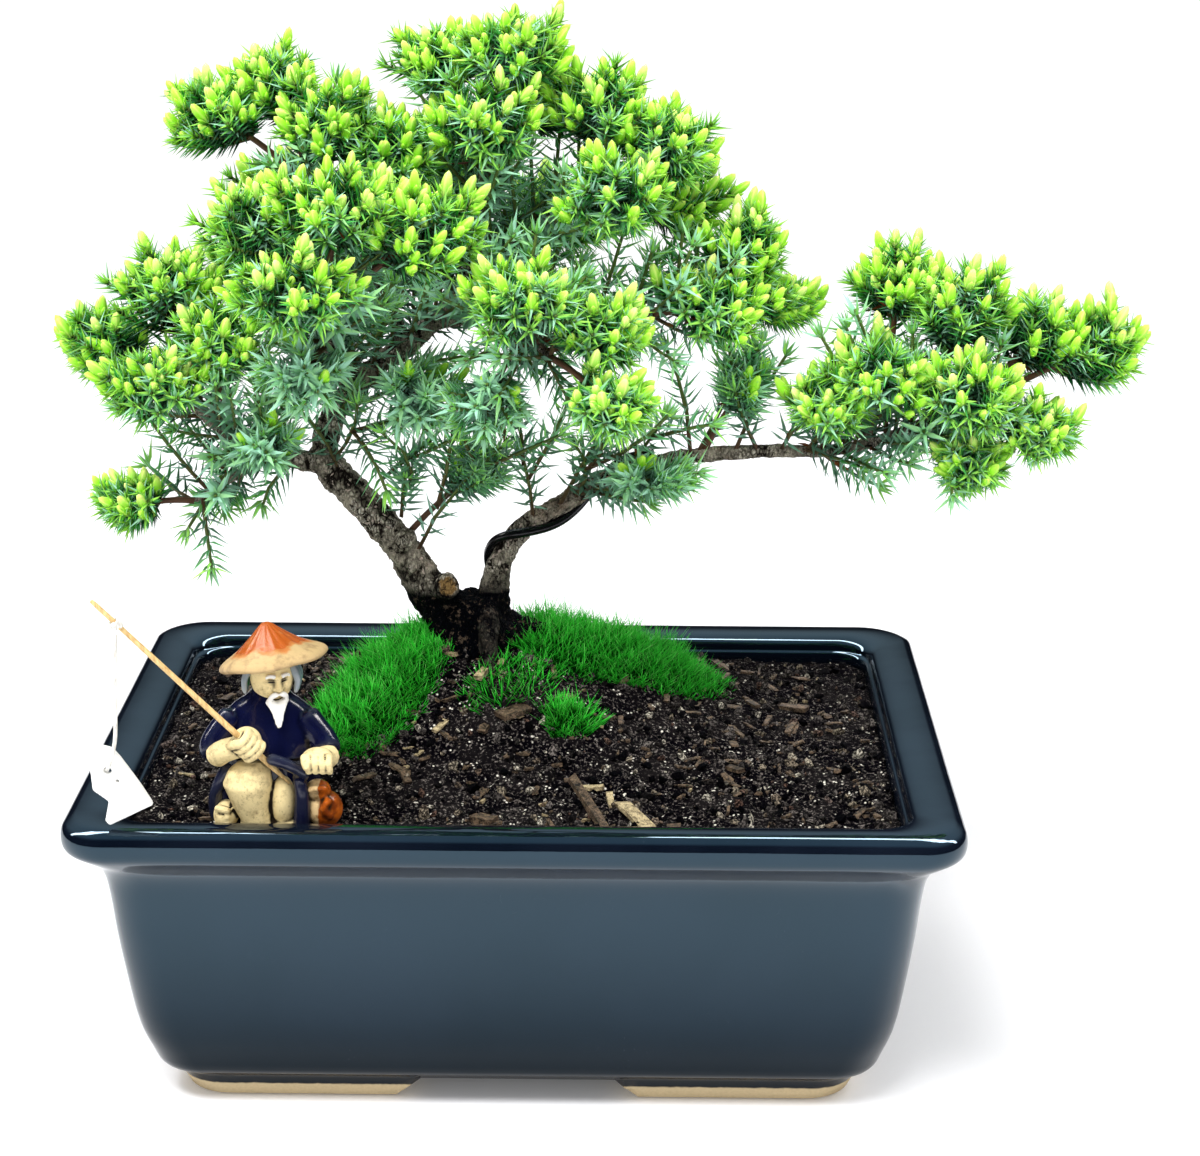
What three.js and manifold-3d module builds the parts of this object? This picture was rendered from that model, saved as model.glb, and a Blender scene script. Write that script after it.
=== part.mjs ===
// A juniper bonsai in its glazed pot, with a small clay fisherman on the soil.
// Millimetres, +Z up. The model is laid out on the pot: X to its right, Y to its back, Z up from its soles.
import * as THREE from 'three';
import { mergeVertices } from 'three/addons/utils/BufferGeometryUtils.js';
import Module from 'manifold-3d';

const wasm = await Module();
wasm.setup();

// Driving dimensions of the pot
const POT_WIDTH = 203;
const POT_DEPTH = 150;
const POT_HEIGHT = 76;
const LIP_CORNER = 11;
const INNER_CORNER = 9;
const FOOT_HEIGHT = 7;
const FOOT_GAP_HEIGHT = 6.2;
const FOOT_WALL = 12;
const FRONT_GAP = 57;
const SIDE_GAP = 34;
const GAP_SLOPE = 6;
const GAP_UPRIGHT = 0.4;
const DRAIN_RADIUS = 7;
const DRAIN_SPACING = 76;

// Pot profile: how far each level lies in from the lip, and its height
const POT_OUTSIDE = [
  [20, 7], [17, 9], [15.4, 13], [13.2, 20], [11, 34], [9.6, 45], [8.6, 55], [7.6, 60.5],
  [5.8, 64], [2.6, 67], [0.5, 69.2], [0, 71.5], [0.5, 74.4], [3, 76],
];
const POT_INSIDE = [
  [9, 75.2], [12, 73.6], [13.4, 70.5], [14.2, 58], [16, 42], [18.4, 28], [22, 18], [30, 12],
];
const FOOT_PROFILE = [[23.6, 0], [22.6, 0.8], [19.6, 8.2]];
const POT_CORNER_POINTS = 4;

// Soil: its level at the wall, its mound under the tree and the gap to what it touches
const GAP = 0.3;
const SOIL_LEVEL = 69.6;
const MOUND_CENTRE = [-12, 14];
const MOUND_HEIGHT = 25;
const MOUND_SPREAD = [43, 32];
const SHOULDER_CENTRE = [30, 36];
const SHOULDER_HEIGHT = 6;
const SHOULDER_SPREAD = 20;
const SOIL_LUMP = 0.5;
const SOIL_CORNER_POINTS = 5;
const SOIL_TOP_RINGS = 7;

// Tree: limbs as points on their centre lines, each with the radius there
const LIMBS = {
  base: [
    [-12, 12, 50, 5], [-12, 12, 68, 8], [-12, 12, 82, 11], [-12.5, 12, 92, 10], [-14, 11.5, 99, 8],
    [-15, 11, 104, 5],
  ],
  left_trunk: [
    [-15, 12, 92, 7], [-19, 12, 99, 6.2], [-25, 12, 107, 4.9], [-31, 11, 117, 4.1], [-39, 10, 127.5, 4],
    [-46, 9.5, 135.5, 3.9], [-50, 9, 141, 3.4],
  ],
  right_stem: [
    [-9, 13, 92, 5], [-8.5, 13, 101, 4.3], [-7.5, 13, 108, 3.2], [-4.5, 12.5, 116, 2.8], [0, 12, 121.5, 2.7],
    [8.5, 12, 127, 2.4], [18, 12, 133, 2.3], [28, 12, 137, 2.1], [42, 12, 140, 1.9], [57, 12, 141.2, 1.7],
    [74, 11, 141.8, 1.5], [86, 9, 145, 1.4], [98, 7, 151, 1.2], [112, 7, 156, 1],
  ],
  leader: [
    [-49, 9, 138, 3.3], [-47, 12, 148, 3], [-38, 15, 159, 2.8], [-26, 17, 168, 2.5], [-16, 16, 179, 2.1],
    [-11, 13, 193, 1.6], [-10, 11, 208, 1.2], [-8, 10, 220, 0.9],
  ],
  left_branch: [
    [-48, 9, 138, 2.8], [-57, 7, 140, 2.3], [-67, 3, 144.5, 1.9], [-75, -1, 152, 1.6], [-82, -3, 160, 1.2],
  ],
  upper_left: [[-29, 16.5, 166, 2], [-36, 19, 180, 1.7], [-45, 20, 194, 1.4], [-54, 19, 206, 1]],
  front_left: [[-42, 14, 155, 2.1], [-45, 3, 166, 1.8], [-45, -9, 177, 1.5], [-44, -19, 187, 1.1]],
  upper_right: [[-15, 15.5, 181, 1.8], [-3, 14, 191, 1.5], [9, 11, 199, 1.3], [21, 9, 205, 1]],
  right_bough: [
    [-23, 16.5, 171, 1.9], [-8, 12, 174.5, 1.7], [9, 7, 175, 1.4], [26, 5, 175, 1.1], [39, 7, 178, 0.9],
  ],
  centre_bough: [[-6, 11, 174.5, 1.6], [-2, 0, 174, 1.4], [3, -10, 173, 1.2], [7, -18, 171, 0.9]],
  back_bough: [[-17, 16, 178, 1.8], [-14, 28, 180, 1.5], [-9, 40, 182, 1.2]],
  back_left: [[-40, 14.5, 157, 1.8], [-48, 28, 166, 1.5], [-54, 40, 175, 1.1]],
  low_left: [[-60, 6, 141, 1.3], [-70, 3, 136, 1.1], [-79, 0, 131, 0.8]],
  right_rise: [[82, 9.5, 144, 1.2], [84, 8, 153, 1], [87, 7, 163, 0.8]],
  right_under: [[94, 7.5, 149, 1], [102, 3, 146.5, 0.8]],
  stub_cut: [[-21, 11, 106, 3.6], [-19.5, 6, 108, 3.2], [-18.6, 2.8, 109, 3]],
  stub_broken: [[-32, 11, 116, 3.2], [-29.5, 8, 119, 2.8], [-28, 6.4, 121.5, 1.8]],
  root_front: [[-9.5, 10, 102, 3], [-8.8, 4, 98, 2.5], [-8.6, 0, 92, 2.1], [-8.4, -3, 85, 1.6]],
  root_left: [[-16, 11, 91, 5], [-26, 6, 89, 3], [-36, 2, 83, 2]],
  root_right: [[-6, 13, 95, 4.6], [6, 15, 92, 3], [17, 18, 86.5, 1.8]],
  root_back: [[-13, 17, 93, 5], [-16, 30, 87, 2.8], [-20, 42, 79, 1.8]],
};
const THICK_LIMB = 2.5;
const THICK_LIMB_SIDES = 8;
const THIN_LIMB_SIDES = 4;
const RIDGE_DEPTH = 0.06;
const FINE_RIDGE_DEPTH = 0.05;

// Foliage sprays: the limb that carries each, how far along it, the middle of its crown and its half sizes
const SPRAYS = [
  ['crown_front', 'leader', 0.9, [-9, 0, 221], [16, 14, 13]],
  ['crown_top', 'leader', 1, [-3, 9, 236], [16, 14, 12]],
  ['crown_left', 'leader', 0.96, [-20, 18, 233], [14, 14, 12]],
  ['crown_back', 'leader', 0.86, [6, 25, 223], [15, 14, 13]],
  ['upper_left_tip', 'upper_left', 1, [-73, 18, 220], [14, 13, 12]],
  ['upper_left_top', 'upper_left', 0.86, [-60, 25, 227], [13, 13, 11]],
  ['upper_left_middle', 'upper_left', 0.74, [-45, 12, 219], [15, 14, 12]],
  ['upper_left_inner', 'upper_left', 0.6, [-30, 8, 213], [14, 13, 13]],
  ['front_left_outer', 'front_left', 0.8, [-59, -14, 200], [17, 15, 13]],
  ['front_left_top', 'front_left', 0.92, [-40, -27, 206], [17, 15, 12]],
  ['front_left_inner', 'front_left', 0.7, [-21, -23, 200], [17, 15, 13]],
  ['front_left_low', 'front_left', 1, [-49, -36, 188], [17, 14, 12]],
  ['front_left_shade', 'front_left', 0.45, [-50, -20, 167], [16, 15, 12]],
  ['left_top', 'left_branch', 0.9, [-82, -3, 183], [15, 14, 12]],
  ['left_tip', 'left_branch', 1, [-99, 3, 168], [14, 14, 12]],
  ['left_front', 'left_branch', 0.82, [-85, -17, 163], [15, 13, 12]],
  ['left_inner', 'left_branch', 0.62, [-70, -12, 172], [13, 13, 12]],
  ['left_under', 'left_branch', 0.4, [-60, -9, 147], [11, 10, 9]],
  ['left_low', 'low_left', 1, [-93, -2, 130], [12, 10, 9]],
  ['upper_right_top', 'upper_right', 0.9, [18, 13, 223], [15, 14, 12]],
  ['upper_right_tip', 'upper_right', 1, [34, 8, 215], [15, 14, 12]],
  ['upper_right_front', 'upper_right', 0.78, [22, -6, 205], [16, 14, 13]],
  ['upper_right_back', 'upper_right', 0.68, [37, 22, 199], [15, 14, 12]],
  ['right_tip', 'right_bough', 0.86, [53, 9, 190], [12, 12, 13]],
  ['right_low', 'right_bough', 0.78, [45, -4, 179], [15, 13, 12]],
  ['right_outer', 'right_bough', 1, [61, 16, 176], [11, 11, 9]],
  ['centre_top', 'centre_bough', 0.8, [2, -31, 186], [16, 14, 12]],
  ['centre_right', 'centre_bough', 0.9, [19, -21, 176], [13, 13, 11]],
  ['centre_low', 'centre_bough', 1, [21, -34, 163], [13, 12, 10]],
  ['centre_shade', 'centre_bough', 0.5, [-8, -17, 159], [14, 12, 11]],
  ['inner_shade', 'leader', 0.3, [-24, -6, 157], [14, 12, 12]],
  ['reach_rise', 'right_rise', 1, [89, 14, 181], [13, 13, 13]],
  ['reach_upper', 'right_stem', 0.93, [103, 5, 179], [15, 14, 12]],
  ['reach_front', 'right_rise', 0.5, [84, -7, 164], [15, 13, 12]],
  ['reach_middle', 'right_stem', 0.96, [104, -9, 160], [15, 13, 12]],
  ['reach_outer', 'right_stem', 0.98, [123, 12, 170], [14, 14, 12]],
  ['reach_tip', 'right_stem', 1, [136, 8, 167], [13, 13, 14]],
  ['reach_low', 'right_under', 1, [106, -2, 142], [12, 11, 10]],
  ['reach_end', 'right_stem', 0.985, [122, 0, 149], [13, 12, 10]],
  ['reach_inner', 'right_stem', 0.76, [72, -3, 156], [13, 12, 11]],
  ['trunk_shoot', 'left_trunk', 0.5, [-10, 0, 139], [10, 8, 9]],
  ['under_low', 'right_stem', 0.46, [30, -8, 139], [14, 9, 7]],
  ['under_rise', 'right_stem', 0.62, [53, 6, 159], [9, 9, 13]],
  ['back_top', 'back_bough', 0.8, [-18, 42, 205], [17, 15, 13]],
  ['back_right', 'back_bough', 1, [8, 52, 190], [17, 15, 13]],
  ['back_left_top', 'back_left', 0.8, [-60, 46, 197], [16, 15, 13]],
  ['back_left_low', 'back_left', 1, [-70, 52, 178], [16, 14, 12]],
  ['back_low', 'back_left', 0.9, [-36, 58, 178], [16, 14, 12]],
];
const SHOOTS_IN_SPRAY = 26;
const SHOOT_STRIDE = 7;
const SIDE_SHOOTS_KEPT = 2;
const WHORLS = 8;
const FIRST_WHORL_KEPT = 5;
const NEEDLE_LENGTH = 7.2;
const NEEDLE_RADIUS = 0.62;
const NEEDLE_ANGLE = 0.95;
const BUD_LENGTH = 6.4;
const BUD_RADIUS = 1.5;
const SHOOT_RADIUS = 0.72;
const STEM_RADIUS = 0.85;
const LEAFY_SHARE = 0.55;
const CROWN_LIFT = 0.6;
const CROWN_COVER = 1.45;
const SHOOT_SAG = 0.14;
const BUD_REACH = 4;
const BUD_POINT = 0.1;
const BARE_SHARE = 0.25;
const STEM_RISE = 0.1;
const SHOOT_BEND = 0.55;
const REACH = 0.88;
const REACH_VARIES = 0.2;
const WHORLS_START = 0.16;
const WHORLS_SPAN = 0.8;
const NEEDLE_LEAST = 0.85;
const NEEDLE_VARIES = 0.3;
const CLEARANCE = 0.45;
const GOLDEN_ANGLE = Math.PI * (3 - Math.sqrt(5));
const SEAM_TOLERANCE = 1e-4;
const SMALLEST_DETAIL = 0.01;

// Training wire, wound up the right stem
const WIRE_RADIUS = 1.15;
const WIRE_TURNS = 1.34;
const WIRE_START = 0.12;
const WIRE_END = 0.56;
const WIRE_FIRST_ANGLE = 1.92;
const WIRE_POINTS_IN_TURN = 24;
const WIRE_RINGS_IN_TURN = 22;
const WIRE_SIDES = 6;

// Moss cushions: centre, half sizes, turn and thickness
const MOSS = {
  moss_left: { centre: [-35, -1], size: [25, 13], turn: 0.98, thickness: 7.5 },
  moss_right: { centre: [20, 21], size: [28, 15], turn: 0.3, thickness: 8.5 },
  moss_tuft: { centre: [11, -11], size: [6.5, 5], turn: 0.2, thickness: 6 },
};
const MOSS_EDGE = 1.2;
const MOSS_DEPTH = 4;
const MOSS_LUMP = 0.5;
const MOSS_WAVE = 0.09;
const MOSS_FINE_WAVE = 0.06;
const MOSS_SIDES = 12;
const MOSS_LEVELS = 3;

// Fisherman: the place where he sits, and his parts across, back and up from there
const SEAT = [-56, -50];
const ROBE_LEVELS = [
  [66, 11, 8, 3], [72, 12.4, 9, 3], [79, 11.4, 8.6, 3], [88, 10.6, 7.8, 3], [94.5, 10.4, 6.6, 2.6],
  [98.4, 6, 4.6, 1.6], [101, 3.6, 3.4, 1],
];
const ROBE_SIDES = 9;
const HEAD = { middle: [1, 0.6, 104.5], halfSizes: [4.9, 5, 6.4], around: 8, down: 5 };
const LEFT_HAIR = { middle: [-4.4, 1.6, 103.6], halfSizes: [2.2, 3, 3.6], around: 5, down: 4 };
const RIGHT_HAIR = { middle: [6.2, 1.6, 104.2], halfSizes: [2, 3, 3.6], around: 5, down: 4 };
const FREE_FIST = { middle: [11.2, -7.6, 86.2], halfSizes: [4, 3.7, 3.4], around: 6, down: 4 };
const RAISED_KNEE = { middle: [-4.6, -5.4, 78.6], halfSizes: [5.4, 5, 7], around: 7, down: 5 };
const SHIN = { middle: [-3.9, -7, 71.8], halfSizes: [4.1, 3.7, 2.8], around: 6, down: 4 };
const OTHER_LEG = { middle: [3.3, -4.6, 76], halfSizes: [2.7, 4.5, 6], around: 6, down: 4 };
const FOOT = { middle: [-9.8, -5.4, 72.8], halfSizes: [3.6, 4.4, 3.2], around: 6, down: 4 };
const CREEL = { middle: [12.4, -4.6, 75.8], halfSizes: [4.2, 4, 5], around: 7, down: 5 };
const ROD_FIST_HALF_SIZES = [3.9, 3.6, 3.9];
const LEFT_SHOULDER = [-7, 1.5, 94.5];
const LEFT_ELBOW = [-14, -4, 84];
const RIGHT_SHOULDER = [7, 1.5, 94.5];
const RIGHT_ELBOW = [15, -1, 85];
const ARM_RADIUS = 4.2;
const ARM_TAPER = 0.3;
const BEARD_ROOT = [1.7, -3.4, 102.4];
const BEARD_TIP = [2.3, -6, 95.8];
const BEARD_RADII = [2.4, 0.5];
const HAT_PROFILE = [[0, 0.6], [6, 0.4], [11.4, -1.6], [12.2, -1.1], [7.5, 2.6], [3.4, 6], [0, 8.4]];
const HAT_MIDDLE = [1, 2.2, 108];
const HAT_LEAN = [-0.2, 0.22, 1];
const HAT_SIDES = 12;

// Rod, line and fish
const ROD_TIP = [-90.1, -73, 129.5];
const ROD_SLOPE = [0.61, 0.256, -0.75];
const ROD_LENGTH = 64.5;
const ROD_RADIUS = 0.75;
const ROD_TAPER = 0.7;
const FIST_FROM_TIP = 50;
const LINE_RADIUS = 0.45;
const LINE_STEP = 2.6;
const LINE_ROUTE = [
  [-85.7, -71.2, 121.3], [-86.2, -71.8, 110], [-86.6, -72.6, 97.5], [-87.4, -73.3, 93.8],
  [-88.6, -73.5, 90.6],
];
const LINE_SIDES = 8;
const TURNS_FROM_TIP = 6.5;
const TURNS_LENGTH = 2.4;
const TURNS_RADIUS = 1.5;
const TURNS_SIDES = 10;
const FISH_PLANE = -71.3;
const FISH_THICKNESS = 2.4;
const FISH_OUTLINE = [
  [-92.6, 90.8], [-90.4, 95.8], [-87.6, 95], [-86, 93], [-81.8, 86.6], [-79.1, 82],
  [-88.9, 77], [-89.8, 78.2], [-88.8, 82.8], [-92.2, 85.4],
];
const FISH_EYE = [-88.7, 90];
const FISH_EYE_RADIUS = 0.8;
const FISH_EYE_SIDES = 8;

// Colours and finishes, from the photograph
const GLAZE = { color: 0x1b222c, roughness: 0.12, metalness: 0 };
const POTTING_MIX = { color: 0x1e1712, roughness: 0.95, metalness: 0 };
const BARK = { color: 0x6a5346, roughness: 0.9, metalness: 0 };
const NEEDLES = { color: 0x4f9a3c, roughness: 0.55, metalness: 0 };
const MOSS_GREEN = { color: 0x2f8a1c, roughness: 0.9, metalness: 0 };
const COATED_WIRE = { color: 0x15161a, roughness: 0.35, metalness: 0 };
const CLAY = { color: 0xb08a5c, roughness: 0.7, metalness: 0 };
const BAMBOO = { color: 0xd8b98a, roughness: 0.6, metalness: 0 };
const THREAD = { color: 0xe8e6e0, roughness: 0.8, metalness: 0 };
const WHITE_CLAY = { color: 0xf0eee8, roughness: 0.6, metalness: 0 };

const UP = new THREE.Vector3(0, 0, 1);

// Small helpers

// A steady value from 0 to 1 for a number and a purpose
function draw(number, purpose) {
  const wave = Math.sin(number * 12.9898 + purpose * 78.233) * 43758.5453;
  return wave - Math.floor(wave);
}

function vector(values) {
  return new THREE.Vector3(values[0], values[1], values[2]);
}

function hill(x, y, centre, spreadX, spreadY) {
  const across = (x - centre[0]) / spreadX;
  const along = (y - centre[1]) / spreadY;
  return Math.exp(-across * across - along * along);
}

function soilHeight(x, y) {
  const mound = MOUND_HEIGHT * hill(x, y, MOUND_CENTRE, MOUND_SPREAD[0], MOUND_SPREAD[1]);
  const shoulder = SHOULDER_HEIGHT * hill(x, y, SHOULDER_CENTRE, SHOULDER_SPREAD, SHOULDER_SPREAD);
  const lumps = SOIL_LUMP * Math.sin(x * 0.31 + 1) * Math.sin(y * 0.37);
  return SOIL_LEVEL + mound + shoulder + lumps;
}

// Joining and cutting

// The same faces with shared corners, made before a shape is turned or moved, so that seams stay closed
function sealed(geometry) {
  const bare = geometry.clone();
  bare.deleteAttribute('normal');
  bare.deleteAttribute('uv');
  return mergeVertices(bare, SEAM_TOLERANCE);
}

function solidOf(geometry) {
  const merged = sealed(geometry);
  const mesh = new wasm.Mesh({
    numProp: 3,
    vertProperties: new Float32Array(merged.attributes.position.array),
    triVerts: new Uint32Array(merged.index.array),
  });
  return new wasm.Manifold(mesh);
}

function joined(solids) {
  return wasm.Manifold.union(solids);
}

// The largest body of a solid, with its sealed hollows filled and its loose scraps dropped
function wholeBody(solid) {
  let largest = null;
  for (const body of solid.decompose()) {
    if (largest === null || body.volume() > largest.volume()) {
      largest = body;
    }
  }
  return largest;
}

// A solid's faces, without slivers too small to see
function geometryOf(solid) {
  const mesh = solid.simplify(SMALLEST_DETAIL).getMesh();
  const geometry = new THREE.BufferGeometry();
  geometry.setAttribute('position', new THREE.BufferAttribute(mesh.vertProperties, mesh.numProp));
  geometry.setIndex(new THREE.BufferAttribute(mesh.triVerts, 1));
  return geometry;
}

// A closed skin over rings of points, each ring running anticlockwise as seen from the last one
function skinOf(rings) {
  const count = rings[0].length;
  const positions = [];
  const faces = [];
  for (const ring of rings) {
    for (const point of ring) {
      positions.push(point.x, point.y, point.z);
    }
  }
  for (let level = 0; level + 1 < rings.length; level += 1) {
    for (let corner = 0; corner < count; corner += 1) {
      const next = (corner + 1) % count;
      const low = level * count;
      const high = low + count;
      faces.push(low + corner, low + next, high + next);
      faces.push(low + corner, high + next, high + corner);
    }
  }
  const top = (rings.length - 1) * count;
  for (let corner = 1; corner + 1 < count; corner += 1) {
    faces.push(0, corner + 1, corner);
    faces.push(top, top + corner, top + corner + 1);
  }
  const geometry = new THREE.BufferGeometry();
  geometry.setAttribute('position', new THREE.Float32BufferAttribute(positions, 3));
  geometry.setIndex(faces);
  return geometry;
}

// A tube along a curve, its radius given by how far along it is and the angle round it
function taperedTube(curve, steps, sides, radiusAt) {
  const frames = curve.computeFrenetFrames(steps, false);
  const rings = [];
  for (let step = 0; step <= steps; step += 1) {
    const share = step / steps;
    const middle = curve.getPointAt(share);
    const ring = [];
    for (let side = 0; side < sides; side += 1) {
      const angle = (side / sides) * Math.PI * 2;
      const radius = radiusAt(share, angle);
      const point = middle.clone();
      point.addScaledVector(frames.normals[step], Math.cos(angle) * radius);
      point.addScaledVector(frames.binormals[step], Math.sin(angle) * radius);
      ring.push(point);
    }
    rings.push(ring);
  }
  return skinOf(rings);
}

function roundTube(curve, steps, sides, radius) {
  const section = new THREE.Shape();
  for (let side = 0; side < sides; side += 1) {
    const angle = (side / sides) * Math.PI * 2;
    const x = Math.cos(angle) * radius;
    const y = Math.sin(angle) * radius;
    if (side === 0) {
      section.moveTo(x, y);
    } else {
      section.lineTo(x, y);
    }
  }
  section.closePath();
  const settings = { steps, curveSegments: 1, bevelEnabled: false, extrudePath: curve };
  return new THREE.ExtrudeGeometry(section, settings);
}

function ball(middle, halfSizes, around, down) {
  const geometry = sealed(new THREE.SphereGeometry(1, around, down));
  geometry.rotateX(Math.PI / 2);
  geometry.scale(halfSizes[0], halfSizes[1], halfSizes[2]);
  geometry.translate(middle[0], middle[1], middle[2]);
  return geometry;
}

// Pot

// A ring round the pot, straight between its rounded corners
function oblongRing(inset, height, corner, perCorner) {
  const halfWidth = POT_WIDTH / 2 - inset - corner;
  const halfDepth = POT_DEPTH / 2 - inset - corner;
  const ring = [];
  for (let quarter = 0; quarter < 4; quarter += 1) {
    const signX = quarter === 0 || quarter === 3 ? 1 : -1;
    const signY = quarter < 2 ? 1 : -1;
    for (let step = 0; step < perCorner; step += 1) {
      const angle = (quarter + step / (perCorner - 1)) * Math.PI / 2;
      const x = signX * halfWidth + Math.cos(angle) * corner;
      const y = signY * halfDepth + Math.sin(angle) * corner;
      ring.push(new THREE.Vector3(x, y, height));
    }
  }
  return ring;
}

// A gap between two feet: a bar with sloping ends, run right through under the pot
function footGap(width, length) {
  const outline = new THREE.Shape();
  outline.moveTo(-width / 2, -1);
  outline.lineTo(width / 2, -1);
  outline.lineTo(width / 2, GAP_UPRIGHT);
  outline.lineTo(width / 2 - GAP_SLOPE, FOOT_GAP_HEIGHT);
  outline.lineTo(-width / 2 + GAP_SLOPE, FOOT_GAP_HEIGHT);
  outline.lineTo(-width / 2, GAP_UPRIGHT);
  outline.closePath();
  const gap = new THREE.ExtrudeGeometry(outline, { depth: length, bevelEnabled: false });
  gap.translate(0, 0, -length / 2);
  gap.rotateX(Math.PI / 2);
  return gap;
}

function makePot() {
  const outerRing = ([inset, height]) => oblongRing(inset, height, LIP_CORNER, POT_CORNER_POINTS);
  const innerRing = ([inset, height]) => oblongRing(inset, height, INNER_CORNER, POT_CORNER_POINTS);
  const bowl = solidOf(skinOf([...POT_OUTSIDE.map(outerRing), ...POT_INSIDE.map(innerRing)]));
  const footOutside = FOOT_PROFILE.map(outerRing);
  const hollowInset = FOOT_PROFILE[0][0] + FOOT_WALL;
  const footHollow = [innerRing([hollowInset, -1]), innerRing([hollowInset + 1, FOOT_HEIGHT])];
  const frontGap = footGap(FRONT_GAP, POT_DEPTH);
  const sideGap = footGap(SIDE_GAP, POT_WIDTH);
  sideGap.rotateZ(Math.PI / 2);
  let pot = bowl.add(solidOf(skinOf(footOutside)).subtract(solidOf(skinOf(footHollow))));
  pot = pot.subtract(solidOf(frontGap)).subtract(solidOf(sideGap));
  for (const side of [-1, 1]) {
    const drain = new THREE.CylinderGeometry(DRAIN_RADIUS, DRAIN_RADIUS, POT_HEIGHT / 2, 16);
    drain.rotateX(Math.PI / 2);
    drain.translate(side * DRAIN_SPACING / 2, 0, 0);
    pot = pot.subtract(solidOf(drain));
  }
  return pot;
}

// Soil: the inside of the pot filled up to the mound, or the same raised a little as a cutter
function makeSoil(raise) {
  const rings = [];
  const walls = [...POT_INSIDE].reverse();
  for (const [inset, height] of walls) {
    if (height < SOIL_LEVEL) {
      const lift = height === walls[0][1] ? GAP : 0;
      rings.push(oblongRing(inset + GAP, height + lift, INNER_CORNER, SOIL_CORNER_POINTS));
    }
  }
  const rim = oblongRing(POT_INSIDE[2][0] + GAP * 2, 0, INNER_CORNER, SOIL_CORNER_POINTS);
  for (let level = 0; level < SOIL_TOP_RINGS; level += 1) {
    const share = 1 - level / SOIL_TOP_RINGS;
    const ring = rim.map((point) => {
      const x = MOUND_CENTRE[0] + (point.x - MOUND_CENTRE[0]) * share;
      const y = MOUND_CENTRE[1] + (point.y - MOUND_CENTRE[1]) * share;
      return new THREE.Vector3(x, y, soilHeight(x, y) + raise);
    });
    rings.push(ring);
  }
  return solidOf(skinOf(rings));
}

// Tree wood

// The centre line of a limb
function limbCurve(points) {
  return new THREE.CatmullRomCurve3(points.map(vector), false, 'centripetal');
}

// Radius of a limb part of the way along its list of points
function limbRadius(points, share) {
  const place = share * (points.length - 1);
  const before = Math.min(Math.floor(place), points.length - 2);
  const rest = place - before;
  return points[before][3] * (1 - rest) + points[before + 1][3] * rest;
}

// How far the bark stands out or lies in there, as a share of the radius
function barkRidge(share, angle) {
  return RIDGE_DEPTH * Math.sin(angle * 3 + share * 11) + FINE_RIDGE_DEPTH * Math.sin(angle * 5 - share * 23);
}

function limbSolid(points, grow) {
  const thick = points[0][3] > THICK_LIMB;
  const steps = thick ? Math.round((points.length - 1) * 1.25) : points.length - 1;
  const curve = limbCurve(points);
  curve.points.at(-1).addScaledVector(curve.getTangent(1), grow);
  const radiusAt = (share, angle) => {
    const radius = limbRadius(points, curve.getUtoTmapping(share));
    return radius * (1 + (thick ? barkRidge(share, angle) : 0)) + grow;
  };
  return solidOf(taperedTube(curve, steps, thick ? THICK_LIMB_SIDES : THIN_LIMB_SIDES, radiusAt));
}

// All the wood in one, or the same grown a little on all sides as a cutter
function makeWood(grow) {
  return joined(Object.values(LIMBS).map((points) => limbSolid(points, grow)));
}

// Places that are already taken, as rods from point to point, each with its piece and its shoot:
// a new rod keeps clear of all but its own shoot and its own stem
const taken = [];

// The gap between the sides of two rods
function rodsApart(first, second) {
  const along = first.end.clone().sub(first.start);
  const other = second.end.clone().sub(second.start);
  const between = first.start.clone().sub(second.start);
  const lengthSquared = along.lengthSq();
  const otherSquared = other.lengthSq();
  const shared = along.dot(other);
  const onFirst = along.dot(between);
  const onOther = other.dot(between);
  const spread = lengthSquared * otherSquared - shared * shared;
  const slant = spread > 1e-9 ? (shared * onOther - onFirst * otherSquared) / spread : 0;
  let place = THREE.MathUtils.clamp(slant, 0, 1);
  const otherPlace = THREE.MathUtils.clamp((shared * place + onOther) / otherSquared, 0, 1);
  place = THREE.MathUtils.clamp((shared * otherPlace - onFirst) / lengthSquared, 0, 1);
  const nearest = first.start.clone().addScaledVector(along, place);
  const otherNearest = second.start.clone().addScaledVector(other, otherPlace);
  return nearest.distanceTo(otherNearest) - first.radius - second.radius;
}

function isClear(rods) {
  return rods.every((rod) => taken.every((old) => {
    const own = old.owner === rod.owner && (old.shoot === rod.shoot || old.shoot === undefined);
    return own || rodsApart(rod, old) > CLEARANCE;
  }));
}

function takeCurve(owner, curve, from, to, pieces, radiusAt) {
  for (let piece = 0; piece < pieces; piece += 1) {
    const begin = from + ((to - from) * piece) / pieces;
    const finish = from + ((to - from) * (piece + 1)) / pieces;
    taken.push({ owner, start: curve.getPoint(begin), end: curve.getPoint(finish), radius: radiusAt(begin) });
  }
}

function takeWood() {
  for (const points of Object.values(LIMBS)) {
    const radiusAt = (share) => limbRadius(points, share) * (1 + RIDGE_DEPTH + FINE_RIDGE_DEPTH);
    takeCurve('tree_wood', limbCurve(points), 0, 1, (points.length - 1) * 2, radiusAt);
  }
}

// Foliage

// The stem of a spray, from the middle of its limb to the middle of its crown, rising before it turns outward
function stemCurve(spray) {
  const [, limbName, along, crown] = spray;
  const start = limbCurve(LIMBS[limbName]).getPoint(along);
  const end = vector(crown);
  const bend = start.clone().lerp(end, 0.5);
  bend.z += start.distanceTo(end) * STEM_RISE;
  return new THREE.QuadraticBezierCurve3(start, bend, end);
}

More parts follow.
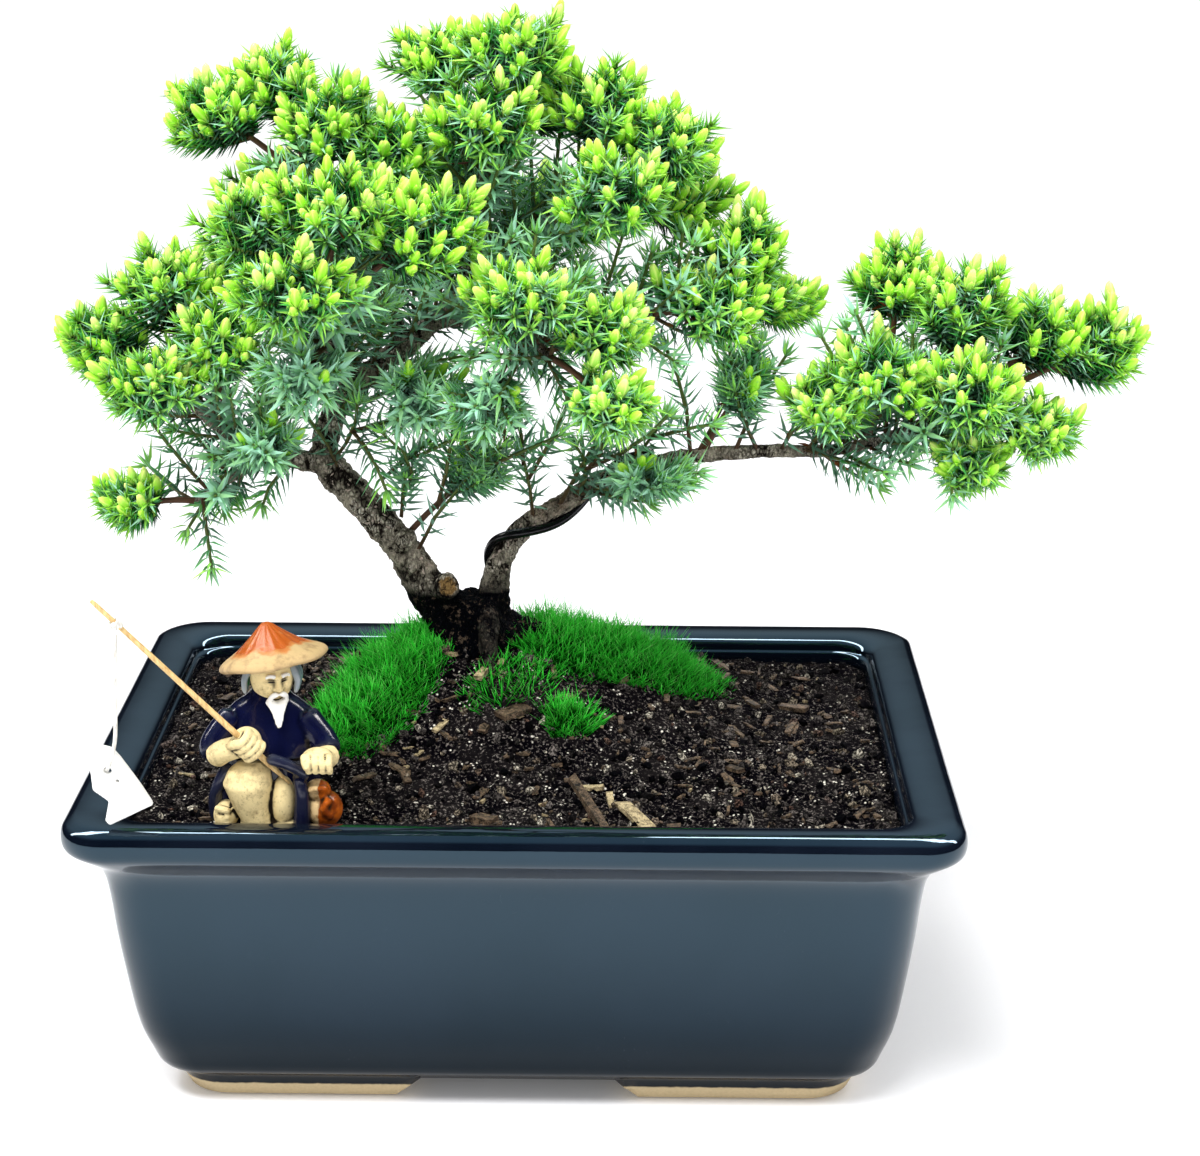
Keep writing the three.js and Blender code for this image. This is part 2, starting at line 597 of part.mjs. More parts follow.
// A shoot of a spray: it leaves the twig, sags a little and turns up to its bud
function shootCurve(spray, sprayNumber, shoot) {
  const stem = stemCurve(spray);
  const crown = vector(spray[3]);
  const halfSizes = vector(spray[4]);
  const axis = crown.clone().sub(stem.v0).normalize().addScaledVector(UP, CROWN_LIFT).normalize();
  const aside = new THREE.Vector3(1, 0, 0).cross(axis).normalize();
  const across = axis.clone().cross(aside);
  const height = 1 - CROWN_COVER * (shoot + 0.5) / SHOOTS_IN_SPRAY;
  const turn = shoot * GOLDEN_ANGLE + sprayNumber;
  const width = Math.sqrt(1 - height * height);
  const outward = axis.clone().multiplyScalar(height);
  outward.addScaledVector(aside, Math.cos(turn) * width);
  outward.addScaledVector(across, Math.sin(turn) * width);
  const reach = REACH + REACH_VARIES * draw(shoot, sprayNumber);
  const tip = outward.multiply(halfSizes.subScalar(BUD_REACH)).multiplyScalar(reach).add(crown);
  const root = stem.getPoint(1 - (1 - LEAFY_SHARE) * (1 - height) / CROWN_COVER);
  const bend = root.clone().lerp(tip, SHOOT_BEND);
  bend.z -= root.distanceTo(tip) * SHOOT_SAG;
  return new THREE.QuadraticBezierCurve3(root, bend, tip);
}

// The bud at the end of a shoot, and the shoot itself, as rods
function budRod(owner, shoot, curve) {
  const heading = curve.getTangent(1);
  const tip = curve.getPoint(1);
  const start = tip.clone().addScaledVector(heading, BUD_REACH - BUD_LENGTH);
  const end = tip.clone().addScaledVector(heading, BUD_REACH);
  return { owner, shoot, start, end, radius: BUD_RADIUS };
}

function shootRods(owner, shoot, curve) {
  const middle = curve.getPoint(0.6);
  return [
    { owner, shoot, start: curve.getPoint(BARE_SHARE), end: middle, radius: SHOOT_RADIUS },
    { owner, shoot, start: middle, end: curve.getPoint(1), radius: SHOOT_RADIUS },
    budRod(owner, shoot, curve),
  ];
}

// A needle of a shoot: whorls of three, each turned a sixth from the last
function whorlShare(whorl) {
  return WHORLS_START + WHORLS_SPAN * (whorl + 0.5) / WHORLS;
}

function needleRod(owner, shoot, curve, whorl, place) {
  const share = whorlShare(whorl);
  const start = curve.getPoint(share);
  const heading = curve.getTangent(share);
  const aside = heading.clone().cross(UP).normalize();
  const across = heading.clone().cross(aside);
  const turn = whorl * Math.PI / 3 + place * Math.PI * 2 / 3 + shoot;
  const length = NEEDLE_LENGTH * (NEEDLE_LEAST + NEEDLE_VARIES * draw(whorl * 3 + place, shoot));
  const outward = heading.multiplyScalar(Math.cos(NEEDLE_ANGLE));
  outward.addScaledVector(aside, Math.cos(turn) * Math.sin(NEEDLE_ANGLE));
  outward.addScaledVector(across, Math.sin(turn) * Math.sin(NEEDLE_ANGLE));
  return { owner, shoot, start, end: start.clone().addScaledVector(outward, length), radius: NEEDLE_RADIUS };
}

// A shape that stood on its Y axis, set to point from one place to another
function pointed(shape, start, end) {
  const geometry = sealed(shape);
  const heading = end.clone().sub(start).normalize();
  geometry.applyQuaternion(new THREE.Quaternion().setFromUnitVectors(new THREE.Vector3(0, 1, 0), heading));
  geometry.translate(start.x, start.y, start.z);
  return geometry;
}

// A three-sided shoot in one skin: the last whorls' needles are raised from its faces, and it ends in a bud.
// The leading shoot of a spray starts with the stem itself, which has two rings more.
function shootGeometry(owner, shoot, curve, stem) {
  const bud = budRod(owner, shoot, curve);
  const heading = curve.getTangent(1);
  const rings = [];
  const spikes = new Map();
  const firstTurn = stem === undefined ? 2 : 4;
  const addRing = (middle, along, radius) => {
    const turn = (FIRST_WHORL_KEPT + rings.length - firstTurn) * Math.PI / 3 + shoot;
    rings.push(threeAround(middle, along, radius, turn));
  };
  if (stem !== undefined) {
    addRing(stem.getPoint(0), stem.getTangent(0), STEM_RADIUS);
    addRing(stem.getPoint(0.5), stem.getTangent(0.5), STEM_RADIUS);
  }
  addRing(curve.getPoint(0), curve.getTangent(0), SHOOT_RADIUS);
  for (let whorl = FIRST_WHORL_KEPT; whorl < WHORLS; whorl += 1) {
    addRing(curve.getPoint(whorlShare(whorl)), curve.getTangent(whorlShare(whorl)), SHOOT_RADIUS);
    for (let place = 0; place < 3; place += 1) {
      const rod = needleRod(owner, shoot, curve, whorl, place);
      if (isClear([rod])) {
        taken.push(rod);
        spikes.set(`${rings.length - 1} ${place}`, rod.end);
      }
    }
  }
  addRing(bud.start.clone().lerp(bud.end, 0.5), heading, BUD_RADIUS);
  addRing(bud.end, heading, BUD_RADIUS * BUD_POINT);
  return spikedSkin(rings, spikes);
}

// Three points round the middle of a shoot
function threeAround(middle, heading, radius, turn) {
  const aside = heading.clone().cross(UP).normalize();
  const across = heading.clone().cross(aside);
  return [0, 1, 2].map((corner) => {
    const angle = turn + (corner * Math.PI * 2) / 3;
    const point = middle.clone();
    point.addScaledVector(aside, Math.cos(angle) * radius);
    return point.addScaledVector(across, Math.sin(angle) * radius);
  });
}

// A closed skin over rings of three, each ring turned a sixth from the last: some faces are drawn out to points
function spikedSkin(rings, spikes) {
  const positions = [];
  const faces = [];
  for (const point of rings.flat()) {
    positions.push(point.x, point.y, point.z);
  }
  for (let level = 0; level + 1 < rings.length; level += 1) {
    for (let corner = 0; corner < 3; corner += 1) {
      const low = level * 3 + corner;
      const lowNext = level * 3 + (corner + 1) % 3;
      const high = (level + 1) * 3 + corner;
      const highNext = (level + 1) * 3 + (corner + 1) % 3;
      const spike = spikes.get(`${level} ${corner}`);
      if (spike === undefined) {
        faces.push(low, lowNext, high);
      } else {
        const apex = positions.length / 3;
        positions.push(spike.x, spike.y, spike.z);
        faces.push(low, lowNext, apex, lowNext, high, apex, high, low, apex);
      }
      faces.push(lowNext, highNext, high);
    }
  }
  const top = (rings.length - 1) * 3;
  faces.push(0, 2, 1, top, top + 1, top + 2);
  const geometry = new THREE.BufferGeometry();
  geometry.setAttribute('position', new THREE.Float32BufferAttribute(positions, 3));
  geometry.setIndex(faces);
  return geometry;
}

// The first shoot that is still clear, tried in an order that spreads them over the crown
function nextShoot(crown) {
  while (crown.next < SHOOTS_IN_SPRAY) {
    const shoot = (crown.next * SHOOT_STRIDE) % SHOOTS_IN_SPRAY;
    const curve = shootCurve(crown.spray, crown.number, shoot);
    const number = crown.number * SHOOTS_IN_SPRAY + shoot;
    const rods = shootRods(crown.spray[0], number, curve);
    crown.next += 1;
    if (isClear(rods)) {
      taken.push(...rods);
      return { curve, number };
    }
  }
  throw new Error(`no room for another shoot in ${crown.spray[0]}`);
}

// Every spray in turn takes its leading shoot, then each of its side shoots
function makeSprays(cutter) {
  const crowns = SPRAYS.map((spray, number) => {
    const stem = stemCurve(spray);
    takeCurve(spray[0], stem, 0.1, 1, 3, () => STEM_RADIUS);
    return { spray, number, stem, next: 0, shoots: [] };
  });
  for (let round = 0; round <= SIDE_SHOOTS_KEPT; round += 1) {
    for (const crown of crowns) {
      crown.shoots.push(nextShoot(crown));
    }
  }
  return crowns.map(({ spray, stem, shoots }) => {
    const pieces = shoots.map(({ curve, number }, place) => {
      const carrier = place === 0 ? stem : undefined;
      return solidOf(shootGeometry(spray[0], number, curve, carrier));
    });
    return { name: `spray_${spray[0]}`, solid: wholeBody(joined(pieces).subtract(cutter)) };
  });
}

// Training wire

function wireCurve() {
  const points = LIMBS.right_stem;
  const stem = limbCurve(points);
  const places = Math.round(WIRE_TURNS * WIRE_POINTS_IN_TURN);
  const route = [];
  for (let place = 0; place <= places; place += 1) {
    const share = WIRE_START + ((WIRE_END - WIRE_START) * place) / places;
    const heading = stem.getTangent(share);
    const back = new THREE.Vector3(0, 1, 0);
    const aside = heading.clone().cross(back).normalize();
    const behind = aside.clone().cross(heading).normalize();
    const turn = WIRE_FIRST_ANGLE - (WIRE_TURNS * Math.PI * 2 * place) / places;
    const away = limbRadius(points, share) * (1 + RIDGE_DEPTH + FINE_RIDGE_DEPTH) + WIRE_RADIUS + GAP;
    const point = stem.getPoint(share);
    point.addScaledVector(aside, Math.cos(turn) * away);
    point.addScaledVector(behind, Math.sin(turn) * away);
    route.push(point);
  }
  return new THREE.CatmullRomCurve3(route);
}

// Moss: a low cushion over an oval of soil, its underside cut to the soil

function makeMoss(shape) {
  const rings = [];
  const oval = (share, height) => {
    const ring = [];
    for (let step = 0; step < MOSS_SIDES; step += 1) {
      const angle = (step / MOSS_SIDES) * Math.PI * 2;
      const fineWave = MOSS_FINE_WAVE * Math.sin(angle * 5);
      const wave = 1 + MOSS_WAVE * Math.sin(angle * 3 + shape.turn * 7) + fineWave;
      const long = Math.cos(angle) * shape.size[0] * share * wave;
      const wide = Math.sin(angle) * shape.size[1] * share * wave;
      const x = shape.centre[0] + long * Math.cos(shape.turn) - wide * Math.sin(shape.turn);
      const y = shape.centre[1] + long * Math.sin(shape.turn) + wide * Math.cos(shape.turn);
      ring.push(new THREE.Vector3(x, y, height(x, y)));
    }
    return ring;
  };
  rings.push(oval(1, () => SOIL_LEVEL - MOSS_DEPTH));
  rings.push(oval(1, (x, y) => soilHeight(x, y) + MOSS_EDGE));
  for (let level = 1; level < MOSS_LEVELS; level += 1) {
    const share = 1 - level / MOSS_LEVELS;
    const swell = MOSS_EDGE + (shape.thickness - MOSS_EDGE) * Math.sqrt(1 - share * share);
    const lump = (x, y) => MOSS_LUMP * Math.sin(x * 0.9) * Math.sin(y * 0.8);
    rings.push(oval(share, (x, y) => soilHeight(x, y) + swell + lump(x, y)));
  }
  return solidOf(skinOf(rings));
}

// Fisherman, seated with one knee up

// A round bar from one point to another
function bar(start, end, startRadius, endRadius, sides) {
  const length = start.distanceTo(end);
  const geometry = new THREE.CylinderGeometry(endRadius, startRadius, length, sides);
  geometry.translate(0, length / 2, 0);
  return pointed(geometry, start, end);
}

// The place of a point that is given across, back and up from the seat
function seated([across, back, up]) {
  return new THREE.Vector3(SEAT[0] + across, SEAT[1] + back, up);
}

// The place on the rod at a distance from its tip
function rodPoint(distance) {
  return vector(ROD_TIP).addScaledVector(vector(ROD_SLOPE).normalize(), distance);
}

function makeHat() {
  const hat = new THREE.LatheGeometry(HAT_PROFILE.map(([x, y]) => new THREE.Vector2(x, y)), HAT_SIDES);
  const middle = seated(HAT_MIDDLE);
  return pointed(hat, middle, middle.clone().add(vector(HAT_LEAN)));
}

// The robe, from the lap up to the collar: at each level its half width, half depth and distance back
function makeRobe() {
  const rings = ROBE_LEVELS.map(([up, across, deep, back]) => {
    const ring = [];
    for (let step = 0; step < ROBE_SIDES; step += 1) {
      const angle = (step / ROBE_SIDES) * Math.PI * 2;
      ring.push(seated([Math.cos(angle) * across, back + Math.sin(angle) * deep, up]));
    }
    return ring;
  });
  return skinOf(rings);
}

function makeArm(shoulder, elbow, hand) {
  const curve = new THREE.QuadraticBezierCurve3(shoulder, elbow, hand);
  return taperedTube(curve, 3, 6, (share) => ARM_RADIUS * (1 - ARM_TAPER * share));
}

function makeFisherman(soilCutter) {
  const rounded = [HEAD, LEFT_HAIR, RIGHT_HAIR, FREE_FIST, RAISED_KNEE, SHIN, OTHER_LEG, FOOT, CREEL];
  const pieces = rounded.map(({ middle, halfSizes, around, down }) => {
    return solidOf(ball(seated(middle).toArray(), halfSizes, around, down));
  });
  const rodFist = rodPoint(FIST_FROM_TIP);
  pieces.push(solidOf(makeRobe()));
  pieces.push(solidOf(ball(rodFist.toArray(), ROD_FIST_HALF_SIZES, 6, 4)));
  pieces.push(solidOf(makeArm(seated(LEFT_SHOULDER), seated(LEFT_ELBOW), rodFist)));
  pieces.push(solidOf(makeArm(seated(RIGHT_SHOULDER), seated(RIGHT_ELBOW), seated(FREE_FIST.middle))));
  pieces.push(solidOf(bar(seated(BEARD_ROOT), seated(BEARD_TIP), ...BEARD_RADII, 4)));
  pieces.push(solidOf(makeHat()));
  const rodHole = bar(rodPoint(-1), rodPoint(ROD_LENGTH + 2), ROD_RADIUS + GAP, ROD_RADIUS + GAP, 8);
  return joined(pieces).subtract(solidOf(rodHole)).subtract(soilCutter);
}

// The turns of line round the rod, as one sleeve
function makeTurns() {
  const inner = ROD_RADIUS + GAP;
  const outer = TURNS_RADIUS;
  const profile = [[inner, 0], [outer, 0], [outer, TURNS_LENGTH], [inner, TURNS_LENGTH], [inner, 0]];
  const sleeve = new THREE.LatheGeometry(profile.map(([x, y]) => new THREE.Vector2(x, y)), TURNS_SIDES);
  return pointed(sleeve, rodPoint(TURNS_FROM_TIP), rodPoint(TURNS_FROM_TIP + TURNS_LENGTH));
}

function makeLine() {
  const curve = new THREE.CatmullRomCurve3(LINE_ROUTE.map(vector));
  const steps = Math.round(curve.getLength() / LINE_STEP);
  return roundTube(curve, steps, LINE_SIDES, LINE_RADIUS);
}

// A flat fish with a pierced eye, upright on its line
function makeFish() {
  const outline = new THREE.Shape(FISH_OUTLINE.map(([x, z]) => new THREE.Vector2(x, z)));
  const eye = [];
  for (let step = 0; step < FISH_EYE_SIDES; step += 1) {
    const angle = (step / FISH_EYE_SIDES) * Math.PI * 2;
    const x = FISH_EYE[0] + Math.cos(angle) * FISH_EYE_RADIUS;
    const z = FISH_EYE[1] + Math.sin(angle) * FISH_EYE_RADIUS;
    eye.push(new THREE.Vector2(x, z));
  }
  outline.holes.push(new THREE.Path(eye));
  const fish = new THREE.ExtrudeGeometry(outline, { depth: FISH_THICKNESS, bevelEnabled: false });
  fish.rotateX(Math.PI / 2);
  fish.translate(0, FISH_PLANE + FISH_THICKNESS / 2, 0);
  return fish;
}

// The whole object
const model = new THREE.Group();
const pieceMeshes = [];

function place(name, solid, finish) {
  const mesh = new THREE.Mesh(geometryOf(solid), new THREE.MeshStandardMaterial(finish));
  mesh.name = name;
  model.add(mesh);
  pieceMeshes.push(mesh);
}

const wood = wholeBody(makeWood(0));
const woodCutter = makeWood(GAP);
const soilCutter = makeSoil(GAP);
const wireRings = Math.round(WIRE_TURNS * WIRE_RINGS_IN_TURN);
const wireTube = solidOf(roundTube(wireCurve(), wireRings, WIRE_SIDES, WIRE_RADIUS));

place('pot', makePot(), GLAZE);
place('soil', wholeBody(makeSoil(0).subtract(woodCutter)), POTTING_MIX);
place('tree_wood', wood, BARK);
place('training_wire', wireTube, COATED_WIRE);
for (const [name, shape] of Object.entries(MOSS)) {
  place(name, wholeBody(makeMoss(shape).subtract(soilCutter).subtract(woodCutter)), MOSS_GREEN);
}

takeWood();
takeCurve('training_wire', wireCurve(), 0, 1, wireRings, () => WIRE_RADIUS);
taken.push({ owner: 'fishing_rod', start: rodPoint(0), end: rodPoint(ROD_LENGTH), radius: ROD_RADIUS });
for (const { name, solid } of makeSprays(woodCutter)) {
  place(name, solid, NEEDLES);
}

place('fisherman', wholeBody(makeFisherman(soilCutter)), CLAY);
const rod = bar(rodPoint(0), rodPoint(ROD_LENGTH), ROD_RADIUS * ROD_TAPER, ROD_RADIUS, 8);
place('fishing_rod', solidOf(rod), BAMBOO);
place('line_turns', solidOf(makeTurns()), THREAD);
place('fishing_line', solidOf(makeLine()), THREAD);
place('fish', solidOf(makeFish()), WHITE_CLAY);

// The origin lies under the middle of the whole object, on the surface that the pot stands on
const cordPieces = ['line_turns', 'fishing_line', 'fish'];
const extent = new THREE.Box3();
for (const mesh of pieceMeshes) {
  if (!cordPieces.includes(mesh.name)) {
    extent.union(new THREE.Box3().setFromObject(mesh));
  }
}
const middle = extent.getCenter(new THREE.Vector3());
model.position.set(-middle.x, -middle.y, -extent.min.z);

const bonsai = new THREE.Group();
bonsai.add(model);
bonsai.updateMatrixWorld(true);

export default bonsai;
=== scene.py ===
"""A juniper bonsai in a glazed pot, with a clay fisherman on its soil."""

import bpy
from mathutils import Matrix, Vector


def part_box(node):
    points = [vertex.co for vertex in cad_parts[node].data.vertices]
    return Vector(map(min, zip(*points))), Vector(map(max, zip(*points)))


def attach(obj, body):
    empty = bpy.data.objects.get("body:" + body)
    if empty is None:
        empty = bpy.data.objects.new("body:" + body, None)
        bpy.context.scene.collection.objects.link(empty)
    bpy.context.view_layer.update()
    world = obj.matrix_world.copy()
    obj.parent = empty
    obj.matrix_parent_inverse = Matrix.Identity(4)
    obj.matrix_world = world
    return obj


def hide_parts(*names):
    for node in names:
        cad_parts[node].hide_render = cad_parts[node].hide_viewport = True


bl_info = {
    "name": "Juniper Bonsai",
    "version": (1, 0, 0),
    "blender": (4, 5, 0),
    "location": "3D View > Sidebar > Bonsai",
    "description": "Builds a small juniper bonsai with its pot, soil, moss and clay fisherman",
    "category": "Object",
}

import math

import bmesh
import bpy
import numpy as np
from mathutils import Matrix, Vector, kdtree, noise

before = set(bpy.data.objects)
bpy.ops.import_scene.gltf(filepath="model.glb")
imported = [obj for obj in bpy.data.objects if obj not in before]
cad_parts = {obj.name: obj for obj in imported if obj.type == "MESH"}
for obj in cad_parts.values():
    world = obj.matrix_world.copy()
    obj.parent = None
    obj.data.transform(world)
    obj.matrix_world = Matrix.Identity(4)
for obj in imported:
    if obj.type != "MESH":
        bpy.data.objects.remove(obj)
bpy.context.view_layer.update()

# Millimetres from the middle of the pot's soles become metres in the row frame
MM = 0.001
POT_LOW, POT_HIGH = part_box("pot")
POT_MIDDLE = np.array([(POT_LOW.x + POT_HIGH.x) / 2, (POT_LOW.y + POT_HIGH.y) / 2, POT_LOW.z])
UP = np.array([0.0, 0.0, 1.0])
FULL_TURN = 2 * math.pi
GOLDEN_ANGLE = math.pi * (3 - math.sqrt(5))

# Where the random draws of each kind of piece begin
SEEDS = {
    "crumbs": 11, "crumb_places": 5, "chips": 23, "chip_places": 8, "flakes": 77, "sprays": 100, "buds": 300,
    "needles": 500, "tips": 700, "bud_turns": 900, "moss": 40, "thin_moss": 60,
}


def srgb(red, green, blue):
    """A colour as seen on a screen, from 0 to 255, in the renderer's own linear values"""
    shares = (value / 255 for value in (red, green, blue))
    return tuple(share / 12.92 if share <= 0.04045 else ((share + 0.055) / 1.055) ** 2.4 for share in shares)


def dimmed(colour, share):
    """A colour at a share of its brightness"""
    return [value * share for value in colour]


# Pot, all in millimetres
POT_WIDTH = 203
POT_DEPTH = 150
LIP_CORNER = 11
INNER_CORNER = 9
FOOT_GAP_HEIGHT = 6.2
FOOT_WALL = 12
FRONT_GAP = 57
SIDE_GAP = 34
GAP_SLOPE = 6
FLOOR_UNDERSIDE = 7
DRAIN_RADIUS = 7
DRAIN_SPACING = 76
POT_OUTSIDE = [
    (19.6, 7.4), (17, 9), (15.4, 13), (13.2, 20), (11, 34), (9.6, 45), (8.6, 55), (7.6, 60.5),
    (5.8, 64), (2.6, 67), (0.5, 69.2), (0, 71.5), (0.5, 74.4), (3, 76),
]
# Height in millimetres from which the glaze's reflection is no longer dimmed as painted shade
UNSHADED_REFLECTION_FROM = 58
INNER_RIM = [(9, 75.2), (11, 74.5), (11.9, 73.4), (12.2, 72.4), (12.9, 72), (13.3, 71.1), (13.5, 69.8)]
POT_INSIDE = [(14.2, 58), (16, 42), (18.4, 28), (22, 18), (30, 12)]
SOIL_INSET = 13.4
FOOT_INSET = 23.6
SOLE_INSET = FOOT_INSET + FOOT_WALL
SOLE_LEVELS = [
    (SOLE_INSET + 0.3, 0.9), (SOLE_INSET, 0.2), (SOLE_INSET - 0.5, 0), (FOOT_INSET + 0.8, 0),
    (FOOT_INSET, 0.25),
]
FOOT_OUTSIDE = [(22.6, 0.8), (21.6, 3.4), (20.6, 6.0)]
DRAIN_CUT = (2, 30)
DRAIN_SIDES = 40
RINGS_BETWEEN_LEVELS = 3
POINTS_IN_CORNER = 10
FRONT_STATIONS = [sign * (1.5 + 3 * step) for sign in (-1, 1) for step in range(20)]
SIDE_STATIONS = [sign * y for sign in (-1, 1) for y in (2, 5, 8, 11, 14, 17, 22, 27, 32)]

# Soil
GAP = 0.3
SOIL_LEVEL = 69.6
MOUND_CENTRE = (-12, 14)
MOUND_HEIGHT = 25
MOUND_SPREAD = (43, 32)
SHOULDER_CENTRE = (30, 36)
SHOULDER_HEIGHT = 6
SHOULDER_SPREAD = 20
SOIL_LUMP = 0.5
SOIL_RINGS = 52
SOIL_POINTS_ROUND = 250
CLODS = [(0.62, 0.17, 3.1), (0.5, 0.46, 7.7), (0.3, 1.1, 1.3)]
CRUMB_MARGIN = 1.2
CHIP_MARGIN = 3.5
LEVELS_OF_CHIP = (-0.5, -0.16, 0.2, 0.5)
CORNERS_OF_CHIP = ((-0.5, -0.5), (0.5, -0.5), (0.5, 0.5), (-0.5, 0.5))

# Limbs as points on their centre lines, each with the radius there
LIMBS = {
    "base": [(-12, 12, 50, 5), (-12, 12, 68, 8), (-12, 12, 82, 11), (-12.5, 12, 92, 10), (-14, 11.5, 99, 8),
             (-15, 11, 104, 5)],
    "left_trunk": [(-15, 12, 92, 7), (-19, 12, 99, 6.2), (-25, 12, 107, 4.9), (-31, 11, 117, 4.1),
                   (-39, 10, 127.5, 4), (-46, 9.5, 135.5, 3.9), (-50, 9, 141, 3.4)],
    "right_stem": [(-9, 13, 92, 5), (-8.5, 13, 101, 4.3), (-7.5, 13, 108, 3.2), (-4.5, 12.5, 116, 2.8),
                   (0, 12, 121.5, 2.7), (8.5, 12, 127, 2.4), (18, 12, 133, 2.3), (28, 12, 137, 2.1),
                   (42, 12, 140, 1.9), (57, 12, 141.2, 1.7), (74, 11, 141.8, 1.5), (86, 9, 145, 1.4),
                   (98, 7, 151, 1.2), (112, 7, 156, 1)],
    "leader": [(-49, 9, 138, 3.3), (-47, 12, 148, 3), (-38, 15, 159, 2.8), (-26, 17, 168, 2.5),
               (-16, 16, 179, 2.1), (-11, 13, 193, 1.6), (-10, 11, 208, 1.2), (-8, 10, 220, 0.9)],
    "left_branch": [(-48, 9, 138, 2.8), (-57, 7, 140, 2.3), (-67, 3, 144.5, 1.9), (-75, -1, 152, 1.6),
                    (-82, -3, 160, 1.2)],
    "upper_left": [(-29, 16.5, 166, 2), (-36, 19, 180, 1.7), (-45, 20, 194, 1.4), (-54, 19, 206, 1)],
    "front_left": [(-42, 14, 155, 2.1), (-45, 3, 166, 1.8), (-45, -9, 177, 1.5), (-44, -19, 187, 1.1)],
    "upper_right": [(-15, 15.5, 181, 1.8), (-3, 14, 191, 1.5), (9, 11, 199, 1.3), (21, 9, 205, 1)],
    "right_bough": [(-23, 16.5, 171, 1.9), (-8, 12, 174.5, 1.7), (9, 7, 175, 1.4), (26, 5, 175, 1.1),
                    (39, 7, 178, 0.9)],
    "centre_bough": [(-6, 11, 174.5, 1.6), (-2, 0, 174, 1.4), (3, -10, 173, 1.2), (7, -18, 171, 0.9)],
    "back_bough": [(-17, 16, 178, 1.8), (-14, 28, 180, 1.5), (-9, 40, 182, 1.2)],
    "back_left": [(-40, 14.5, 157, 1.8), (-48, 28, 166, 1.5), (-54, 40, 175, 1.1)],
    "low_left": [(-60, 6, 141, 1.3), (-70, 3, 136, 1.1), (-79, 0, 131, 0.8)],
    "right_rise": [(82, 9.5, 144, 1.2), (84, 8, 153, 1), (87, 7, 163, 0.8)],
    "right_under": [(94, 7.5, 149, 1), (102, 3, 146.5, 0.8)],
    "stub_cut": [(-21, 11, 106, 3.6), (-19.5, 6, 108, 3.2), (-18.6, 2.8, 109, 3)],
    "stub_broken": [(-32, 11, 116, 3.2), (-29.5, 8, 119, 2.8), (-28, 6.4, 121.5, 1.8)],
    "root_front": [(-9.5, 10, 102, 3), (-8.8, 4, 98, 2.5), (-8.6, 0, 92, 2.1), (-8.4, -3, 85, 1.6)],
    "root_left": [(-16, 11, 91, 5), (-26, 6, 89, 3), (-36, 2, 83, 2)],
    "root_right": [(-6, 13, 95, 4.6), (6, 15, 92, 3), (17, 18, 86.5, 1.8)],
    "root_back": [(-13, 17, 93, 5), (-16, 30, 87, 2.8), (-20, 42, 79, 1.8)],
}

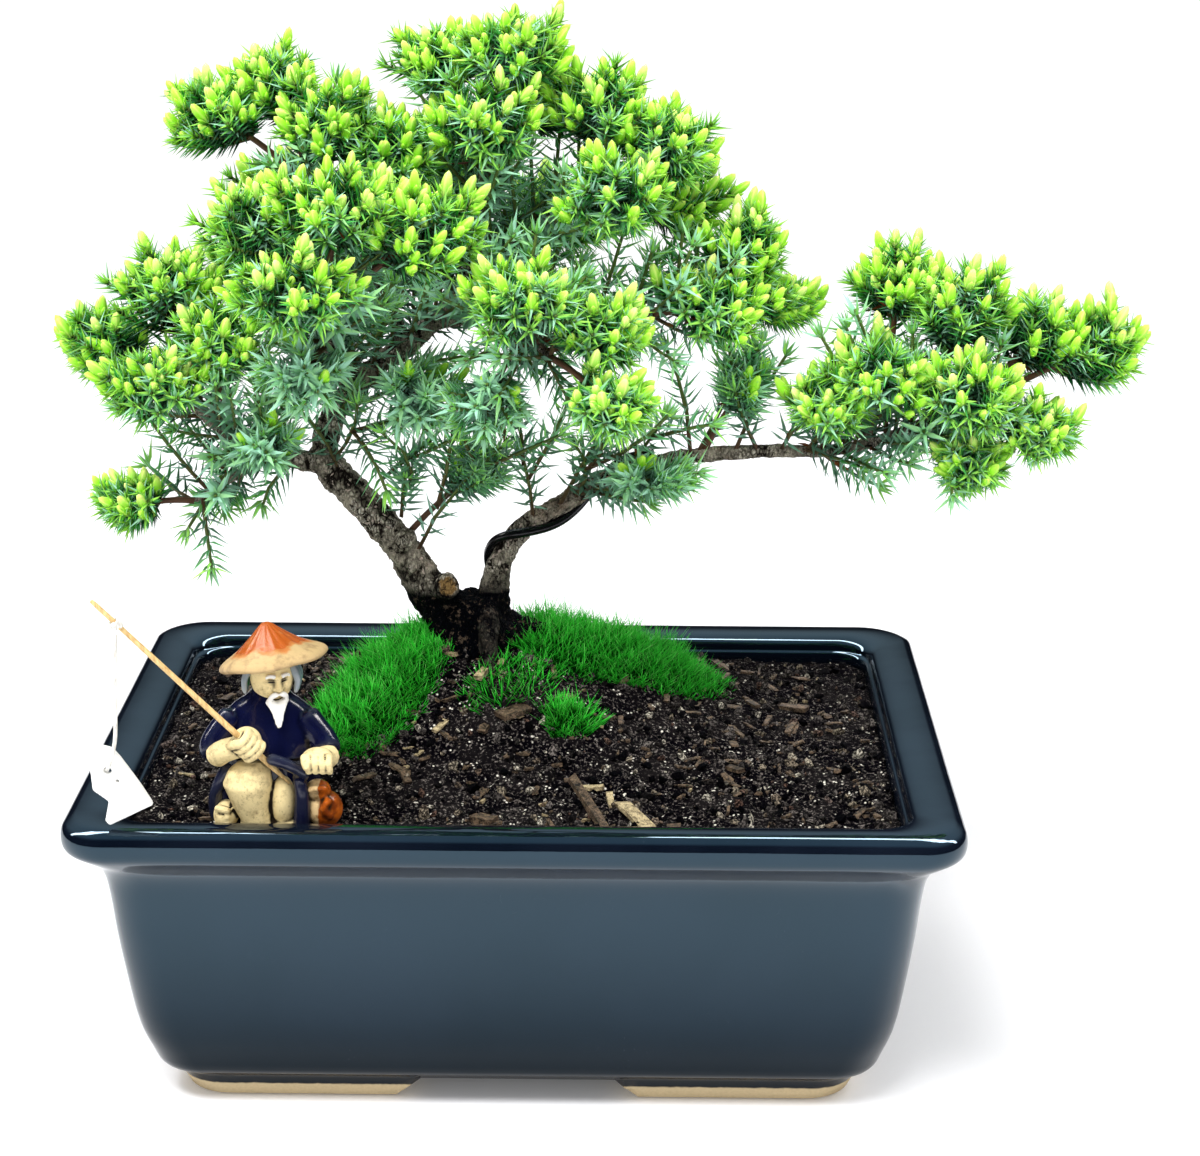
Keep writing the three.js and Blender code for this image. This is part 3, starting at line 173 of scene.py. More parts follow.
# Sprays: the limb that carries each, how far along it, the middle of its crown and its half sizes
SPRAYS = [
    ("crown_front", "leader", 0.9, (-9, 0, 221), (16, 14, 13)),
    ("crown_top", "leader", 1, (-3, 9, 236), (16, 14, 12)),
    ("crown_left", "leader", 0.96, (-20, 18, 233), (14, 14, 12)),
    ("crown_back", "leader", 0.86, (6, 25, 223), (15, 14, 13)),
    ("upper_left_tip", "upper_left", 1, (-73, 18, 220), (14, 13, 12)),
    ("upper_left_top", "upper_left", 0.86, (-60, 25, 227), (13, 13, 11)),
    ("upper_left_middle", "upper_left", 0.74, (-45, 12, 219), (15, 14, 12)),
    ("upper_left_inner", "upper_left", 0.6, (-30, 8, 213), (14, 13, 13)),
    ("front_left_outer", "front_left", 0.8, (-59, -14, 200), (17, 15, 13)),
    ("front_left_top", "front_left", 0.92, (-40, -27, 206), (17, 15, 12)),
    ("front_left_inner", "front_left", 0.7, (-21, -23, 200), (17, 15, 13)),
    ("front_left_low", "front_left", 1, (-49, -36, 188), (17, 14, 12)),
    ("front_left_shade", "front_left", 0.45, (-50, -20, 167), (16, 15, 12)),
    ("left_top", "left_branch", 0.9, (-82, -3, 183), (15, 14, 12)),
    ("left_tip", "left_branch", 1, (-99, 3, 168), (14, 14, 12)),
    ("left_front", "left_branch", 0.82, (-85, -17, 163), (15, 13, 12)),
    ("left_inner", "left_branch", 0.62, (-70, -12, 172), (13, 13, 12)),
    ("left_under", "left_branch", 0.4, (-60, -9, 147), (11, 10, 9)),
    ("left_low", "low_left", 1, (-93, -2, 130), (12, 10, 9)),
    ("upper_right_top", "upper_right", 0.9, (18, 13, 223), (15, 14, 12)),
    ("upper_right_tip", "upper_right", 1, (34, 8, 215), (15, 14, 12)),
    ("upper_right_front", "upper_right", 0.78, (22, -6, 205), (16, 14, 13)),
    ("upper_right_back", "upper_right", 0.68, (37, 22, 199), (15, 14, 12)),
    ("right_tip", "right_bough", 0.86, (53, 9, 190), (12, 12, 13)),
    ("right_low", "right_bough", 0.78, (45, -4, 179), (15, 13, 12)),
    ("right_outer", "right_bough", 1, (61, 16, 176), (11, 11, 9)),
    ("centre_top", "centre_bough", 0.8, (2, -31, 186), (16, 14, 12)),
    ("centre_right", "centre_bough", 0.9, (19, -21, 176), (13, 13, 11)),
    ("centre_low", "centre_bough", 1, (21, -34, 163), (13, 12, 10)),
    ("centre_shade", "centre_bough", 0.5, (-8, -17, 159), (14, 12, 11)),
    ("inner_shade", "leader", 0.3, (-24, -6, 157), (14, 12, 12)),
    ("reach_rise", "right_rise", 1, (89, 14, 181), (13, 13, 13)),
    ("reach_upper", "right_stem", 0.93, (103, 5, 179), (15, 14, 12)),
    ("reach_front", "right_rise", 0.5, (84, -7, 164), (15, 13, 12)),
    ("reach_middle", "right_stem", 0.96, (104, -9, 160), (15, 13, 12)),
    ("reach_outer", "right_stem", 0.98, (123, 12, 170), (14, 14, 12)),
    ("reach_tip", "right_stem", 1, (136, 8, 167), (13, 13, 14)),
    ("reach_low", "right_under", 1, (106, -2, 142), (12, 11, 10)),
    ("reach_end", "right_stem", 0.985, (122, 0, 149), (13, 12, 10)),
    ("reach_inner", "right_stem", 0.76, (72, -3, 156), (13, 12, 11)),
    ("trunk_shoot", "left_trunk", 0.5, (-10, 0, 139), (10, 8, 9)),
    ("under_low", "right_stem", 0.46, (30, -8, 139), (14, 9, 7)),
    ("under_rise", "right_stem", 0.62, (53, 6, 159), (9, 9, 13)),
    ("back_top", "back_bough", 0.8, (-18, 42, 205), (17, 15, 13)),
    ("back_right", "back_bough", 1, (8, 52, 190), (17, 15, 13)),
    ("back_left_top", "back_left", 0.8, (-60, 46, 197), (16, 15, 13)),
    ("back_left_low", "back_left", 1, (-70, 52, 178), (16, 14, 12)),
    ("back_low", "back_left", 0.9, (-36, 58, 178), (16, 14, 12)),
]
SHADED_SPRAYS = {
    "front_left_shade", "left_under", "centre_shade", "inner_shade", "trunk_shoot", "under_low", "under_rise",
}
SHOOTS_IN_SPRAY = 26
WHORLS = 10
NEEDLES_IN_WHORL = 3
LEAFY_SHARE = 0.55
CROWN_LIFT = 0.6
CROWN_COVER = 1.45
SHOOT_SAG = 0.14
SHOOT_BEND = 0.55
STEM_RISE = 0.1
BUD_REACH = 4
REACH = 0.8
REACH_VARIES = 0.36
WHORLS_START = 0.16
WHORLS_SPAN = 0.8
NEEDLE_ANGLE = 0.86
NEEDLE_LEAST = 0.85
NEEDLE_VARIES = 0.3
MORE_SHOOTS = 12
MORE_REACH = (0.7, 1.42)
NEEDLES_AT_TIP = 6
LOOSE_SHADE = 0.5
LIMB_SHADE = 0.8
DRY_SHARE = 0.03
SHADED_NEEDLE = 1.06
TIP_RISE = 3.2

# Looser foliage: the span of each limb that bears side shoots with their number, and single shoots
LEAFY_LIMBS = {
    "leader": (0.14, 0.98, 44), "upper_left": (0.15, 0.98, 22), "front_left": (0.12, 0.98, 26),
    "upper_right": (0.1, 0.98, 26), "right_bough": (0.15, 1, 36), "centre_bough": (0.15, 1, 20),
    "back_bough": (0.1, 1, 18), "back_left": (0.1, 1, 20), "left_branch": (0.2, 0.98, 22),
    "low_left": (0.2, 1, 9), "right_stem": (0.74, 1, 34), "right_rise": (0.1, 1, 10),
    "right_under": (0.2, 1, 6),
}
LIMB_SHOOT = (13, 24)
LOOSE_WHORL_STEP = 2.1
LOOSE_WHORLS = (0.12, 0.86)
LOOSE_NEEDLE = 1.32
LOOSE_ANGLE = 1.05
LOOSE_SHOOTS = [
    [(-26, 8, 117), (-21, 2, 129), (-15, 0, 134), (-4, -4, 147)],
    [(-21, 2, 129), (-17, 3, 136), (-18, 4, 142)], [(-30, 8, 125), (-29, 4, 132), (-28, 0, 138)],
    [(-35, 9, 134), (-29, 4, 140), (-22, 0, 146)], [(2, 11, 124), (1, 4, 136), (-1, 0, 145)],
    [(51, 11, 142), (56, 8, 155), (63, 8, 167)], [(56, 11, 142), (52, 4, 152), (50, 2, 160)],
    [(40, 11, 141), (38, 8, 156), (33, 8, 169)], [(42, 11, 141), (48, 14, 152), (52, 16, 160)],
    [(18, 11, 133), (28, 0, 139), (40, -4, 138)], [(16, 11, 131), (23, -2, 133), (31, -6, 133)],
    [(23, 11, 135), (30, 4, 146), (34, 2, 153)], [(12, 11, 129), (15, 2, 139), (12, -2, 147)],
    [(-58, 6, 141), (-71, 3, 138), (-82, 0, 122)], [(-68, 4, 138), (-73, 6, 132), (-72, 6, 126)],
    [(-54, 7, 140), (-60, 2, 136), (-63, 0, 129)], [(62, 11, 142), (66, 4, 150), (76, 2, 155)],
    [(67, 11, 142), (75, 6, 141), (82, 4, 139)], [(-44, 9, 134), (-49, 2, 148), (-55, -4, 156)],
    [(-47, 9, 138), (-41, 2, 148), (-39, -2, 157)], [(28, 12, 137), (20, 14, 140), (14, 16, 148)],
    [(-21, 2, 129), (-17, -2, 139), (-18, -3, 149), (-16, -4, 158)],
    [(-29, 4, 132), (-27, -1, 141), (-34, -4, 150)], [(-10.5, -1.6, 139.5), (-14, -6, 149), (-15, -6, 160)],
    [(-4, -4, 147), (-5, -7, 155), (-8, -8, 162)], [(1, 4, 136), (5, 0, 144), (8, -4, 151), (11, -5, 158)],
    [(8, 11, 127), (13, 2, 140), (19, -3, 149), (22, -5, 155)],
    [(12, 11, 129.5), (22, 4, 137), (32, -4, 139), (43, -8, 141)],
    [(14, 11, 131), (20, 2, 134), (29, -6, 135)],
    [(15, 2, 139), (23, -3, 144), (30, -6, 150), (35, -8, 156)],
    [(-10.5, -1.6, 139.5), (-3, -6, 144), (4, -9, 148), (10, -10, 151)],
    [(-29, 4, 140), (-23, -2, 144), (-15, -6, 149)], [(-41, 2, 148), (-33, -2, 151), (-22, -6, 155)],
    [(-41, 2, 148), (-36, -3, 143), (-32, -5, 134)], [(0, 2, 140), (-1, -3, 152), (-4, -6, 161)],
    [(15, 2, 139), (19, -4, 147), (15, -8, 156)], [(30, 4, 146), (38, -2, 150), (46, -4, 152)],
]

# Training wire round the right stem
WIRE_RADIUS = 1.15
WIRE_TURNS = 1.34
WIRE_START = 0.12
WIRE_END = 0.56
WIRE_FIRST_ANGLE = 1.92
WIRE_POINTS_IN_TURN = 24
RIDGES = 0.11
WIRE_BITE = 0.6
WIRE_STEPS = 260
WIRE_SIDES = 14

# Bark
STEPS_IN_LIMB = 5
LIMB_SIDES = 16
LEAST_LIMB_RADIUS = 0.85
RIDGED_FROM = 2.5
FLAKES = 260
SAWN_DEPTH = 0.7
SAWN_SHARE = 0.76
SOILED_BELOW = 111
SOILED_SPAN = 9
FLAKY_RADIUS = 2.4

# Moss cushions
MOSS = {
    "moss_left": {"centre": (-35, -1), "size": (25, 13), "turn": 0.98, "thickness": 7.5},
    "moss_right": {"centre": (20, 21), "size": (28, 15), "turn": 0.3, "thickness": 8.5},
    "moss_tuft": {"centre": (11, -11), "size": (6.5, 5), "turn": 0.2, "thickness": 6},
}
MOSS_EDGE = 1.2
MOSS_TUFT = 2.8
MOSS_BED_SIDES = 48
MOSS_BED_RINGS = 14
MOSS_BED_DEPTH = 5
THIN_MOSS_CENTRE = (-4, -5)
THIN_MOSS_SIZE = (12, 6)
THIN_MOSS_STRANDS = 360

# Fisherman, rod, line and fish
SEAT = (-56, -50, 0)
ROD_TIP = (-90.1, -73, 129.5)
ROD_SLOPE = (0.61, 0.256, -0.75)
ROD_LENGTH = 64.5
ROD_RADIUS = 0.75
ROD_TAPER = 0.7
FIST_FROM_TIP = 50
LINE_RADIUS = 0.45
LINE_ROUTE = [(-85.7, -71.2, 121.3), (-86.2, -71.8, 110), (-86.6, -72.6, 97.5), (-87.4, -73.3, 93.8),
              (-88.6, -73.5, 90.6)]
LINE_POINTS = 24
LINE_SIDES = 10
ROD_STEPS = 44
ROD_SIDES = 14
TURNS_FROM_TIP = 6.5
TURNS_LENGTH = 2.4
TURNS_RADIUS = 1.5
FISH_PLANE = -71.3
FISH_THICKNESS = 2.4
FISH_OUTLINE = [
    (-92.6, 90.8), (-90.4, 95.8), (-87.6, 95), (-86, 93), (-81.8, 86.6), (-79.1, 82),
    (-88.9, 77), (-89.8, 78.2), (-88.8, 82.8), (-92.2, 85.4),
]
FISH_BEVEL = 0.5
FISH_FINENESS = 0.34
FISH_HOLES = [(-88.7, 90, 0.95), (-86.6, 87.6, 0.5)]
FISH_HOLE_SIDES = 20
THREAD_RADIUS = 0.4
THREAD_TURNS = 4
THREAD_STEPS = 120
THREAD_SIDES = 8

# Fisherman, in millimetres across, back and up from the seat
CLAY_FINENESS = 0.42
LIMB_FINENESS = 0.36
ROBE_FINENESS = 0.52
HEAD_SIDES = 96
HEAD_LEVELS = 74
HAT_SIDES = 120
ROLL_STEPS = 16
ROLL_SIDES = 12
SHIN_SIDES = 40
LAP_SIDES = 60
CAPE_SIDES = 96
HOLLOW_DEPTH = 0.000028
LINE_OF_FACE = 0.03
HEAD = (1, 0.6, 104.5)
HEAD_HALF = (4.9, 5, 6.4)
HEAD_TURN = 0.42
HEAD_BOW = 0.12
# Forms of the face: shares across and up, their width, height and rise
FACE_FORMS = [
    (0, 0.16, 0.1, 0.2, 0.55), (0, -0.14, 0.12, 0.13, 1.35), (0.14, -0.19, 0.08, 0.06, 0.55),
    (0.35, 0.09, 0.2, 0.13, -0.85), (0.34, 0.07, 0.13, 0.05, 0.6), (0.34, 0.07, 0.12, 0.014, -0.4),
    (0.3, 0.27, 0.22, 0.07, 0.4), (0.52, -0.12, 0.2, 0.17, 0.4), (0, -0.37, 0.17, 0.04, 0.35),
    (0, -0.47, 0.15, 0.05, 0.42), (0, -0.42, 0.2, 0.02, -0.45), (0, -0.76, 0.24, 0.16, 0.4),
]
BROW = [(0.12, 0.26), (0.32, 0.33), (0.56, 0.22)]
MOUSTACHE = [(0.03, -0.3), (0.22, -0.34), (0.36, -0.56), (0.36, -0.76)]
BEARD_STRANDS = 7
BEARD_MIDDLE = (2.9, -5.6, 98.4)
BEARD_TIP = (3.3, -6.8, 94.4)
HAIR_LOCKS = [
    ((-3.4, 1.6, 107.2), (-5, 1.4, 103.8), (-4.9, 0.6, 100.6), 0.95),
    ((5.4, 1.6, 107.4), (6.9, 1.6, 104), (6.4, 0.9, 100.8), 0.95),
]
HAT_PROFILE = [
    (0, 0.6), (6, 0.2), (11.2, -1.6), (12.3, -0.9), (11.7, 0.4), (7.5, 2.9), (3.4, 6.1), (0.9, 8.2),
    (0, 8.4),
]
HAT_MIDDLE = (1, 2.2, 108)
HAT_LEAN = (-0.2, 0.22, 1)
HAT_GLAZE_EDGE = 8.9
HAT_GLAZE_SPAN = 3
CREEL_GLAZE_FROM = 12.6
CREEL_GLAZE_SPAN = 1.6
# Levels: height, half width, half depth, across, back
LAP_LEVELS = [(66, 10.6, 7.6, 0, 3), (72, 11.8, 8.4, 0, 3), (79, 11, 8, 0, 3), (88, 10, 7.2, 0, 3)]
CAPE_LEVELS = [
    (86.4, 12.1, 9.3, 0.2, 2.2), (88.6, 11.9, 8.9, 0.2, 2.4), (92, 11.4, 7.9, 0.1, 2.5),
    (95, 10.2, 6.7, 0, 2.5), (97.4, 8, 5.6, 0, 2), (99.4, 5.4, 4.5, 0.2, 1.4), (101.4, 3.9, 3.7, 0.4, 1),
    (102.6, 3.5, 3.3, 0.5, 0.9),
]
CAPE_FOLDS = 0.022
FOLD_COUNT = 11
SHIN_LEVELS = [
    (69.2, 4.7, 4.4, -1.9, -7.2), (70.4, 4.2, 3.9, -2.1, -7.1), (72.6, 3.5, 3.4, -2.6, -6.8),
    (76, 4.3, 4.1, -3.6, -6.5), (81, 5.6, 5.2, -4.4, -6.1), (84, 4.8, 4.5, -4, -5.9),
    (86, 2.7, 2.7, -3.7, -5.7),
]
LIMB_FORMS = [
    ((3.4, -4.8, 76), (2.9, 4.4, 6.2)), ((3.6, -6.6, 70.8), (3.2, 3.2, 1.9)),
    ((-9.6, -5.2, 73), (2.9, 4.2, 3.2)), ((11.7, -7.6, 87.3), (3.7, 3.1, 2.9)),
]
LIMB_ROLLS = [
    ([(-12, -4.4, 86.6), (-8.6, -7.4, 89.4), (-5, -9.2, 91)], 2.9, 2.5),
    ([(14, -2.4, 86.4), (13, -5, 86.9), (12, -6.6, 87.2)], 2.8, 2.5),
    ([(8.9, -8.6, 88.9), (9.2, -10.4, 87.6), (9.8, -10.9, 86)], 1, 0.85),
]
FINGERS = 4
FINGER_STEP = 1.6
FREE_FINGERS = (9.6, -9.9, 88.9, 84.7)
TOES = (-8.2, -9, 75.2)
FIST_CURL = 2.5
ROBE_ROLLS = [
    ([(-7, 1.5, 94.5), (-12, -2.4, 88.4), (-11.4, -4.6, 86.8)], 4.2, 3.5),
    ([(7, 1.5, 94.5), (12.4, -0.6, 88.6), (13.6, -2.8, 86.9)], 4.2, 3.4),
    ([(-8.4, -4.6, 85), (-10.8, -5, 80.6), (-12.2, -4.4, 76.4), (-12.2, -3.4, 70.6)], 1.7, 1.5),
    ([(7, -6.6, 84.6), (8, -7.4, 79), (7.9, -7.4, 74), (7.4, -7, 69.6)], 1.5, 2.1),
    ([(0.4, -9.2, 88.4), (5.4, -8.8, 86.4), (9.6, -7.2, 82.8)], 1.5, 1.3),
]
CREEL_FORMS = [((12.7, -4.6, 74.4), (4.2, 4, 4.4)), ((11.4, -5.2, 79.2), (2.9, 2.9, 2.4))]
CREEL_ROLLS = [
    ([(14.6, -7.6, 78), (13, -8.8, 76), (14.8, -8.2, 73.2)], 0.8, 0.7),
    ([(9.4, -7.4, 79.8), (11.6, -8.2, 80.6), (14, -6.8, 80)], 0.8, 0.7),
]

# Radii of single rolls of clay at their two ends
FINGER_RADII = (0.86, 0.78)
TOE_RADII = (0.86, 0.8)
CURLED_RADII = (0.92, 0.82)
THUMB_RADII = (1.1, 0.9)
LOCK_RADII = (1.0, 0.6)
BROW_RADII = (0.62, 0.4)
WHISKER_RADII = (0.75, 0.42)
BEARD_RADII = (0.85, 0.34)

# Wood chips that stand out: place across and back, heading, rise, width, thickness, length, tone and lift
LARGE_CHIPS = [
    (27.6, -51.5, 2.12, 1.8, 3.5, 1.1, 13.5, 0.95, 0.16), (16.3, -46.5, 1.98, 3, 2, 1.5, 21, 0.4, 0.24),
    (17.1, -34.9, -0.1, 0.83, 2, 0.8, 5.4, 0.95, 0.1), (21.5, -41, 1.7, 1.38, 1.5, 0.9, 6.5, 0.9, 0.2),
    (-2.2, -13, 0.6, 1.2, 5, 1.1, 7.5, 0.3, 0.1), (-7, -52, -0.6, 0.6, 3.2, 1.8, 6, 0.84, 0.1),
    (36, -56, 0.03, 1.0, 2.4, 1.4, 3, 0.85, 0.1), (-10.2, -4.8, 1.25, 1.6, 1.9, 1.1, 5.4, 0.9, 0.1),
    (67.5, 21.4, -0.49, 0.8, 2.6, 1.3, 7.8, 0.86, 0.1), (-27, -31, 1.9, 0.8, 1.8, 0.8, 6.5, 0.85, 0.2),
    (51, -22, -0.87, 1, 1.9, 0.9, 5, 0.8, 0.1), (57, 20, -1.2, 1, 1.6, 0.8, 6, 0.86, 0.1),
]

# Lights, and the room that glossy surfaces reflect
KEY_PLACE = (-330, -520, 1050)
KEY_SIZE = (780, 280)
FILL_PLACE = (620, -300, 760)
FILL_SIZE = (420, 260)
LIGHTS_AIM = (0, 0, 130)
ROOM_TILT = 0.36
ROOM_EDGE = (0.45, 0.92)
ROOM_DARK = (0.012, 0.014, 0.018)
ROOM_LIGHT = (0.62, 0.86, 1.0)
STRIP_BACK = (0.36, 0.56)
STRIP_ENDS = (1.5, 2.1)
STRIP_SOFT = 0.03
STRIP_LIGHT = (30.0, 28.5, 27.5)
BACKDROP = 1.1
FLOOR_GLOW = 0.08
FLOOR_HALF = 900

# The camera of the photograph
CAMERA_PLACE = (24.393, -628.071, 312.931)
CAMERA_YAW = math.radians(-0.547)
CAMERA_PITCH = math.radians(17.712)
CAMERA_ROLL = math.radians(0.313)
CAMERA_VIEW = math.radians(24.803)


# Shapes and curves

def placed(points):
    """Millimetres from the middle of the pot's soles, as metres in the row frame"""
    return np.asarray(points, float) * MM + POT_MIDDLE


def in_millimetres(places):
    """Metres in the row frame, as millimetres from the middle of the pot's soles"""
    return (places - POT_MIDDLE) / MM


def unit(vectors):
    """Vectors of length one"""
    vectors = np.asarray(vectors, float)
    return vectors / np.maximum(np.linalg.norm(vectors, axis=-1, keepdims=True), 1e-12)


def centre_line(knots):
    """The points of a limb without their radii"""
    return [knot[:3] for knot in knots]


def draw(number, purpose):
    """A steady value from 0 to 1 for a number and a purpose"""
    wave = np.sin(number * 12.9898 + purpose * 78.233) * 43758.5453
    return wave - np.floor(wave)


def hill(x, y, centre, spread_x, spread_y):
    """The height of a round hill of height 1"""
    return np.exp(-((x - centre[0]) / spread_x) ** 2 - ((y - centre[1]) / spread_y) ** 2)


def soil_height(x, y):
    """The height of the soil over the pot's soles"""
    mound = MOUND_HEIGHT * hill(x, y, MOUND_CENTRE, *MOUND_SPREAD)
    shoulder = SHOULDER_HEIGHT * hill(x, y, SHOULDER_CENTRE, SHOULDER_SPREAD, SHOULDER_SPREAD)
    return SOIL_LEVEL + mound + shoulder + SOIL_LUMP * np.sin(x * 0.31 + 1) * np.sin(y * 0.37)


def curve_points(knots, shares):
    """Points of a smooth curve through knots, at shares of the list of knots"""
    knots = np.asarray(knots, float)
    last = len(knots) - 1
    padded = np.vstack([2 * knots[0] - knots[1], knots, 2 * knots[-1] - knots[-2]])
    found = []
    for share in np.atleast_1d(shares):
        place = min(max(share, 0), 1) * last
        before = min(int(place), last - 1)
        rest = place - before
        p0, p1, p2, p3 = padded[before:before + 4]
        d0, d1, d2 = (max(np.linalg.norm(b - a), 1e-8) ** 0.5 for a, b in ((p0, p1), (p1, p2), (p2, p3)))
        enter = ((p1 - p0) / d0 - (p2 - p0) / (d0 + d1) + (p2 - p1) / d1) * d1
        leave = ((p2 - p1) / d1 - (p3 - p1) / (d1 + d2) + (p3 - p2) / d2) * d1
        bend = -3 * p1 + 3 * p2 - 2 * enter - leave
        turn = 2 * p1 - 2 * p2 + enter + leave
        found.append(p1 + enter * rest + bend * rest ** 2 + turn * rest ** 3)
    return np.array(found)


def even_points(knots, count):
    """Points at equal steps along a smooth curve through knots"""
    fine = curve_points(knots, np.linspace(0, 1, 400))
    reach = np.concatenate([[0], np.cumsum(np.linalg.norm(np.diff(fine, axis=0), axis=1))])
    steps = np.linspace(0, reach[-1], count)
    return np.stack([np.interp(steps, reach, fine[:, axis]) for axis in range(3)], axis=1)


def angles_round(count):
    """Angles at equal steps round a full turn"""
    return np.arange(count) / count * FULL_TURN


def spokes(aside, across, angles):
    """Ways at angles round an axis, from the way aside towards the way across"""
    return aside * np.cos(angles)[..., None] + across * np.sin(angles)[..., None]


def bow(start, bend, end, share):
    """A point of the curve from start to end that is drawn towards bend"""
    return start * (1 - share) ** 2 + bend * 2 * share * (1 - share) + end * share ** 2


def bow_heading(start, bend, end, share):
    """The way that such a curve runs"""
    return unit((bend - start) * (1 - share) + (end - bend) * share)


def tube(line, radii, sides):
    """A closed tube along a line of points, its radius given for each point, or for each point and side"""
    line = np.asarray(line, float)
    radii = np.asarray(radii, float)
    radii = np.broadcast_to(radii if radii.ndim == 2 else radii.reshape(-1, 1), (len(line), sides))
    headings = unit(np.gradient(line, axis=0))
    aside = unit(np.cross(headings[0], UP if abs(headings[0][2]) < 0.9 else (1, 0, 0)))
    angles = angles_round(sides)
    rings = []
    for place, heading in enumerate(headings):
        aside = unit(aside - heading * np.dot(aside, heading))
        across = np.cross(heading, aside)
        rings.append(line[place] + spokes(aside, across, angles) * radii[place][:, None])
    return skin(rings)


def skin(rings):
    """A skin over rings that run anticlockwise as seen from the last one, with its two ends closed"""
    sides = len(rings[0])
    points = np.concatenate(rings)
    corner = np.arange(sides)
    after = (corner + 1) % sides
    quads = []
    for level in range(len(rings) - 1):
        low = level * sides
        quads.append(np.stack([low + corner, low + after, low + sides + after, low + sides + corner], axis=1))
    middles = np.array([rings[0].mean(axis=0), rings[-1].mean(axis=0)])
    first, last = len(points), len(points) + 1
    top = (len(rings) - 1) * sides
    caps = np.concatenate([
        np.stack([np.full(sides, first), after, corner], axis=1),
        np.stack([np.full(sides, last), top + corner, top + after], axis=1),
    ])
    return np.vstack([points, middles]), [np.concatenate(quads), caps]


def together(shapes):
    """Several shapes as one list of points and one list of faces"""
    points = []
    faces = []
    count = 0
    for shape_points, shape_faces in shapes:
        points.append(shape_points)
        faces += [face + count for face in shape_faces]
        count += len(shape_points)
    return np.concatenate(points), faces


def mesh_of(name, points, faces):
    """A mesh of points and of arrays of faces, each array with faces of one number of sides"""
    mesh = bpy.data.meshes.new(name)
    sizes = np.concatenate([np.full(len(face), face.shape[1]) for face in faces])
    corners = np.concatenate([face.ravel() for face in faces])
    mesh.vertices.add(len(points))
    mesh.vertices.foreach_set("co", placed(points).astype(np.float32).ravel())
    mesh.loops.add(len(corners))
    mesh.loops.foreach_set("vertex_index", corners.astype(np.int32))
    mesh.polygons.add(len(sizes))
    mesh.polygons.foreach_set("loop_start", (np.cumsum(sizes) - sizes).astype(np.int32))
    mesh.update(calc_edges=True)
    return mesh


def piece(name, mesh, material, smooth=True, replaces=()):
    """A piece of the object that shows a mesh in one material"""
    thing = bpy.data.objects.new(name, mesh)
    bpy.context.scene.collection.objects.link(thing)
    mesh.materials.clear()
    mesh.materials.append(material)
    mesh.polygons.foreach_set("use_smooth", np.full(len(mesh.polygons), smooth))
    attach(thing, "root")
    if replaces:
        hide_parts(*replaces)
    return thing


def mark(mesh, name, values):
    """One value for each point of a mesh, for its material to read"""
    marks = mesh.attributes.new(name, "FLOAT", "POINT").data
    marks.foreach_set("value", np.asarray(values, np.float32).ravel())


def with_modifier(mesh, kind, **settings):
    """The mesh as one of Blender's modifiers leaves it"""
    thing = bpy.data.objects.new("in_work", mesh)
    bpy.context.scene.collection.objects.link(thing)
    modifier = thing.modifiers.new(kind, kind)
    for name, value in settings.items():
        setattr(modifier, name, value)
    made = bpy.data.meshes.new_from_object(thing.evaluated_get(bpy.context.evaluated_depsgraph_get()))
    bpy.data.objects.remove(thing)
    return made


def coordinates(mesh):
    """The points of a mesh, in metres"""
    points = np.empty(len(mesh.vertices) * 3)
    mesh.vertices.foreach_get("co", points)
    return points.reshape(-1, 3)


def normals(mesh):
    """The way that each point of a mesh faces"""
    ways = np.empty(len(mesh.vertices) * 3, np.float32)
    mesh.vertex_normals.foreach_get("vector", ways)
    return ways.reshape(-1, 3)


def hollows(mesh, deep, passes=3):
    """How hollow a surface is at each corner, from 0 where it is flat or bulges to 1 at a given depth"""
    points = coordinates(mesh)
    ends = np.empty(len(mesh.edges) * 2, dtype=np.int64)
    mesh.edges.foreach_get("vertices", ends)
    first, second = ends.reshape(-1, 2).T
    count = np.bincount(ends, minlength=len(points))
    around = np.zeros_like(points)
    np.add.at(around, first, points[second])
    np.add.at(around, second, points[first])
    depth = ((around / count[:, None] - points) * normals(mesh)).sum(axis=1)
    for _ in range(passes):
        spread = np.zeros(len(points))
        np.add.at(spread, first, depth[second])
        np.add.at(spread, second, depth[first])
        depth = (depth + spread / count) / 2
    return np.clip(depth / deep, 0, 1)


def move_points(mesh, points):
    """Puts the points of a mesh at new places, in metres"""
    mesh.vertices.foreach_set("co", np.asarray(points, np.float32).ravel())
    mesh.update()


# Materials

class Value:
    """A socket of a material's nodes that takes part in plain arithmetic"""

    def __init__(self, nodes, socket):
        self.nodes = nodes
        self.socket = socket

    def math(self, operation, *values):
        """A value that a Math node works out from others"""
        sockets = dict(enumerate(values))
        return self.nodes.add("ShaderNodeMath", {"operation": operation}, sockets)

    def __add__(self, other):
        return self.math("ADD", self, other)

    def __sub__(self, other):
        return self.math("SUBTRACT", self, other)

    def __rsub__(self, other):
        return self.math("SUBTRACT", other, self)

    def __mul__(self, other):
        return self.math("MULTIPLY", self, other)

    def __truediv__(self, other):
        return self.math("DIVIDE", self, other)

    __radd__ = __add__
    __rmul__ = __mul__

    def clamped(self):
        """The value, kept from 0 to 1"""
        return self.math("MINIMUM", self.math("MAXIMUM", self, 0.0), 1.0)

    def apart(self, value):
        """How far it is from a value, either way"""
        return self.math("ABSOLUTE", self - value)

    def between(self, low, high):
        """0 up to low, 1 from high, and smooth from one to the other"""
        settings = {"interpolation_type": "SMOOTHSTEP"}
        sockets = {"Value": self, "From Min": low, "From Max": high}
        return self.nodes.add("ShaderNodeMapRange", settings, sockets)


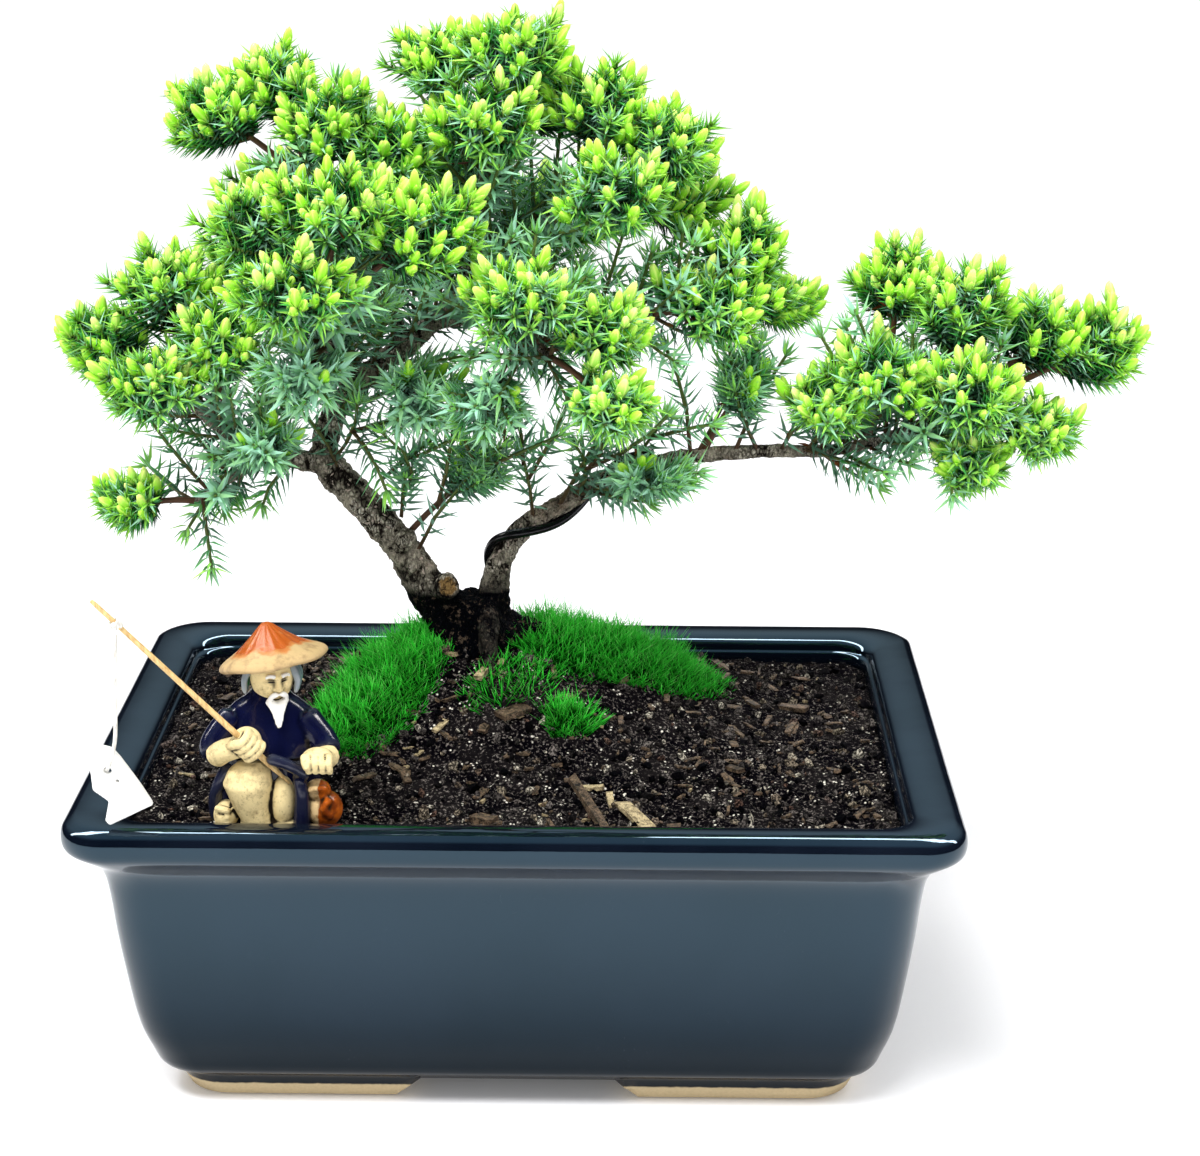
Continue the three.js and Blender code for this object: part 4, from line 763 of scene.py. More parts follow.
class Nodes:
    """The nodes of a material or a world"""

    def __init__(self, owner):
        owner.use_nodes = True
        self.tree = owner.node_tree
        self.tree.nodes.clear()

    def add(self, kind, settings=None, sockets=None, output=0):
        """A node with its settings, the values or links of its sockets, and the output that is used"""
        node = self.tree.nodes.new(kind)
        for name, value in (settings or {}).items():
            setattr(node, name, value)
        for name, value in (sockets or {}).items():
            if isinstance(value, Value):
                self.tree.links.new(value.socket, node.inputs[name])
            else:
                node.inputs[name].default_value = value
        return Value(self, node.outputs[output]) if node.outputs else None

    def place(self):
        """The place on the object, in metres"""
        return self.add("ShaderNodeTexCoord", output="Object")

    def stretched(self, high):
        """The place, counted in other steps upwards"""
        sockets = {0: self.place(), 1: (1, 1, high)}
        return self.add("ShaderNodeVectorMath", {"operation": "MULTIPLY"}, sockets)

    def part(self, vector, axis):
        """One of the three numbers of a vector"""
        return self.add("ShaderNodeSeparateXYZ", None, {0: vector}, axis)

    def noise(self, scale, detail=3.0, roughness=0.55, vector=None):
        """Cloudy values from 0 to 1"""
        sockets = {"Vector": vector or self.place(), "Scale": scale, "Detail": detail, "Roughness": roughness}
        return self.add("ShaderNodeTexNoise", None, sockets)

    def cells(self, scale, feature="F1", output=0, vector=None):
        """Cells round scattered points"""
        sockets = {"Vector": vector or self.place(), "Scale": scale}
        return self.add("ShaderNodeTexVoronoi", {"feature": feature}, sockets, output)

    def marked(self, name):
        """A value that was set for each point of the mesh"""
        return self.add("ShaderNodeAttribute", {"attribute_name": name}, None, "Fac")

    def mix(self, share, first, second):
        """Two colours mixed"""
        sockets = {"Factor": share}
        for place, colour in ((6, first), (7, second)):
            sockets[place] = colour if isinstance(colour, Value) else (*colour[:3], 1)
        return self.add("ShaderNodeMix", {"data_type": "RGBA"}, sockets, 2)

    def bump(self, height, distance, strength=1.0):
        """A surface that rises by a height from 0 to 1, times a distance in metres"""
        sockets = {"Height": height, "Distance": distance, "Strength": strength}
        return self.add("ShaderNodeBump", None, sockets)

    def shader(self, **sockets):
        """A shader, with its sockets named in plain words"""
        named = {name.replace("_", " ").title(): value for name, value in sockets.items()}
        named = {name.replace("Ior", "IOR"): value for name, value in named.items()}
        if isinstance(named.get("Base Color"), tuple):
            named["Base Color"] = (*named["Base Color"][:3], 1)
        return self.add("ShaderNodeBsdfPrincipled", None, named)

    def surface(self, **sockets):
        """The material is one shader"""
        self.add("ShaderNodeOutputMaterial", None, {"Surface": self.shader(**sockets)})

    def surfaces(self, share, first, second):
        """The material is two shaders, each given by its sockets, and mixed by a share"""
        sockets = {0: share, 1: self.shader(**first), 2: self.shader(**second)}
        mixed = self.add("ShaderNodeMixShader", None, sockets)
        self.add("ShaderNodeOutputMaterial", None, {"Surface": mixed})


def material(name, finish, *values):
    """A material whose nodes a function makes, from values that it is given"""
    made = bpy.data.materials.new(name)
    finish(Nodes(made), *values)
    return made


# Settings

def colour_property(name, description, default):
    """A colour that a user can change"""
    return bpy.props.FloatVectorProperty(
        name=name, description=description, default=default, subtype="COLOR", size=3, min=0, max=1)


def length_property(name, description, default):
    """A length that a user can change, its default given in millimetres"""
    return bpy.props.FloatProperty(
        name=name, description=description, default=default * MM, unit="LENGTH", min=0)


def share_property(name, description, default):
    """A share from 0 to 1 that a user can change"""
    return bpy.props.FloatProperty(
        name=name, description=description, default=default, subtype="FACTOR", min=0, max=1)


def count_property(name, description, default):
    """A number of pieces that a user can change"""
    return bpy.props.IntProperty(name=name, description=description, default=default, min=0)


def light_property(name, description, default, subtype):
    """The strength or power of a light that a user can change"""
    return bpy.props.FloatProperty(
        name=name, description=description, default=default, subtype=subtype, min=0)


class PotSettings(bpy.types.PropertyGroup):
    """Colours and gloss of the pot"""

    glaze: colour_property("Glaze", "Colour of the glaze", srgb(5, 10, 20))
    sole: colour_property("Sole", "Colour of the unglazed clay under the feet", srgb(200, 180, 142))
    roughness: share_property("Roughness", "How dull the glaze is", 0.03)


class SoilSettings(bpy.types.PropertyGroup):
    """Soil, its crumbs and its chips"""

    dark: colour_property("Dark soil", "Colour of the damp soil", srgb(3, 2, 5))
    crumb: colour_property("Crumb", "Colour of the drier crumbs", srgb(126, 118, 113))
    chip: colour_property("Chip", "Colour of the pale wood chips", srgb(198, 180, 140))
    crumbs: count_property("Crumbs", "How many crumbs lie on the soil", 3400)
    chips: count_property("Chips", "How many splinters lie on the soil", 420)
    relief: length_property("Relief", "How far the soil rises and falls between crumbs", 1.7)


class WoodSettings(bpy.types.PropertyGroup):
    """Bark of the tree"""

    bark: colour_property("Bark", "Main colour of the bark", srgb(176, 168, 150))
    # Pale flakes sit on the raised bark and the dark colour also fills its hollows, partly as painted light
    # and shade
    pale: colour_property("Pale bark", "Colour of the weathered flakes", srgb(226, 220, 206))
    dark: colour_property("Dark bark", "Colour of the cracks", srgb(24, 19, 16))
    relief: length_property("Relief", "How far the bark rises and falls", 0.9)
    fineness: length_property("Fineness", "Size of the smallest form in the wood", 0.64)


class FoliageSettings(bpy.types.PropertyGroup):
    """Needles and buds"""

    young: colour_property("Young needles", "Colour of the needles next to the buds", srgb(168, 240, 66))
    middle: colour_property("Needles", "Colour of the grown needles", srgb(62, 176, 56))
    # The old needles' colour also stands for the painted shade deep in the tree
    old_and_shaded: colour_property("Old needles", "Colour of the needles deep in the tree", srgb(7, 66, 30))
    bloom: colour_property("Bloom", "Colour of the waxy band on a needle", srgb(164, 218, 190))
    dead: colour_property("Dead needles", "Colour of a dry needle", srgb(118, 62, 36))
    bud: colour_property("Buds", "Colour of a bud", srgb(148, 228, 44))
    bud_tip: colour_property("Bud tips", "Colour of the tips and edges of a bud", srgb(236, 252, 136))
    needle: length_property("Needle", "Mean length of a needle", 5)
    needle_width: length_property("Needle width", "Width of a needle at its widest", 1)
    bud_length: length_property("Bud", "Length of a bud", 6.5)
    bud_width: length_property("Bud width", "Width of a bud", 2.6)
    budding: share_property("Budding", "Share of the upper shoots that end in buds", 0.72)


class MossSettings(bpy.types.PropertyGroup):
    """Moss on the soil"""

    tip: colour_property("Tips", "Colour of the tips of the moss", srgb(62, 238, 62))
    # Deep in the moss this colour is partly painted shade
    root: colour_property("Roots", "Colour deep in the moss", srgb(0, 34, 2))
    strand: length_property("Strand", "Length of a strand", 6.6)
    density: count_property("Strands", "How many strands each cushion has for every square centimetre", 520)


class FigureSettings(bpy.types.PropertyGroup):
    """Clay fisherman with his rod, line and fish"""

    clay: colour_property("Clay", "Colour of the bare clay", srgb(248, 226, 168))
    robe: colour_property("Robe", "Colour of the robe's glaze", srgb(8, 12, 46))
    hat: colour_property("Hat", "Colour of the hat's glaze", srgb(166, 80, 28))
    hair: colour_property("Hair", "Colour of the hair's glaze", srgb(122, 140, 156))
    beard: colour_property("Beard", "Colour of the beard's glaze", srgb(236, 234, 228))
    bamboo: colour_property("Rod", "Colour of the rod", srgb(232, 200, 138))
    thread: colour_property("Thread", "Colour of the line", srgb(240, 238, 232))
    fish: colour_property("Fish", "Colour of the fish", srgb(248, 247, 244))


class StageSettings(bpy.types.PropertyGroup):
    """Floor and light"""

    floor: colour_property("Floor", "Colour of the floor", srgb(250, 250, 252))
    sky: light_property("Sky", "Strength of the light from all round", 0.8, "NONE")
    key: light_property("Key light", "Power of the main light", 15, "POWER")
    fill: light_property("Fill light", "Power of the light from the other side", 2.5, "POWER")


# Finishes

def glaze_finish(nodes, settings):
    """Deep glossy glaze over clay that shows under the feet, with painted shade low on the wall: a darker
    colour and a dimmed reflection
    """
    place = nodes.place()
    high = nodes.part(place, 2)
    wander = nodes.noise(260, 3) * 0.0009
    sole = 1 - (high + wander).between(0.0042, 0.0048)
    clouds = nodes.noise(26, 4).between(0.3, 0.75)
    # Painted shade: the glaze colour turns darker towards the bottom of the wall
    painted_shade_low = 1 - high.between(0.008, 0.03)
    thin = nodes.mix(clouds, settings.glaze, [value * 1.7 + 0.002 for value in settings.glaze])
    glaze = nodes.mix(painted_shade_low * 0.8, thin, dimmed(settings.glaze, 0.3))
    dust = nodes.cells(900).between(0.10, 0.04) * nodes.noise(60, 2).between(0.56, 0.7)
    glazed = nodes.mix(dust * 0.35, glaze, srgb(120, 126, 134))
    grain = nodes.noise(1500, 4)
    clay = nodes.mix(grain, dimmed(settings.sole, 0.72), settings.sole)
    ripple = nodes.noise(38, 2) + nodes.noise(420, 2) * 0.05
    rough = sole * 0.8 + dust * 0.25 + settings.roughness + nodes.noise(80, 3) * 0.03
    common = {"base_color": nodes.mix(sole, glazed, clay), "roughness": rough.clamped(), "ior": 1.64,
              "normal": nodes.bump(ripple + grain * sole * 0.2, 0.0009, 0.3)}
    # Painted shade: lower down, the reflection is dimmed through a second shader with a dark specular tint
    unshaded_reflection = high.between(-0.006, UNSHADED_REFLECTION_FROM * MM) * 0.92 + 0.08
    low = {**common, "specular_tint": (0.02, 0.05, 0.09, 1.0), "specular_ior_level": 0.12}
    nodes.surfaces(unshaded_reflection, low, {**common, "specular_tint": (0.48, 0.78, 1.0, 1.0)})


def soil_finish(nodes, settings):
    """Damp crumbly soil, with pale specks painted on as glints"""
    fine = nodes.noise(1300, 5, 0.7)
    patches = nodes.noise(70, 4).between(0.42, 0.7)
    crumbs = nodes.cells(620)
    mixed = nodes.mix(fine.between(0.54, 0.66) * 0.85 + patches * 0.04, settings.dark, settings.crumb)
    # Painted glints: pale specks scattered over the damp soil
    painted_glints = nodes.cells(860).between(0.32, 0.18) * nodes.noise(300, 3).between(0.54, 0.62)
    nodes.surface(
        base_color=nodes.mix(painted_glints, mixed, srgb(222, 216, 204)), roughness=0.9,
        specular_ior_level=0.02, normal=nodes.bump(crumbs + fine * 0.6, 0.0007, 0.9))


def crumb_finish(nodes, settings):
    """Loose crumbs, from black through brown to a few pale ones"""
    tone = nodes.marked("tone")
    fine = nodes.noise(1800, 4, 0.65)
    dull = nodes.mix((tone.between(0.3, 0.75) * 0.8 + fine.between(0.5, 0.7) * 0.3).clamped(), settings.dark,
                     settings.crumb)
    red = nodes.mix(tone.between(0.77, 0.79) * 0.7, dull, srgb(96, 62, 46))
    pale = nodes.mix(tone.between(0.8, 0.88), red, srgb(146, 134, 116))
    bright = nodes.mix(tone.between(0.93, 0.96), pale, srgb(214, 206, 188))
    nodes.surface(
        base_color=nodes.mix(fine.between(0.4, 0.54) * 0.92, bright, (0.001, 0.001, 0.0015)),
        roughness=0.6 + fine * 0.3, specular_ior_level=0.04, normal=nodes.bump(fine, 0.0004, 0.9))


def chip_finish(nodes, settings):
    """Splinters and bark chips with a grain"""
    tone = nodes.marked("tone")
    along = nodes.marked("along")
    grain = nodes.noise(2400, 4, 0.7) * 0.6 + nodes.noise(700, 3) * 0.4
    brown = nodes.mix(grain.between(0.4, 0.62), srgb(12, 9, 8), srgb(116, 96, 76))
    pale = nodes.mix(grain.between(0.38, 0.62), srgb(92, 78, 56), settings.chip)
    chosen = nodes.mix(tone.between(0.86, 0.9), brown, pale)
    ends = along.apart(0.5).between(0.4, 0.5)
    nodes.surface(
        base_color=nodes.mix(ends * 0.4, chosen, srgb(60, 44, 34)), roughness=0.75,
        normal=nodes.bump(grain, 0.0003, 0.8))


def bark_finish(nodes, settings):
    """Flaking bark: grey-brown plates, pale flakes and dark cracks, with painted shade in its hollows and
    painted light on its raised parts
    """
    long_grain = nodes.stretched(0.45)
    plates = nodes.cells(1150, "DISTANCE_TO_EDGE", 0, long_grain)
    fine = nodes.noise(1400, 5, 0.7)
    broad = nodes.noise(150, 4)
    cracks = (1 - plates.between(0.02, 0.2)) * broad.between(0.35, 0.6)
    low = nodes.marked("low")
    raised = nodes.marked("raised")
    # Painted light and shade: the bark is darker where it sinks and lighter where it is raised
    body = nodes.mix((fine.between(0.35, 0.6) * 0.6 + raised.between(-0.15, 0.35) * 0.6).clamped(),
                     dimmed(settings.bark, 0.3), settings.bark)
    red = nodes.mix(nodes.noise(90, 3).between(0.55, 0.7) * 0.35, body, srgb(124, 84, 60))
    # Pale weathered flakes, laid only on the raised bark, partly as painted light
    flakes = nodes.mix(broad.between(0.42, 0.6) * fine.between(0.45, 0.6) * raised.between(-0.2, 0.2), red,
                       settings.pale)
    crumbs = nodes.noise(520, 4, 0.7).between(0.54, 0.6)
    # Painted shade in the bark's hollows, added to its real dark cracks and crumbs
    hollow = 1 - raised.between(-0.4, -0.05)
    cracked_and_shaded = nodes.mix((cracks * 0.7 + crumbs * 0.6 + hollow * 0.8).clamped(), flakes, settings.dark)
    clinging = nodes.mix(nodes.noise(700, 4, 0.7).between(0.56, 0.66), srgb(3, 4, 8), srgb(76, 64, 54))
    soiled = nodes.mix((low * nodes.noise(300, 4).between(0.15, 0.36) * 1.5).clamped(), cracked_and_shaded, clinging)
    turns = nodes.marked("ring") * 7.5
    rings = turns.math("SINE", turns) * 0.5 + 0.5
    wood = nodes.mix(rings * 0.4 + fine * 0.5, srgb(144, 116, 72), srgb(70, 50, 32))
    stained = nodes.mix(crumbs * 0.8, wood, settings.dark)
    colour = nodes.mix(nodes.marked("sawn"), soiled, stained)
    nodes.surface(
        base_color=colour, roughness=0.85, specular_ior_level=0.06,
        normal=nodes.bump(fine * 0.6 + plates.between(0.0, 0.25), 0.0005, 0.9))


def needle_finish(nodes, settings):
    """Needles, bright near the buds and dark inside, partly from painted shade, with a waxy band on the upper
    side that carries painted glints
    """
    age = nodes.marked("age")
    upper = nodes.marked("upper")
    along = nodes.marked("along")
    tone = nodes.marked("tone")
    shade = nodes.marked("shade")
    # From the tip of each shoot to its root the needles darken: partly the real darker colour of older
    # needles, partly painted shade deep in the sprays
    grown = nodes.mix(age.between(0.0, 0.36), settings.young, settings.middle)
    aged_and_shaded = nodes.mix(age.between(0.36, 0.8), grown, settings.old_and_shaded)
    varied = nodes.mix(tone * 0.6, aged_and_shaded, dimmed(settings.old_and_shaded, 0.3))
    # Painted shade at the root of each needle, where the needles crowd together
    shaded_roots = nodes.mix((1 - along.between(0.0, 0.45)) * (1 - shade * 0.6), varied,
                       dimmed(settings.old_and_shaded, 0.25))
    # The pale band on the upper side is the real waxy bloom, with painted glints laid over it
    glint = tone.between(0.62, 0.95) * 0.75 + 0.12 + shade * 0.4
    band = upper.between(0.8, 1.0) * glint * along.between(0.02, 0.3)
    wax_and_glint = (band * (1 - age.between(0.3, 1.0) * 0.35) + shade * 0.16).clamped()
    waxy = nodes.mix(wax_and_glint, shaded_roots, settings.bloom)
    tips = nodes.mix(along.between(0.8, 1.0) * (1 - age.between(0.1, 0.5)) * 0.35, waxy, srgb(206, 226, 132))
    dry = nodes.mix(nodes.marked("dry"), tips, settings.dead)
    nodes.surface(
        base_color=dry, roughness=0.5, specular_ior_level=0.07, subsurface_weight=0.05,
        subsurface_radius=(0.001, 0.002, 0.0005), subsurface_scale=1.0)


def stem_finish(nodes):
    """Thin leafy stems, brown at the root and green at the end"""
    along = nodes.marked("along")
    green = nodes.mix(nodes.noise(900, 3), srgb(58, 86, 32), srgb(112, 132, 60))
    brown = nodes.mix(nodes.noise(1200, 4), srgb(58, 36, 24), srgb(112, 74, 50))
    nodes.surface(base_color=nodes.mix(along.between(0.3, 0.8), brown, green), roughness=0.7,
                  normal=nodes.bump(nodes.noise(2200, 3), 0.0002, 0.7))


def bud_finish(nodes, settings):
    """Fresh buds, darker at the root partly from painted shade, pale at the tips and edges, and with painted
    light on the lit ones
    """
    along = nodes.marked("along")
    edge = nodes.marked("edge")
    tone = nodes.marked("tone")
    lit = nodes.marked("lit")
    # Darker towards the root: partly the greener base of the bud, partly painted shade between its bracts
    body = nodes.mix(along.between(0.05, 0.55), dimmed(settings.middle, 0.3), settings.bud)
    # Painted light: the pale tips and edges grow brighter on buds that face the light
    glow = (along.between(0.5, 1.0) * 0.6 + edge.between(0.55, 1.0) * 0.5) * (0.4 + lit * 0.6)
    tipped = nodes.mix((glow * (0.6 + tone * 0.5)).clamped(), body, settings.bud_tip)
    # Painted highlight: a pale yellow sheen on the lit buds, strongest towards the tip
    lit_highlight = nodes.mix((lit.between(0.55, 1.0) * tone.between(0.3, 1.0) * 0.45 * along).clamped(), tipped,
                     srgb(246, 252, 176))
    nodes.surface(
        base_color=lit_highlight, roughness=0.42, specular_ior_level=0.15, subsurface_weight=0.15,
        subsurface_radius=(0.002, 0.003, 0.0008), subsurface_scale=1.0)


def moss_finish(nodes, settings):
    """Moss strands, dark at the root, partly from painted shade deep in the cushion"""
    along = nodes.marked("along")
    tone = nodes.marked("tone")
    # Painted shade deep in the cushion darkens each strand towards its root
    body = nodes.mix(along.between(0.08, 0.75) * (0.55 + tone * 0.45), settings.root, settings.tip)
    bright = nodes.mix(along.between(0.5, 1.0) * tone.between(0.42, 0.9) * 0.85, body, srgb(166, 255, 140))
    nodes.surface(base_color=bright, roughness=0.7, specular_ior_level=0.05, subsurface_weight=0.1,
                  subsurface_radius=(0.001, 0.002, 0.0005), subsurface_scale=1.0)


def moss_bed_finish(nodes, settings):
    """The bed that the moss strands grow from, dark with painted shade"""
    fine = nodes.noise(1500, 4, 0.7)
    nodes.surface(base_color=nodes.mix(fine.between(0.5, 0.7), settings.root, dimmed(settings.tip, 0.3)),
                  roughness=0.9, specular_ior_level=0.05, normal=nodes.bump(fine, 0.0008, 1.0))


def wire_finish(nodes):
    """Black coated wire with light scuffs"""
    scuffs = nodes.noise(900, 4, 0.7, nodes.stretched(3)).between(0.6, 0.75)
    nodes.surface(base_color=nodes.mix(scuffs * 0.25, srgb(14, 14, 18), srgb(74, 74, 80)),
                  metallic=0.35, roughness=0.24 + scuffs * 0.25, specular_ior_level=0.6)


def clay_finish(nodes, settings):
    """Bare clay with a dark wash in patches, and painted shade in its hollows"""
    fine = nodes.noise(1600, 4, 0.65)
    wash = nodes.noise(260, 4, 0.7).between(0.48, 0.7) * 0.55
    hollow = nodes.marked("hollow")
    speckle = nodes.noise(1500, 3).between(0.6, 0.68) * 0.35
    body = nodes.mix(fine, dimmed(settings.clay, 0.8), settings.clay)
    washed = nodes.mix((wash + speckle).clamped(), body, srgb(132, 108, 70))
    # Painted shade: the clay turns dark in its hollows
    shaded_in_hollows = nodes.mix((hollow * 1.7).clamped(), washed, srgb(34, 26, 18))
    nodes.surface(base_color=shaded_in_hollows, roughness=0.55, specular_ior_level=0.25,
                  normal=nodes.bump(fine, 0.00025, 0.7))


def poured_finish(nodes, colour_of, pale, pooling=0.5, roughness=0.12):
    """Glaze that is darker where it pools, with painted shade in its hollows, and paler where it runs thin"""
    broad = nodes.noise(190, 4)
    thin = nodes.add("ShaderNodeNewGeometry", output="Pointiness").between(0.5, 0.58)
    body = nodes.mix(broad * pooling, colour_of, dimmed(colour_of, 0.45))
    worn = nodes.mix((thin * 0.5 + broad.between(0.62, 0.8) * 0.2).clamped(), body, pale)
    # Painted shade: much darker in the hollows, where the glaze also pools
    nodes.surface(
        base_color=nodes.mix(nodes.marked("hollow"), worn, dimmed(colour_of, 0.12)),
        roughness=roughness + nodes.noise(700, 3) * 0.1, specular_ior_level=0.4,
        normal=nodes.bump(nodes.noise(420, 3), 0.0002, 0.5))


def hat_finish(nodes, settings):
    """Orange glaze that runs in streaks down the hat, over bare clay at the rim and underneath"""
    rim = nodes.marked("rim")
    clouds = nodes.noise(240, 4)
    orange = nodes.mix(clouds.between(0.4, 0.75) * 0.6, settings.hat, srgb(178, 84, 30))
    thin = (rim.between(0.0, 0.45) * 0.55 + nodes.noise(420, 3).between(0.55, 0.72) * 0.3).clamped()
    pale = nodes.mix(thin, orange, srgb(192, 140, 80))
    bare = (rim + (nodes.noise(330, 4) - 0.5) * 1.4).between(0.3, 0.7)
    stains = nodes.noise(380, 5, 0.65).between(0.45, 0.75) * 0.6
    clay = nodes.mix(stains, srgb(190, 162, 116), srgb(112, 84, 52))
    nodes.surface(
        base_color=nodes.mix(bare, pale, clay), roughness=0.22 + rim * 0.35,
        specular_ior_level=0.4, normal=nodes.bump(nodes.noise(1100, 4), 0.0002, 0.6))


def creel_finish(nodes):
    """Brown glaze that was poured over one side of the bare clay creel"""
    bare = (nodes.marked("rim") + nodes.noise(300, 3) - 0.5).between(0.4, 0.6)
    broad = nodes.noise(260, 4)
    glaze = nodes.mix(broad.between(0.4, 0.65), srgb(186, 92, 24), srgb(112, 48, 12))
    clay = nodes.mix(nodes.noise(700, 4).between(0.45, 0.7), srgb(214, 184, 134), srgb(150, 116, 72))
    chosen = nodes.mix(bare, glaze, clay)
    # Painted shade: dark brown in the creel's hollows
    nodes.surface(
        base_color=nodes.mix(nodes.marked("hollow"), chosen, srgb(48, 30, 16)), roughness=0.14 + bare * 0.4,
        specular_ior_level=0.4, normal=nodes.bump(nodes.noise(900, 4), 0.0002, 0.6))


def fibre_finish(nodes, colour_of, dark, scale, roughness):
    """Fibres that run along a slim piece"""
    fibres = nodes.noise(scale, 4, 0.7, nodes.stretched(0.15))
    nodes.surface(base_color=nodes.mix(fibres.between(0.35, 0.75), colour_of, dark), roughness=roughness,
                  normal=nodes.bump(fibres, 0.0001, 0.6))


def floor_finish(nodes, settings):
    """Smooth white floor"""
    faint = nodes.noise(6, 3)
    nodes.surface(base_color=nodes.mix(faint * 0.04, settings.floor, dimmed(settings.floor, 0.9)),
                  roughness=0.7, specular_ior_level=0.2, emission_color=(1.0, 1.0, 1.0, 1.0),
                  emission_strength=FLOOR_GLOW)


# Pot

def oblong(inset, height, corner):
    """A ring of points round the pot, at a distance in from the lip and a height"""
    half_width = POT_WIDTH / 2 - inset - corner
    half_depth = POT_DEPTH / 2 - inset - corner
    front = np.array(FRONT_STATIONS) * min(1, (half_width - 1) / max(FRONT_STATIONS))
    side = np.array(SIDE_STATIONS) * min(1, (half_depth - 1) / max(SIDE_STATIONS))
    edge_x = half_width + corner
    edge_y = half_depth + corner
    runs = [
        [(x, edge_y) for x in sorted(front, reverse=True)],
        [(-edge_x, y) for y in sorted(side, reverse=True)],
        [(x, -edge_y) for x in sorted(front)],
        [(edge_x, y) for y in sorted(side)],
    ]
    ring = []
    for quarter, run in enumerate(runs):
        middle_x = half_width * (1 if quarter in (0, 3) else -1)
        middle_y = half_depth * (1 if quarter < 2 else -1)
        for step in range(POINTS_IN_CORNER):
            angle = (quarter + step / (POINTS_IN_CORNER - 1)) * math.pi / 2
            ring.append((middle_x + math.cos(angle) * corner, middle_y + math.sin(angle) * corner))
        ring += run
    return np.column_stack([np.array(ring), np.full(len(ring), float(height))])


def finer_ring(ring, number):
    """A closed ring of points with another number of points at equal steps"""
    loop = np.vstack([ring, ring[:1]])
    reach = np.concatenate([[0], np.cumsum(np.linalg.norm(np.diff(loop, axis=0), axis=1))])
    steps = np.linspace(0, reach[-1], number, endpoint=False)
    return np.stack([np.interp(steps, reach, loop[:, axis]) for axis in range(3)], axis=1)


def finer_profile(levels):
    """A profile with more levels, rounded through the ones that are given"""
    knots = [(inset, 0, height) for inset, height in levels]
    smooth = curve_points(knots, np.linspace(0, 1, (len(levels) - 1) * RINGS_BETWEEN_LEVELS + 1))
    return [(point[0], point[2]) for point in smooth]


def gap_lift(x, y):
    """How high the underside of the foot ring is lifted where a gap between two feet crosses it"""
    across_front = np.clip((FRONT_GAP / 2 - np.abs(x)) / GAP_SLOPE, 0, 1)
    across_side = np.clip((SIDE_GAP / 2 - np.abs(y)) / GAP_SLOPE, 0, 1)
    at_front = np.abs(y) > POT_DEPTH / 2 - FOOT_INSET - FOOT_WALL - 2
    at_side = np.abs(x) > POT_WIDTH / 2 - FOOT_INSET - FOOT_WALL - 2
    rise = np.maximum(across_front * at_front, across_side * at_side)
    return FOOT_GAP_HEIGHT * rise * rise * (3 - 2 * rise)


class BONSAI_OT_pot(bpy.types.Operator):
    """Build the glazed pot with its feet, its rolled lip and its drain holes"""

    bl_idname = "bonsai.pot"
    bl_label = "Pot"

    def execute(self, context):
        rings = [oblong(SOLE_INSET + 1, FLOOR_UNDERSIDE, INNER_CORNER)]
        for inset, height in SOLE_LEVELS + FOOT_OUTSIDE:
            rings.append(oblong(inset, height, LIP_CORNER if inset <= FOOT_INSET + 0.8 else INNER_CORNER))
        for ring in rings:
            ring[:, 2] = np.maximum(ring[:, 2], gap_lift(ring[:, 0], ring[:, 1]))
        for inset, height in finer_profile(POT_OUTSIDE):
            rings.append(oblong(inset, height, LIP_CORNER))
        for inset, height in finer_profile(INNER_RIM + POT_INSIDE):
            rings.append(oblong(inset, height, INNER_CORNER))
        mesh = mesh_of("pot_body", *skin(rings))
        places = [side * DRAIN_SPACING / 2 for side in (-1, 1)]
        drains = [tube([(x, 0, height) for height in DRAIN_CUT], DRAIN_RADIUS, DRAIN_SIDES) for x in places]
        cutter = bpy.data.objects.new("in_work_drains", mesh_of("drains", *together(drains)))
        context.scene.collection.objects.link(cutter)
        mesh = with_modifier(mesh, "BOOLEAN", operation="DIFFERENCE", object=cutter, solver="EXACT")
        bpy.data.objects.remove(cutter)
        settings = context.scene.bonsai_pot
        piece("glazed_pot", mesh, material("glaze", glaze_finish, settings), replaces=["pot"])
        return {"FINISHED"}


# Soil

def inside_pot(x, y, margin):
    """Where points lie on the soil, at a distance in from the wall"""
    half_width = POT_WIDTH / 2 - SOIL_INSET - margin
    half_depth = POT_DEPTH / 2 - SOIL_INSET - margin
    past_x = np.maximum(np.abs(x) - half_width + INNER_CORNER, 0)
    past_y = np.maximum(np.abs(y) - half_depth + INNER_CORNER, 0)
    return np.hypot(past_x, past_y) < INNER_CORNER


def scattered(seed, number, margin):
    """Scattered places on the soil"""
    chance = np.random.default_rng(seed)
    found = np.empty((0, 2))
    corner = np.array((POT_WIDTH / 2, POT_DEPTH / 2))
    while len(found) < number:
        spots = chance.uniform(-corner, corner, (number * 2, 2))
        found = np.vstack([found, spots[inside_pot(spots[:, 0], spots[:, 1], margin)]])
    return found[:number]


def clods(x, y):
    """How far the crumbled surface of the soil stands out at a place, from -1 to 1"""
    return np.array([
        sum(rise * noise.noise(Vector((a * scale, b * scale, level))) for rise, scale, level in CLODS)
        for a, b in zip(x, y)])


def ground_height(x, y, relief):
    """The height of the soil with its crumbled surface"""
    return soil_height(x, y) + relief * clods(x, y)


def turned(shapes, ways, turns, sizes):
    """Copies of one shape, each laid along its own way, turned about it and scaled on three axes"""
    aside = unit(np.cross(ways, np.where(np.abs(ways[:, 2:3]) < 0.9, UP, (1.0, 0.0, 0.0))))
    across = np.cross(ways, aside)
    first = spokes(aside, across, turns)
    second = np.cross(ways, first)
    local = shapes * sizes[:, None, :]
    flat = local[..., 0:1] * first[:, None] + local[..., 1:2] * second[:, None]
    return flat + local[..., 2:3] * ways[:, None]


